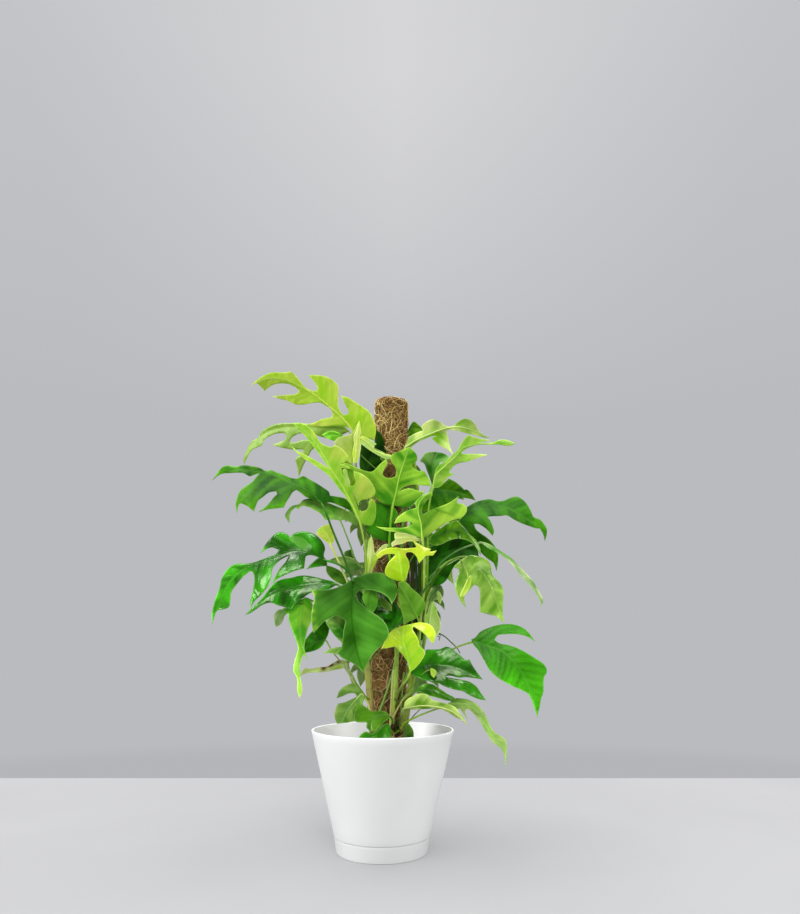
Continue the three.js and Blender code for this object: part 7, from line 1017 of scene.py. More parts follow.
            (-11.2, 146.4, 514.0), (-7.9, 151.6, 505.7, 1), (-3.2, 145.4, 514.1), (-3.3, 137.7, 523.7), (-7.4, 129.0, 533.3), (-11.6, 120.1, 541.5), 
            (-10.9, 115.7, 544.7, 1), (-3.6, 122.3, 538.6), (1.9, 130.0, 530.4), (3.7, 136.3, 523.4, 1), (11.6, 129.8, 527.5), (17.0, 121.6, 532.8), 
            (19.4, 110.4, 540.3), (17.9, 98.4, 548.3), (11.5, 90.2, 554.7), (2.1, 83.5, 560.1), (-8.5, 82.1, 562.2)],
        "rib": [(-16.0, 84.0, 562.0), (-21.2, 96.8, 556.6), (-26.1, 108.9, 549.6), (-30.6, 120.2, 541.1), (-34.8, 130.5, 531.2), (-38.4, 139.6, 520.0), (-41.6, 147.4, 507.8), (-44.2, 153.8, 494.7), (-46.2, 158.7, 480.8)],
        "stalk": {"r": (1.7, 1.4), "path": [(-18.1, 89.1, 559.8), (-16.0, 84.0, 562.0), (-10.4, 75.8, 559.2), (-0.5, 61.5, 544.1), (7.5, 49.8, 521.6), (9.5, 47.1, 520.8)]},
    },
    "back_leaf_3": {
        "side": "U", "slot": "leaf_green", "face": (0.215, 0.710, 0.671),
        "dark": (64, 134, 10), "light": (105, 172, 46), "petiole": (132, 166, 74),
        "edge": [(46.0, 86.0, 536.0, 1), (38.3, 84.6, 536.3), (27.8, 86.8, 534.2), (18.7, 94.1, 528.6), (14.0, 105.2, 520.8), (13.0, 116.8, 512.1), 
            (16.0, 127.3, 503.9), (21.8, 134.8, 498.1), (30.1, 140.5, 493.5, 1), (31.6, 134.5, 500.9), (36.9, 126.8, 509.4), (43.9, 120.0, 515.8, 1), 
            (44.8, 124.2, 512.3), (41.0, 132.9, 503.7), (37.2, 141.3, 493.6), (37.3, 148.5, 483.5), (42.2, 153.9, 474.8, 1), (45.4, 148.9, 483.4), 
            (50.3, 142.5, 492.2), (55.9, 137.4, 498.0, 1), (56.9, 141.9, 492.2), (54.7, 149.1, 482.0), (54.2, 155.3, 471.0), (58.4, 159.1, 460.8, 1), 
            (61.0, 154.9, 469.5), (65.5, 149.9, 477.3, 1), (67.1, 153.2, 470.2), (70.9, 156.2, 460.7), (75.9, 157.0, 453.6), (80.7, 157.1, 446.2, 1), 
            (83.6, 153.3, 455.1), (86.2, 148.8, 463.7), (86.2, 143.9, 473.9), (84.6, 140.7, 480.7, 1), (91.5, 140.2, 475.0), (96.4, 140.7, 467.9, 1), 
            (96.0, 135.0, 478.7), (90.8, 131.6, 488.7), (83.7, 129.1, 497.0), (80.8, 125.6, 502.5, 1), (88.4, 124.2, 499.3), (96.5, 124.0, 492.9), 
            (102.5, 124.5, 486.2, 1), (101.3, 117.4, 495.6), (95.7, 112.9, 504.6), (86.6, 110.9, 512.3), (77.3, 108.6, 518.3), (74.5, 105.4, 521.5, 1), 
            (84.4, 103.9, 518.3), (93.8, 104.3, 512.6), (99.5, 106.7, 506.6, 1), (100.2, 96.6, 512.9), (97.9, 87.4, 519.4), (91.5, 78.7, 526.9), 
            (81.7, 72.4, 533.6), (69.7, 69.1, 538.5), (58.2, 72.0, 540.1), (49.8, 79.1, 538.6)],
        "rib": [(46.0, 86.0, 536.0), (52.0, 98.2, 530.1), (57.6, 109.8, 522.6), (62.8, 120.4, 513.7), (67.5, 130.0, 503.4), (71.6, 138.5, 492.0), (75.1, 145.7, 479.4), (77.9, 151.5, 466.1), (80.1, 155.8, 452.0)],
        "stalk": {"r": (1.7, 1.4), "path": [(48.4, 90.9, 533.6), (46.0, 86.0, 536.0), (39.3, 77.4, 533.1), (27.6, 62.4, 517.3), (17.8, 49.7, 493.6), (15.7, 47.0, 492.8)]},
    },
    "back_leaf_4": {
        "side": "U", "slot": "leaf_dark", "face": (0.018, 0.766, 0.642),
        "dark": (34, 106, 10), "light": (76, 145, 26), "petiole": (132, 166, 74),
        "edge": [(12.0, 106.0, 486.0, 1), (4.9, 100.6, 488.1), (-7.1, 97.1, 488.5), (-20.3, 99.4, 485.1), (-30.9, 104.7, 479.8), (-38.1, 115.7, 471.6), 
            (-40.7, 127.6, 463.0), (-38.9, 138.0, 456.1), (-33.6, 148.1, 449.7, 1), (-28.8, 143.2, 457.0), (-19.3, 138.6, 464.6), 
            (-8.4, 135.6, 469.4, 1), (-9.8, 140.3, 465.7), (-18.4, 146.8, 457.9), (-26.8, 152.9, 448.2), (-30.5, 159.8, 437.6), 
            (-28.5, 167.5, 427.0, 1), (-22.5, 164.6, 435.4), (-14.1, 161.2, 443.6), (-5.6, 159.3, 448.2, 1), (-7.0, 164.1, 441.8), 
            (-13.2, 169.8, 431.6), (-17.0, 175.2, 419.8), (-14.8, 180.8, 407.5, 1), (-9.9, 178.5, 416.2), (-2.6, 176.2, 423.5, 1), 
            (-2.8, 181.4, 411.9), (-0.5, 185.6, 400.3), (4.3, 188.4, 390.8), (9.1, 190.3, 381.1, 1), (14.1, 188.7, 390.1), (19.2, 186.3, 398.9), 
            (21.8, 182.2, 410.2), (22.0, 177.2, 421.4, 1), (29.3, 179.9, 413.1), (34.2, 182.5, 403.6, 1), (36.8, 177.1, 415.5), (33.3, 171.5, 427.9), 
            (27.4, 165.5, 439.1), (26.3, 160.6, 445.6, 1), (34.8, 163.0, 439.8), (43.2, 166.9, 430.3), (49.1, 170.0, 421.1, 1), (51.7, 162.5, 431.2), 
            (48.4, 155.5, 442.4), (40.2, 149.0, 453.4), (31.9, 142.0, 462.4), (30.8, 137.3, 466.4, 1), (41.7, 140.9, 459.9), (51.1, 146.0, 450.9), 
            (55.7, 151.1, 442.9, 1), (61.8, 141.4, 448.3), (64.4, 131.2, 454.9), (62.6, 119.2, 463.9), (56.0, 107.9, 473.1), (45.5, 101.6, 480.3), 
            (32.2, 98.4, 485.7), (19.7, 101.1, 487.1)],
        "rib": [(12.0, 106.0, 486.0), (11.5, 121.4, 479.2), (11.0, 135.8, 470.5), (10.5, 148.9, 460.1), (10.1, 160.6, 448.0), (9.7, 170.6, 434.5), (9.5, 178.8, 419.8), (9.2, 185.0, 404.1), (9.1, 189.2, 387.8)],
        "stalk": {"r": (1.7, 1.4), "path": [(11.8, 112.2, 483.3), (12.0, 106.0, 486.0), (12.3, 93.4, 482.6), (12.9, 71.4, 464.2), (13.5, 51.9, 435.8), (13.6, 48.5, 435.0)]},
    },
    "back_leaf_5": {
        "side": "U", "slot": "leaf_green", "face": (-0.200, 0.690, 0.696),
        "dark": (104, 150, 60), "light": (160, 194, 110), "petiole": (132, 166, 74),
        "edge": [(-18.0, 90.0, 430.0, 1), (-22.4, 82.4, 432.6), (-32.0, 74.6, 434.1), (-44.8, 71.3, 432.3), (-58.4, 75.4, 426.9), (-69.1, 81.7, 420.0), 
            (-76.0, 90.9, 412.4), (-78.3, 100.7, 406.0), (-77.4, 111.6, 399.9, 1), (-71.1, 109.3, 406.0), (-60.7, 109.1, 412.1), 
            (-49.7, 111.0, 415.4, 1), (-52.7, 114.5, 412.2), (-63.0, 116.6, 405.9), (-73.1, 118.6, 398.0), (-79.2, 123.2, 388.7), 
            (-80.5, 131.1, 379.1, 1), (-73.8, 130.7, 386.1), (-64.8, 131.1, 392.8), (-56.3, 132.8, 396.0, 1), (-59.5, 136.5, 390.5), 
            (-67.4, 139.2, 381.9), (-73.2, 142.8, 371.6), (-73.6, 149.2, 360.4, 1), (-68.1, 148.7, 367.8), (-60.4, 149.4, 373.6, 1), 
            (-61.9, 152.4, 367.5), (-61.9, 158.0, 356.9), (-59.0, 163.1, 348.0), (-55.9, 167.6, 338.7, 1), (-50.2, 167.4, 346.2), 
            (-44.3, 166.5, 353.5), (-39.9, 163.1, 363.2), (-38.7, 160.8, 367.9, 1), (-33.2, 166.4, 359.5), (-30.0, 170.9, 350.3, 1), 
            (-25.3, 166.8, 360.8), (-26.1, 160.2, 372.4), (-29.1, 152.4, 383.2), (-28.2, 147.6, 389.3, 1), (-21.3, 153.2, 382.9), 
            (-15.3, 160.0, 373.3), (-11.2, 165.4, 364.1, 1), (-5.8, 159.7, 372.9), (-6.1, 152.1, 383.5), (-11.0, 143.1, 394.5), (-15.9, 133.7, 403.8), 
            (-15.1, 129.2, 407.6, 1), (-6.5, 136.7, 400.3), (0.1, 144.9, 390.8), (2.2, 151.2, 382.9, 1), (11.6, 145.2, 386.9), (17.9, 137.5, 392.6), 
            (20.7, 126.6, 401.1), (18.9, 114.3, 410.7), (14.1, 99.9, 420.5), (3.2, 91.7, 427.2), (-9.2, 88.9, 430.0)],
        "rib": [(-18.0, 90.0, 430.0), (-24.4, 103.0, 424.3), (-30.4, 115.4, 416.9), (-36.0, 126.9, 408.0), (-41.1, 137.3, 397.6), (-45.6, 146.6, 385.9), (-49.5, 154.5, 373.1), (-52.6, 161.0, 359.3), (-55.1, 166.0, 344.7)],
        "stalk": {"r": (1.7, 1.4), "path": [(-20.5, 95.2, 427.7), (-18.0, 90.0, 430.0), (-11.9, 80.6, 427.0), (-1.3, 64.2, 410.5), (7.5, 50.4, 385.7), (9.4, 47.6, 384.9)]},
    },
    "back_leaf_6": {
        "side": "U", "slot": "leaf_dark", "face": (0.251, 0.716, 0.652),
        "dark": (34, 106, 10), "light": (76, 145, 26), "petiole": (132, 166, 74),
        "edge": [(46.0, 90.0, 404.0, 1), (37.3, 89.2, 404.2), (25.3, 92.4, 401.5), (14.8, 100.7, 394.9), (10.1, 114.1, 385.2), (8.6, 125.9, 375.5), 
            (11.6, 136.2, 366.7), (17.9, 143.3, 360.7), (27.1, 148.6, 356.3, 1), (29.2, 142.7, 364.3), (35.6, 134.7, 373.8), (43.8, 127.3, 381.1, 1), 
            (44.7, 131.5, 377.2), (40.0, 140.6, 367.8), (35.3, 149.1, 356.7), (35.0, 156.1, 345.9), (40.2, 161.0, 336.8, 1), (44.3, 156.0, 346.0), 
            (50.2, 149.5, 355.7), (56.8, 144.0, 362.0, 1), (57.8, 148.4, 355.8), (54.8, 155.6, 344.9), (53.9, 161.5, 333.1), (58.3, 164.7, 322.4, 1), 
            (61.6, 160.7, 331.6), (67.0, 155.4, 340.1, 1), (68.2, 157.7, 334.4), (72.3, 160.2, 324.5), (77.8, 160.3, 317.1), (83.0, 159.6, 309.5, 1), 
            (86.3, 155.8, 318.8), (89.1, 151.3, 327.8), (89.2, 146.6, 338.6), (87.1, 142.7, 348.0, 1), (94.4, 141.5, 342.1), (99.6, 141.5, 334.7, 1), 
            (99.1, 135.8, 346.0), (93.6, 132.8, 356.4), (86.0, 130.7, 365.1), (82.9, 127.3, 370.7, 1), (90.9, 125.3, 367.4), (99.5, 124.6, 360.8), 
            (105.8, 124.5, 353.8, 1), (104.5, 117.2, 363.6), (98.5, 113.1, 372.9), (88.8, 111.6, 380.8), (78.8, 109.9, 387.1), (75.8, 106.6, 390.3, 1), 
            (86.3, 104.5, 387.1), (96.3, 104.2, 381.1), (102.4, 106.3, 374.9, 1), (102.9, 95.7, 381.3), (100.4, 86.3, 387.8), (93.4, 77.7, 395.5), 
            (82.8, 71.7, 402.3), (71.0, 71.0, 406.5), (58.8, 74.7, 408.3), (49.9, 82.5, 406.7)],
        "rib": [(46.0, 90.0, 404.0), (52.6, 102.4, 397.9), (58.8, 114.0, 390.0), (64.5, 124.7, 380.6), (69.5, 134.3, 369.7), (73.9, 142.6, 357.6), (77.6, 149.4, 344.4), (80.5, 154.8, 330.3), (82.5, 158.6, 315.6)],
        "stalk": {"r": (1.7, 1.4), "path": [(48.6, 95.0, 401.5), (46.0, 90.0, 404.0), (39.2, 80.6, 401.0), (27.4, 64.2, 384.5), (17.4, 50.3, 359.7), (15.5, 47.6, 358.9)]},
    },
    "back_leaf_7": {
        "side": "U", "slot": "leaf_green", "face": (-0.111, 0.705, 0.700),
        "dark": (64, 134, 10), "light": (105, 172, 46), "petiole": (132, 166, 74),
        "edge": [(10.0, 102.0, 346.0, 1), (3.4, 96.3, 347.0), (-8.1, 92.2, 345.9), (-21.2, 93.6, 341.3), (-32.0, 98.5, 335.2), (-39.9, 109.0, 327.1), 
            (-43.4, 120.8, 319.2), (-42.2, 131.3, 313.3), (-37.7, 141.7, 308.3, 1), (-32.6, 136.7, 315.5), (-22.9, 132.4, 323.5), 
            (-12.0, 130.0, 329.1, 1), (-13.7, 134.5, 325.6), (-22.6, 140.7, 317.7), (-31.4, 146.7, 307.9), (-35.6, 153.9, 297.9), 
            (-34.1, 162.2, 288.6, 1), (-28.0, 159.1, 297.1), (-19.5, 155.7, 305.5), (-11.0, 154.0, 310.7, 1), (-12.7, 159.0, 304.8), 
            (-19.3, 164.8, 294.9), (-23.4, 170.9, 283.6), (-21.8, 177.5, 272.8, 1), (-16.7, 174.7, 281.4), (-9.3, 172.3, 288.9, 1), 
            (-10.0, 178.1, 278.7), (-8.1, 183.5, 268.4), (-3.8, 187.4, 260.2), (0.7, 190.6, 251.8, 1), (6.0, 188.4, 260.7), (11.3, 185.5, 269.4), 
            (14.3, 180.6, 280.0), (15.0, 174.5, 290.7, 1), (22.1, 178.3, 283.9), (26.7, 182.1, 275.7, 1), (29.8, 175.9, 286.8), (26.8, 169.1, 297.6), 
            (21.3, 162.1, 307.0), (20.6, 156.8, 312.7, 1), (29.0, 160.2, 308.4), (37.1, 165.1, 300.6), (42.7, 169.4, 292.8, 1), (45.9, 161.5, 302.1), 
            (43.2, 153.7, 311.8), (35.4, 146.1, 320.8), (27.6, 138.3, 328.0), (26.8, 133.5, 331.3, 1), (37.5, 138.0, 326.7), (46.6, 144.2, 319.5), 
            (50.7, 149.9, 312.7, 1), (57.6, 140.7, 317.9), (61.0, 130.6, 323.9), (59.9, 118.5, 331.6), (54.1, 106.8, 339.1), (43.9, 100.3, 344.3), 
            (30.7, 96.2, 347.8), (18.0, 97.8, 347.8)],
        "rib": [(10.0, 102.0, 346.0), (8.4, 116.9, 340.1), (7.0, 131.0, 332.5), (5.6, 144.1, 323.3), (4.3, 156.0, 312.6), (3.2, 166.6, 300.5), (2.3, 175.6, 287.3), (1.5, 183.1, 273.0), (0.9, 188.8, 258.0)],
        "stalk": {"r": (1.7, 1.4), "path": [(9.4, 108.0, 343.7), (10.0, 102.0, 346.0), (10.6, 90.2, 343.0), (11.6, 69.7, 326.5), (12.4, 52.4, 301.8), (12.6, 49.0, 301.0)]},
    },
    "back_leaf_8": {
        "side": "U", "slot": "leaf_dark", "face": (-0.147, 0.644, 0.751),
        "dark": (104, 150, 60), "light": (160, 194, 110), "petiole": (132, 166, 74),
        "edge": [(-14.0, 90.0, 300.0, 1), (-18.1, 83.6, 301.9), (-26.7, 77.5, 303.0), (-38.1, 75.8, 301.5), (-50.3, 82.0, 296.7), (-59.5, 89.0, 291.0), 
            (-65.3, 98.1, 284.6), (-66.9, 107.3, 279.2), (-65.6, 117.1, 274.0, 1), (-60.0, 114.0, 279.2), (-50.7, 112.4, 284.3), 
            (-41.0, 112.9, 287.2, 1), (-43.5, 116.3, 284.5), (-52.5, 119.5, 279.2), (-61.4, 122.7, 272.5), (-66.8, 128.1, 264.7), 
            (-67.7, 135.7, 256.5, 1), (-61.7, 134.1, 262.6), (-53.6, 133.0, 268.3), (-46.0, 133.4, 271.2, 1), (-48.7, 137.3, 266.5), 
            (-55.7, 141.0, 259.2), (-60.8, 145.5, 250.5), (-61.2, 151.9, 241.0, 1), (-56.2, 150.3, 247.4), (-49.3, 149.7, 252.5, 1), 
            (-50.3, 152.2, 248.6), (-50.4, 157.9, 239.9), (-47.9, 163.0, 232.4), (-45.3, 167.5, 224.7, 1), (-40.4, 166.1, 231.3), 
            (-35.2, 164.1, 237.6), (-31.3, 159.9, 245.8), (-29.9, 156.5, 251.1, 1), (-25.5, 161.7, 244.3), (-23.1, 166.5, 236.8, 1), 
            (-18.9, 161.5, 245.6), (-19.3, 154.5, 255.1), (-21.7, 147.0, 263.8), (-20.9, 142.2, 268.7, 1), (-15.3, 147.2, 263.8), 
            (-10.4, 153.7, 256.2), (-7.2, 159.2, 248.8, 1), (-2.6, 152.9, 256.3), (-2.7, 145.2, 264.9), (-6.7, 136.6, 273.5), (-10.8, 128.0, 280.6), 
            (-10.2, 123.8, 283.5, 1), (-3.0, 130.2, 278.2), (2.4, 137.9, 271.0), (4.1, 144.1, 264.8, 1), (11.8, 137.9, 268.5), (17.1, 130.1, 273.3), 
            (19.3, 119.4, 280.1), (17.7, 107.9, 287.2), (12.8, 96.4, 293.9), (3.6, 89.8, 298.4), (-6.7, 88.2, 300.2)],
        "rib": [(-14.0, 90.0, 300.0), (-18.9, 102.1, 295.5), (-23.6, 113.8, 289.6), (-28.0, 124.7, 282.3), (-32.1, 134.9, 273.9), (-35.9, 144.1, 264.3), (-39.2, 152.4, 253.6), (-42.1, 159.5, 242.1), (-44.5, 165.5, 229.8)],
        "stalk": {"r": (1.7, 1.4), "path": [(-16.0, 94.9, 298.2), (-14.0, 90.0, 300.0), (-8.9, 80.6, 297.2), (0.1, 64.3, 282.1), (7.2, 51.3, 259.7), (8.9, 48.4, 258.9)]},
    },
    "back_leaf_9": {
        "side": "U", "slot": "leaf_green", "face": (0.124, 0.649, 0.751),
        "dark": (64, 134, 10), "light": (105, 172, 46), "petiole": (132, 166, 74),
        "edge": [(44.0, 92.0, 262.0, 1), (36.6, 90.2, 262.1), (26.0, 91.6, 260.2), (16.1, 97.8, 255.4), (9.8, 107.0, 249.3), (7.4, 118.1, 242.3), 
            (9.1, 128.5, 235.8), (14.0, 136.2, 231.5), (21.6, 142.4, 228.3, 1), (23.7, 136.4, 234.4), (29.7, 129.2, 241.5), (37.4, 123.0, 246.9, 1), 
            (37.8, 127.2, 244.1), (33.1, 135.5, 237.1), (28.5, 143.8, 228.8), (28.0, 151.3, 220.5), (32.5, 157.5, 213.6, 1), (36.0, 152.3, 220.8), 
            (41.4, 146.0, 228.2), (47.4, 141.3, 233.0, 1), (48.0, 146.0, 228.4), (45.2, 153.4, 220.0), (44.3, 160.2, 210.9), (48.4, 165.3, 202.6, 1), 
            (51.1, 160.7, 209.8), (56.0, 155.6, 216.4, 1), (57.6, 160.1, 209.6), (61.4, 164.3, 201.7), (66.6, 166.3, 195.7), (71.6, 167.8, 189.4, 1), 
            (74.3, 163.5, 196.8), (76.8, 158.7, 204.0), (76.9, 153.2, 212.5), (75.9, 150.4, 216.7, 1), (82.5, 151.2, 211.9), (87.3, 153.0, 205.7, 1), 
            (87.2, 146.8, 214.8), (82.3, 142.2, 223.2), (75.7, 138.4, 230.2), (73.2, 134.5, 234.7, 1), (80.5, 134.3, 231.9), (88.4, 135.8, 226.4), 
            (94.2, 137.5, 220.6, 1), (93.5, 130.1, 228.4), (88.5, 124.8, 235.9), (80.0, 121.3, 242.4), (71.4, 117.9, 247.4), (69.1, 114.4, 250.0, 1), 
            (78.5, 114.4, 247.2), (87.4, 116.2, 242.4), (92.7, 119.5, 237.4, 1), (94.3, 110.1, 242.4), (93.1, 101.1, 247.6), (87.8, 92.1, 253.7), 
            (79.1, 85.0, 259.1), (67.7, 79.1, 263.5), (56.7, 80.4, 264.9), (48.2, 86.0, 263.9)],
        "rib": [(44.0, 92.0, 262.0), (48.3, 103.9, 257.6), (52.4, 115.2, 251.9), (56.3, 125.9, 245.0), (60.0, 135.9, 236.8), (63.3, 144.9, 227.5), (66.2, 153.0, 217.3), (68.7, 160.0, 206.2), (70.9, 165.8, 194.4)],
        "stalk": {"r": (1.7, 1.4), "path": [(45.7, 96.7, 260.3), (44.0, 92.0, 262.0), (37.3, 82.2, 259.4), (25.6, 65.2, 244.8), (16.0, 51.1, 224.0), (14.1, 48.3, 223.2)]},
    },
}
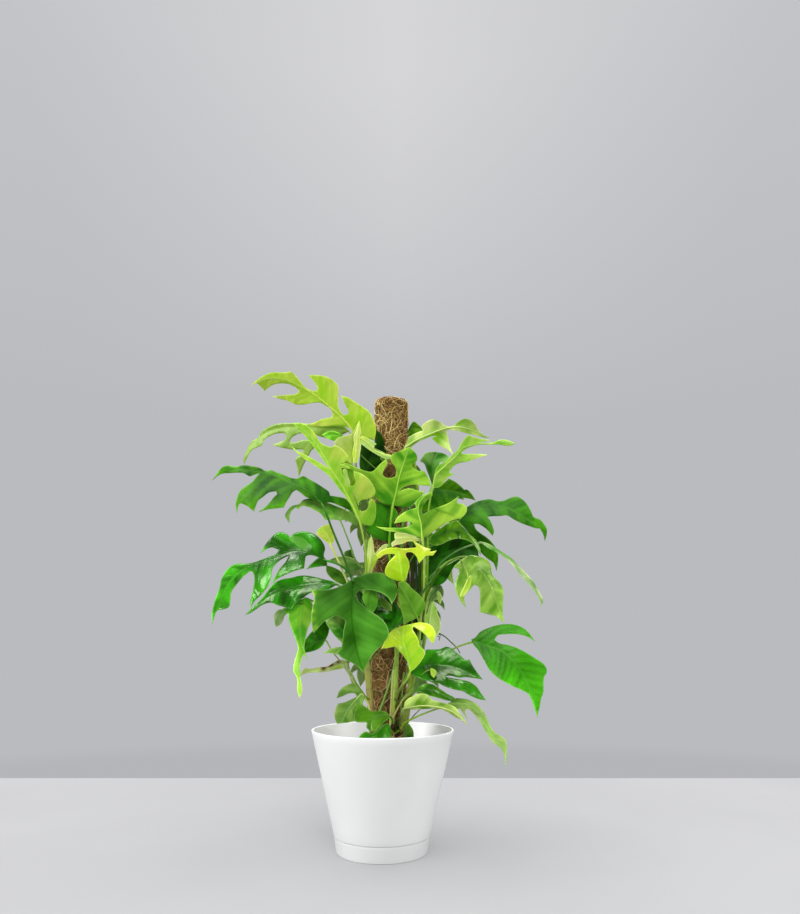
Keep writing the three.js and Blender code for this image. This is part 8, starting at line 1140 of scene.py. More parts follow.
# smaller leaves that fill the gaps between the large ones
SMALL_LEAVES = {
    "inner_lime_leaf": {
        "side": "D", "slot": "leaf_lime", "face": (0.075, -0.970, -0.230),
        "dark": (72, 156, 14), "light": (206, 222, 63), "petiole": (96, 128, 50),
        "finish": 'matt', "wave": 0.35, "fold": 0.6,
        "edge": [(-50.0, -59.9, 535.0, 1), (-61.1, -62.1, 536.1), (-69.9, -64.1, 548.8), (-75.7, -66.3, 563.0), (-77.3, -69.5, 577.1), 
            (-71.1, -70.0, 585.2, 1), (-60.0, -67.3, 582.6), (-50.4, -64.6, 576.7), (-42.4, -61.6, 567.4), (-39.2, -59.1, 554.8), 
            (-42.2, -58.6, 541.8)],
        "rib": [(-50.0, -60.0, 536.6), (-59.8, -62.3, 554.1), (-67.9, -65.8, 569.7), (-74.2, -70.3, 583.5)],
        "stalk": {"r": (1.5, 1.2), "path": [(-52.0, -60.4, 539.2), (-40.5, -54.0, 519.9), (-34.3, -46.0, 501.9), (-29.6, -38.0, 483.7), (-26.8, -28.4, 473.1), (-26.0, -25.7, 472.3)]},
    },
    "rolled_young_leaf": {
        "side": "D", "slot": "leaf_cream", "face": (0.076, -0.971, -0.226),
        "dark": (142, 209, 24), "light": (220, 239, 145), "petiole": (96, 128, 50),
        "finish": 'matt', "wave": 0.35, "fold": 0.6,
        "edge": [(-52.3, -84.0, 534.6, 1), (-57.1, -84.8, 540.9), (-61.9, -86.6, 551.7), (-62.8, -87.6, 561.1), (-59.6, -88.4, 563.4, 1), 
            (-56.4, -88.4, 559.3), (-54.8, -87.0, 551.6), (-51.6, -85.7, 542.3)],
        "rib": [(-53.1, -84.0, 536.2), (-58.0, -86.0, 550.2), (-61.2, -87.6, 561.1)],
        "stalk": {"r": (0.8, 0.7), "path": [(-54.0, -84.5, 539.2), (-45.3, -80.0, 521.1), (-39.1, -76.0, 506.0), (-26.8, -27.5, 463.3), (-26.4, -25.9, 462.5)]},
    },
    "sprout_right_blade": {
        "side": "D", "slot": "leaf_lime", "face": (0.036, -0.963, -0.267),
        "dark": (222, 239, 94), "light": (187, 239, 141), "petiole": (96, 128, 50),
        "finish": 'matt', "wave": 0.35, "fold": 0.6,
        "edge": [(-42.7, -58.2, 623.7, 1), (-32.2, -56.9, 625.0), (-22.4, -55.1, 620.4), (-11.4, -52.9, 613.3, 1), (-15.8, -52.9, 609.9), 
            (-15.3, -52.5, 605.0), (-1.1, -49.0, 599.1), (9.5, -46.4, 597.0), (18.5, -44.4, 595.3, 1), (7.1, -46.9, 589.0), (-6.0, -50.2, 593.2), 
            (-19.0, -53.8, 600.1), (-32.0, -56.7, 608.9), (-40.7, -57.8, 618.7)],
        "rib": [(-41.9, -58.0, 622.1), (-28.8, -55.5, 616.0), (-15.8, -52.7, 606.6), (0.5, -48.4, 595.9), (13.6, -45.1, 593.4)],
        "stalk": {"r": (0.9, 0.8), "path": [(-38.7, -57.4, 621.2), (-45.0, -56.0, 605.7), (-44.8, -54.0, 586.0), (-41.4, -50.0, 563.6), (-22.9, -25.4, 536.1), (-21.8, -23.8, 535.3)]},
    },
    "sprout_sheath": {
        "side": "D", "slot": "leaf_cream", "face": (0.061, -0.960, -0.272),
        "dark": (205, 239, 41), "light": (231, 239, 155), "petiole": (96, 128, 50),
        "finish": 'matt', "wave": 0.35, "fold": 0.6,
        "edge": [(-48.2, -62.6, 577.2, 1), (-50.1, -62.6, 597.2), (-47.9, -62.6, 610.6), (-48.8, -64.4, 621.9), (-44.9, -64.9, 633.6), 
            (-40.5, -66.1, 647.7, 1), (-37.5, -63.8, 633.9), (-38.3, -61.9, 617.6), (-36.6, -61.2, 605.9), (-38.8, -61.1, 592.6), 
            (-42.6, -61.6, 580.7)],
        "rib": [(-45.8, -62.0, 579.0), (-44.6, -61.1, 600.9), (-43.2, -62.5, 620.8), (-40.5, -65.7, 645.3)],
        "stalk": {"r": (1.2, 1.0), "path": [(-46.8, -62.1, 582.0), (-42.7, -56.0, 562.2), (-36.3, -50.0, 543.7), (-24.0, -26.5, 519.7), (-22.9, -24.3, 518.9)]},
    },
    "cream_wrap_leaf": {
        "side": "D", "slot": "leaf_cream", "face": (0.035, -0.992, -0.119),
        "dark": (195, 231, 65), "light": (231, 239, 166), "petiole": (96, 128, 50),
        "finish": 'matt', "wave": 0.35, "fold": 0.6,
        "edge": [(-24.1, -33.6, 404.4, 1), (-26.3, -32.3, 423.5), (-25.6, -32.2, 442.6), (-23.1, -33.0, 458.6), (-19.1, -34.0, 464.9, 1), 
            (-15.8, -34.5, 452.0), (-13.2, -35.1, 437.5), (-5.2, -37.2, 446.0), (2.8, -39.5, 451.3), (8.4, -41.2, 450.3, 1), (4.4, -40.0, 441.7), 
            (-5.1, -37.3, 432.5), (-11.5, -35.9, 421.5), (-16.2, -35.1, 412.1), (-18.5, -34.9, 404.3)],
        "rib": [(-21.7, -34.2, 404.4), (-20.3, -33.6, 423.3), (-18.9, -33.7, 442.5), (-19.9, -33.8, 461.7)],
        "stalk": {"r": (1.6, 1.4), "path": [(-22.6, -33.8, 408.4), (-23.2, -32.0, 392.0), (-21.6, -32.3, 380.0), (-24.0, -30.0, 379.2)]},
    },
    "inner_left_dark_a": {
        "side": "U", "slot": "leaf_dark", "face": (0.076, -0.991, -0.106),
        "dark": (76, 131, 49), "light": (166, 192, 106), "petiole": (96, 128, 50),
        "finish": 'satin', "wave": 0.35, "fold": 0.6,
        "edge": [(-35.8, 4.0, 420.9, 1), (-44.2, 3.6, 429.8), (-54.0, 2.3, 434.6), (-67.1, -0.1, 436.8), (-78.3, -2.8, 434.9), (-89.4, -5.9, 429.6, 1), 
            (-82.8, -5.0, 424.0), (-71.5, -2.1, 421.9), (-63.4, 0.4, 415.6), (-50.4, 2.2, 413.4), (-40.6, 3.0, 415.9)],
        "rib": [(-35.8, 4.0, 420.9), (-52.3, 1.7, 428.8), (-70.1, -1.6, 431.7), (-86.1, -5.5, 428.0)],
        "stalk": {"r": (1.5, 1.2), "path": [(-39.4, 3.5, 422.6), (-30.7, 2.0, 410.9), (-27.1, 0.0, 397.8), (-27.8, -17.4, 382.7), (-27.9, -20.3, 381.9)]},
    },
    "inner_left_dark_b": {
        "side": "U", "slot": "leaf_deep", "face": (0.087, -0.992, -0.088),
        "dark": (39, 104, 14), "light": (99, 157, 41), "petiole": (96, 128, 50),
        "finish": 'satin', "wave": 0.35, "fold": 0.6,
        "edge": [(-50.4, -16.0, 390.1, 1), (-60.1, -18.1, 401.1), (-68.2, -19.6, 409.7), (-79.3, -22.5, 415.8), (-92.0, -25.7, 419.4, 1), 
            (-91.0, -24.8, 408.4), (-83.8, -21.6, 399.2), (-72.7, -19.0, 391.5), (-59.9, -17.4, 388.4)],
        "rib": [(-50.4, -16.0, 391.7), (-64.8, -19.3, 400.9), (-77.6, -22.4, 410.2), (-88.7, -25.2, 416.3)],
        "stalk": {"r": (1.5, 1.2), "path": [(-53.7, -16.7, 393.0), (-42.3, -16.0, 383.8), (-33.0, -19.5, 376.0), (-31.3, -21.8, 375.2)]},
    },
    "inner_left_dark_c": {
        "side": "U", "slot": "leaf_dark", "face": (0.071, -0.991, -0.116),
        "dark": (28, 78, 18), "light": (80, 126, 50), "petiole": (96, 128, 50),
        "finish": 'satin', "wave": 0.35, "fold": 0.6,
        "edge": [(-52.8, 10.0, 428.1, 1), (-63.5, 8.1, 432.8), (-65.3, 7.2, 444.3), (-53.9, 8.0, 449.3, 1), (-52.1, 9.3, 439.6), (-49.6, 10.6, 431.4)],
        "rib": [(-52.8, 10.0, 428.1), (-56.2, 8.5, 437.8), (-53.0, 8.2, 449.4)],
        "stalk": {"r": (1.5, 1.2), "path": [(-54.1, 9.4, 431.8), (-44.1, 6.0, 419.5), (-35.4, 0.0, 407.5), (-30.3, -17.1, 391.9), (-29.4, -19.9, 391.1)]},
    },
    "inner_bright_leaf": {
        "side": "U", "slot": "leaf_green", "face": (0.041, -0.998, -0.057),
        "dark": (60, 140, 20), "light": (110, 186, 50), "petiole": (96, 128, 50),
        "finish": 'satin', "wave": 0.35, "fold": 0.6,
        "edge": [(-15.6, -83.3, 381.9, 1), (-24.6, -83.3, 378.9), (-29.0, -84.3, 370.0), (-28.0, -86.3, 358.0), (-21.0, -88.1, 347.7), 
            (-14.3, -87.8, 340.4, 1), (-8.5, -85.4, 350.8), (-6.4, -83.0, 364.1), (-9.5, -83.2, 376.0)],
        "rib": [(-15.5, -84.0, 378.9), (-18.3, -86.9, 363.9), (-16.5, -88.2, 341.9)],
        "stalk": {"r": (1.5, 1.2), "path": [(-16.3, -84.4, 376.5), (-17.4, -78.0, 388.3), (-21.0, -66.0, 398.4), (-26.4, -35.5, 369.6), (-26.9, -32.6, 368.8)]},
    },
    "inner_olive_leaf": {
        "side": "U", "slot": "leaf_olive", "face": (0.022, -0.999, -0.050),
        "dark": (52, 98, 20), "light": (118, 160, 56), "petiole": (96, 128, 50),
        "finish": 'matt', "wave": 0.35, "fold": 0.6,
        "edge": [(-8.0, -79.5, 365.8, 1), (-0.5, -79.8, 364.3), (7.1, -80.4, 359.8), (13.9, -82.3, 352.4), (14.7, -83.5, 345.0, 1), 
            (7.2, -82.2, 346.5), (-0.4, -80.8, 352.4), (-5.7, -80.1, 358.4)],
        "rib": [(-6.5, -80.0, 364.3), (2.6, -81.6, 356.8), (13.2, -83.5, 347.9)],
        "stalk": {"r": (1.5, 1.2), "path": [(-4.2, -80.3, 362.5), (-9.8, -74.0, 370.6), (-13.1, -66.0, 377.1), (-24.4, -37.3, 348.2), (-25.5, -34.6, 347.4)]},
    },
    "dark_strip_leaf": {
        "side": "U", "slot": "leaf_olive", "face": (-0.071, -0.992, -0.108),
        "dark": (111, 168, 15), "light": (177, 202, 141), "petiole": (96, 128, 50),
        "finish": 'matt', "wave": 0.35, "fold": 0.6,
        "edge": [(85.1, -70.8, 408.6, 1), (96.0, -72.1, 418.4), (108.3, -74.0, 424.3), (123.4, -77.8, 426.9, 1), (112.6, -76.2, 421.0), 
            (100.4, -74.0, 414.4)],
        "rib": [(88.2, -72.0, 411.5), (103.6, -74.0, 420.5), (121.8, -77.8, 426.2)],
        "stalk": {"r": (1.0, 0.8), "path": [(90.1, -71.9, 412.1), (77.6, -66.0, 401.4), (70.4, -50.0, 390.5), (62.4, -3.8, 350.0), (62.1, -1.9, 349.2)]},
    },
    "right_inner_strip": {
        "side": "U", "slot": "leaf_green", "face": (-0.071, -0.994, -0.088),
        "dark": (190, 239, 87), "light": (130, 170, 77), "petiole": (96, 128, 50),
        "finish": 'satin', "wave": 0.35, "fold": 0.6,
        "edge": [(111.9, -1.1, 420.4, 1), (106.0, -2.0, 413.8), (102.9, -2.7, 402.4), (107.8, -5.7, 395.7), (114.5, -8.0, 389.9, 1), 
            (112.6, -5.0, 402.2)],
        "rib": [(108.5, -2.1, 417.0), (108.1, -4.5, 403.8), (112.5, -7.7, 390.8)],
        "stalk": {"r": (0.9, 0.8), "path": [(110.0, -2.3, 414.8), (102.2, 0.0, 427.0), (89.3, 4.0, 427.4), (69.7, 5.9, 410.0), (67.8, 6.1, 409.2)]},
    },
    "yellow_fold_leaf": {
        "side": "D", "slot": "leaf_yellow_green", "face": (-0.092, -0.993, -0.073),
        "dark": (166, 202, 55), "light": (200, 228, 89), "petiole": (96, 128, 50),
        "finish": 'matt', "wave": 0.35, "fold": 0.6,
        "edge": [(129.4, -118.1, 395.2, 1), (124.8, -118.7, 387.9), (119.3, -119.9, 377.7), (115.4, -120.8, 370.5), (111.9, -122.1, 361.8, 1), 
            (118.7, -123.6, 363.9), (125.3, -123.9, 371.7), (130.1, -122.5, 381.8), (131.2, -120.5, 389.2)],
        "rib": [(127.9, -118.0, 393.8), (123.0, -120.1, 380.6), (113.7, -122.1, 363.3)],
        "stalk": {"r": (0.9, 0.8), "path": [(127.3, -118.6, 390.8), (125.6, -114.0, 398.5), (122.4, -106.0, 408.5), (119.0, -96.0, 418.0), (114.0, -88.6, 422.6), (108.5, -86.0, 420.9)]},
    },
    "right_mass_leaf_a": {
        "side": "U", "slot": "leaf_dark", "face": (-0.072, -0.982, -0.173),
        "dark": (23, 79, 11), "light": (83, 148, 44), "petiole": (96, 128, 50),
        "finish": 'satin', "wave": 0.35, "fold": 0.6,
        "edge": [(79.4, 16.0, 525.1, 1), (94.7, 15.2, 531.0), (114.9, 13.2, 528.0), (131.4, 9.7, 517.1), (140.8, 6.3, 502.8), (144.9, 2.3, 480.2, 1), 
            (132.0, 5.6, 487.5), (120.8, 9.1, 496.5), (110.8, 12.4, 491.9), (106.0, 12.6, 502.2), (91.0, 15.4, 506.1), (82.6, 15.7, 514.7)],
        "rib": [(81.1, 15.8, 525.1), (102.9, 13.0, 519.4), (124.3, 8.7, 504.9), (140.1, 3.4, 483.8)],
        "stalk": {"r": (1.5, 1.2), "path": [(84.1, 15.4, 524.1), (72.4, 14.0, 512.7), (66.4, 13.7, 496.0), (63.7, 12.6, 495.2)]},
    },
    "right_mass_leaf_b": {
        "side": "U", "slot": "leaf_deep", "face": (-0.077, -0.990, -0.116),
        "dark": (14, 61, 8), "light": (65, 118, 33), "petiole": (96, 128, 50),
        "finish": 'satin', "wave": 0.35, "fold": 0.6,
        "edge": [(75.4, 20.0, 457.6, 1), (94.0, 18.8, 464.2), (117.2, 15.8, 458.7), (136.6, 11.7, 446.5), (149.1, 7.5, 431.1), (153.3, 5.7, 412.9, 1), 
            (138.9, 7.3, 419.6), (124.5, 11.0, 426.5), (105.0, 16.4, 428.8), (86.9, 19.5, 437.4)],
        "rib": [(77.1, 19.8, 457.6), (100.3, 16.1, 450.4), (123.1, 11.6, 438.2), (142.1, 6.8, 421.2)],
        "stalk": {"r": (1.5, 1.2), "path": [(80.1, 19.3, 456.4), (70.1, 16.0, 445.4), (66.8, 14.4, 429.6), (65.3, 11.9, 428.8)]},
    },
    "right_mass_leaf_c": {
        "side": "U", "slot": "leaf_green", "face": (-0.069, -0.976, -0.206),
        "dark": (38, 104, 16), "light": (93, 158, 47), "petiole": (96, 128, 50),
        "finish": 'satin', "wave": 0.35, "fold": 0.6,
        "edge": [(84.6, 10.2, 556.9, 1), (98.3, 10.7, 562.2), (115.2, 9.2, 559.3), (128.4, 6.3, 549.1), (134.3, 1.1, 530.8, 1), (121.0, 2.3, 535.3), 
            (111.2, 4.5, 540.1), (99.5, 7.0, 542.3), (89.5, 8.5, 549.5)],
        "rib": [(88.0, 9.7, 556.8), (108.1, 6.7, 550.9), (126.0, 1.5, 534.3)],
        "stalk": {"r": (1.5, 1.2), "path": [(90.1, 9.4, 555.7), (77.6, 10.0, 542.9), (70.8, 12.0, 526.1), (65.2, 11.9, 519.0), (62.4, 11.8, 518.2)]},
    },
    "basal_curled_leaf": {
        "side": "U", "slot": "leaf_deep", "face": (-0.011, -0.993, 0.118),
        "dark": (32, 74, 15), "light": (120, 176, 60), "petiole": (96, 128, 50),
        "finish": 'satin', "wave": 0.35, "fold": 0.6,
        "edge": [(32.5, -61.8, 161.7, 1), (32.3, -60.2, 172.5), (34.1, -59.7, 182.1), (36.3, -59.8, 186.3, 1), (41.4, -61.9, 182.3), 
            (45.7, -63.2, 175.6), (46.8, -63.7, 167.4), (44.9, -63.9, 160.6), (38.4, -63.4, 160.6)],
        "rib": [(34.0, -62.1, 164.5), (37.0, -61.8, 174.1), (37.0, -60.6, 183.6)],
        "stalk": {"r": (1.0, 0.9), "path": [(34.5, -61.9, 167.0), (29.6, -56.0, 155.5), (24.5, -52.0, 151.3), (22.4, -52.0, 150.5)]},
    },
    "bright_low_bit": {
        "side": "U", "slot": "leaf_yellow_green", "face": (-0.045, -0.998, 0.042),
        "dark": (137, 179, 39), "light": (180, 214, 75), "petiole": (96, 128, 50),
        "finish": 'matt', "wave": 0.35, "fold": 0.6,
        "edge": [(70.8, -97.8, 263.8, 1), (76.6, -98.2, 261.7), (79.4, -99.4, 257.6), (75.6, -101.5, 250.1, 1), (71.4, -100.4, 254.2)],
        "rib": [(71.5, -98.8, 261.0), (75.7, -100.8, 254.2)],
        "stalk": {"r": (0.8, 0.6), "path": [(73.2, -99.3, 259.1), (63.1, -90.0, 257.9), (53.1, -78.0, 246.2), (23.3, -51.8, 213.3), (22.2, -50.8, 212.5)]},
    },
    "stem_hooked_leaf": {
        "side": "D", "slot": "leaf_pale", "face": (-0.050, -0.997, -0.065),
        "dark": (44, 92, 30), "light": (110, 150, 72), "petiole": (96, 128, 50),
        "finish": 'matt', "wave": 0.35, "fold": 0.6,
        "edge": [(71.8, -44.0, 360.3, 1), (72.7, -45.2, 372.4), (78.2, -46.6, 381.6), (86.0, -47.5, 386.1), (93.0, -48.3, 384.5, 1), 
            (89.1, -47.2, 378.5), (84.4, -46.4, 375.4), (85.1, -46.6, 367.8), (79.6, -45.4, 363.3)],
        "rib": [(73.4, -44.3, 361.8), (79.7, -45.7, 372.4), (89.1, -47.3, 381.5)],
        "stalk": {"r": (0.9, 0.8), "path": [(74.7, -44.6, 364.5), (70.4, -38.0, 351.4), (67.5, -30.0, 339.5), (60.9, -7.2, 317.8), (60.4, -5.4, 317.0)]},
    },
    "hole_dark_leaf": {
        "side": "U", "slot": "leaf_dark", "face": (0.006, -1.000, -0.030),
        "dark": (28, 91, 4), "light": (47, 140, 10), "petiole": (96, 128, 50),
        "finish": 'satin', "wave": 0.35, "fold": 0.6,
        "edge": [(10.0, -63.5, 317.7, 1), (9.8, -50.4, 331.3), (15.9, -48.7, 343.4), (25.2, -58.5, 349.0), (31.3, -67.9, 347.8, 1), 
            (30.5, -74.7, 338.0), (23.7, -75.2, 326.2), (16.2, -71.5, 319.0)],
        "rib": [(13.1, -65.9, 320.6), (19.1, -64.4, 332.4), (26.7, -63.8, 345.8)],
        "stalk": {"r": (1.0, 0.9), "path": [(13.4, -64.2, 322.7), (8.5, -58.0, 308.9), (2.3, -50.0, 294.2), (-16.8, -40.8, 274.1), (-18.7, -39.9, 273.3)]},
    },
    "upper_left_behind": {
        "side": "U", "slot": "leaf_olive", "face": (0.095, -0.955, -0.282),
        "dark": (65, 129, 9), "light": (147, 238, 59), "petiole": (96, 128, 50),
        "finish": 'matt', "wave": 0.35, "fold": 0.6,
        "edge": [(-63.7, -29.8, 630.3, 1), (-77.4, -28.9, 640.2), (-92.5, -29.8, 642.6), (-103.6, -33.8, 634.4, 1), (-93.4, -34.0, 627.4), 
            (-78.5, -32.1, 624.4)],
        "rib": [(-67.1, -30.0, 632.0), (-83.8, -31.3, 635.1), (-100.2, -34.0, 632.6)],
        "stalk": {"r": (0.9, 0.8), "path": [(-69.3, -30.2, 631.9), (-56.9, -30.0, 623.3), (-46.6, -30.0, 609.4), (-12.3, -27.4, 577.4), (-10.4, -27.3, 576.6)]},
    },
    "hanging_neighbour": {
        "side": "U", "slot": "leaf_olive", "face": (0.166, -0.986, -0.031),
        "dark": (59, 120, 6), "light": (163, 183, 130), "petiole": (96, 128, 50),
        "finish": 'matt', "wave": 0.35, "fold": 0.6,
        "edge": [(-141.3, -109.7, 345.3, 1), (-150.2, -108.9, 346.1), (-156.3, -110.1, 339.6), (-156.1, -112.6, 329.6), (-152.7, -113.4, 321.1, 1), 
            (-145.9, -111.6, 325.4), (-142.1, -110.4, 333.9)],
        "rib": [(-142.5, -110.5, 342.5), (-149.2, -111.9, 335.3), (-152.9, -113.5, 325.4)],
        "stalk": {"r": (0.9, 0.8), "path": [(-144.6, -110.7, 341.0), (-135.1, -104.0, 351.3), (-121.9, -94.0, 354.7), (-103.9, -70.0, 352.9), (-32.2, -38.8, 288.4), (-30.4, -38.0, 287.6)]},
    },
    "pole_side_dark": {
        "side": "U", "slot": "leaf_dark", "face": (-0.022, -0.956, -0.292),
        "dark": (28, 94, 4), "light": (112, 172, 9), "petiole": (90, 130, 50),
        "finish": 'satin', "wave": 0.3, "fold": 0.6,
        "edge": [(38.8, 4.4, 642.1, 1), (42.3, 5.2, 658.6), (51.0, 5.1, 670.4), (59.6, 1.8, 663.0), (70.6, -1.9, 650.1, 1), (54.3, 1.8, 645.8)],
        "rib": [(42.2, 3.7, 647.3), (50.9, 2.8, 657.9), (64.6, -0.7, 653.2)],
        "stalk": {"r": (1.0, 0.9), "path": [(43.0, 3.8, 647.8), (33.6, 2.0, 632.4), (30.1, 0.0, 614.1), (46.6, 11.7, 596.6), (48.4, 12.9, 595.8)]},
    },
}
# old stalks: colour at the foot and at the top, radius at each, path
STRANDS = {
    "old_stalk_d": ((44, 40, 20), (66, 62, 28), 2.9, 2.5, [(44.3, 2.0, 303.1), (42.0, 2.0, 334.3), (40.7, 2.0, 365.9), (40.4, 2.0, 389.9), (40.2, 2.0, 422.3), (40.8, 2.0, 455.2)]),
    "old_stalk_e": ((58, 66, 26), (40, 72, 22), 2.6, 2.2, [(52.2, -2.0, 300.0), (50.0, -2.0, 331.0), (48.7, -3.0, 365.6), (48.5, -3.0, 389.5), (48.9, -3.0, 421.8), (49.8, -3.0, 454.5)]),
    "old_stalk_f": ((74, 92, 32), (108, 136, 56), 2.4, 2.1, [(64.9, -4.0, 303.1), (62.7, -5.0, 334.1), (61.5, -6.0, 365.4), (61.7, -6.0, 389.3), (62.3, -6.0, 421.5), (62.9, -6.0, 454.1)]),
    "old_stalk_a": ((62, 48, 24), (78, 66, 30), 2.9, 2.5, [(58.6, 0.0, 293.8), (54.0, 2.0, 321.7), (49.3, 0.0, 356.3), (47.0, -2.0, 384.8), (45.5, -2.0, 413.8), (44.9, 0.0, 450.0)]),
    "old_stalk_b": ((36, 60, 22), (40, 76, 24), 2.5, 2.2, [(60.1, -4.0, 303.1), (57.1, -6.0, 334.0), (54.8, -8.0, 365.3), (53.4, -8.0, 397.1), (52.2, -4.0, 449.5)]),
    "old_stalk_c": ((60, 78, 30), (48, 84, 26), 2.5, 2.2, [(63.4, -6.0, 318.5), (60.4, -8.0, 349.6), (58.2, -8.0, 381.2), (57.6, -8.0, 421.3), (57.2, -4.0, 454.4)]),
    "green_stalk": ((112, 150, 56), (112, 176, 52), 2.5, 2.3, [(61.0, -18.0, 269.9), (64.4, -18.0, 303.1), (68.7, -16.0, 333.8), (71.1, -14.0, 358.7), (71.5, -14.0, 383.9), (71.4, -12.0, 412.8), (70.5, -10.0, 448.7)]),
    "brown_twist": ((92, 72, 24), (112, 104, 40), 1.5, 0.9, [(59.9, -16.0, 324.5), (63.2, -17.0, 339.9), (68.0, -18.0, 352.3), (69.7, -18.0, 364.8), (65.9, -16.0, 377.5)]),
    "dark_runner": ((70, 92, 34), (86, 116, 48), 1.1, 0.8, [(74.2, -14.0, 321.5), (83.4, -20.0, 316.0), (95.5, -26.0, 309.1), (105.8, -32.0, 300.1), (114.5, -38.0, 291.1), (118.8, -40.0, 283.7)]),
    "hook_a": ((30, 30, 20), (26, 26, 18), 0.7, 0.3, [(83.4, -20.0, 315.2), (86.4, -22.0, 312.2), (90.1, -24.0, 309.1), (86.9, -24.0, 303.1)]),
    "hook_b": ((30, 30, 20), (26, 26, 18), 0.6, 0.3, [(85.5, -22.0, 309.1), (89.3, -24.0, 306.8), (87.6, -25.0, 301.6)]),
    "thin_dark": ((60, 80, 34), (70, 96, 40), 0.7, 0.6, [(32.6, -58.0, 179.1), (42.9, -60.0, 190.4), (51.8, -62.0, 200.3), (62.1, -64.0, 208.9)]),
    "mid_stalk_a": ((92, 110, 44), (112, 150, 58), 1.9, 1.5, [(25.2, -56.0, 158.3), (25.2, -56.0, 174.8), (27.4, -56.0, 195.6), (28.9, -54.0, 216.5), (30.4, -52.0, 233.4), (32.7, -50.0, 256.3)]),
    "mid_stalk_b": ((160, 130, 70), (176, 190, 110), 2.0, 1.6, [(17.9, -60.0, 158.8), (15.0, -60.0, 175.2), (13.4, -60.0, 196.0), (14.1, -58.0, 216.8), (14.7, -56.0, 233.6), (16.9, -54.0, 259.3)]),
    "mid_stalk_c": ((176, 170, 92), (150, 160, 80), 1.5, 1.3, [(10.6, -62.0, 178.2), (16.4, -64.0, 192.2), (25.2, -64.0, 208.9), (34.1, -62.0, 221.3), (43.1, -58.0, 228.1)]),
    "left_low_stalk": ((128, 140, 70), (120, 152, 66), 1.9, 1.6, [(-14.7, -48.0, 160.0), (-19.4, -48.0, 182.2), (-30.3, -44.0, 207.2), (-40.0, -38.0, 226.7), (-48.4, -32.0, 246.7), (-55.3, -28.0, 273.1)]),
    "left_low_stalk_b": ((110, 150, 60), (130, 180, 74), 1.8, 1.5, [(-10.4, -44.0, 162.2), (-6.2, -44.0, 190.2), (1.1, -44.0, 212.9), (10.1, -44.0, 237.2), (17.6, -44.0, 261.8), (25.2, -42.0, 288.2), (31.3, -40.0, 315.0)]),
}
VINES = {
    "vine_left": {
        "r": (6.5, 3.6), "low": (178, 162, 88), "high": (104, 168, 40), "tan": (150, 112, 74), "dry": 120, "slim": 0.86,
        "path": [(-9.7, -43.2, 118.0), (-11.5, -45.1, 138.0), (-11.7, -46.0, 151.4), (-14.3, -44.0, 176.2), (-16.9, -42.0, 204.2), (-20.3, -40.0, 232.6), (-23.8, -38.0, 266.0), (-26.0, -34.0, 303.1), (-27.4, -30.0, 341.0), (-28.1, -26.0, 379.9), (-27.2, -23.0, 419.7), (-25.3, -21.0, 460.3), (-22.5, -20.0, 501.6), (-18.0, -20.0, 543.5), (-8.1, -26.0, 572.7), (3.5, -30.5, 592.1)],
    },
    "vine_centre": {
        "r": (7.0, 3.8), "low": (176, 204, 76), "high": (78, 150, 36), "tan": (140, 116, 70), "dry": 40, "slim": 0.62,
        "path": [(14.1, -48.6, 118.0), (14.6, -51.0, 138.0), (14.9, -52.0, 149.5), (14.1, -50.0, 176.9), (16.2, -47.0, 204.6), (19.2, -45.0, 230.1), (20.6, -42.0, 261.8), (22.1, -40.0, 295.6), (24.4, -37.0, 333.2), (26.7, -34.0, 368.5), (28.3, -31.0, 406.2), (29.9, -28.0, 443.2), (31.6, -27.0, 483.9), (33.3, -27.0, 525.2), (35.0, -29.0, 561.8), (35.8, -34.0, 587.8)],
    },
    "vine_right": {
        "r": (6.5, 3.4), "low": (145, 174, 64), "high": (142, 188, 44), "tan": (126, 104, 60), "dry": 90, "slim": 1.0,
        "path": [(29.6, -20.9, 118.0), (32.1, -21.6, 138.0), (32.7, -22.0, 151.0), (34.3, -20.0, 182.1), (39.0, -16.0, 213.5), (45.4, -12.0, 242.8), (53.5, -6.0, 277.1), (58.7, 0.0, 315.5), (61.6, 4.0, 354.9), (62.7, 6.0, 395.1), (62.3, 8.0, 439.4), (60.2, 10.0, 481.4), (57.2, 12.0, 524.3), (54.1, 14.0, 568.2), (50.9, 16.0, 607.7)],
    },
    "vine_back": {
        "r": (6.0, 3.6), "low": (96, 124, 48), "high": (120, 148, 66), "tan": (120, 98, 58), "dry": 120, "slim": 1.0,
        "path": [(10.0, 44.0, 118.0), (10.0, 43.4, 141.0), (9.0, 43.2, 175.0), (11.0, 43.2, 230.0), (13.0, 43.2, 300.0), (12.0, 43.0, 370.0), (14.0, 43.2, 440.0), (12.0, 43.0, 510.0), (14.0, 43.0, 575.0), (13.0, 41.8, 628.0)],
    },
}


# ----------------------------------------------------------------- leaves ----
def unit(v):
    return v / max(1e-9, np.linalg.norm(v))


def lin(c):
    return np.array(srgb(*c))


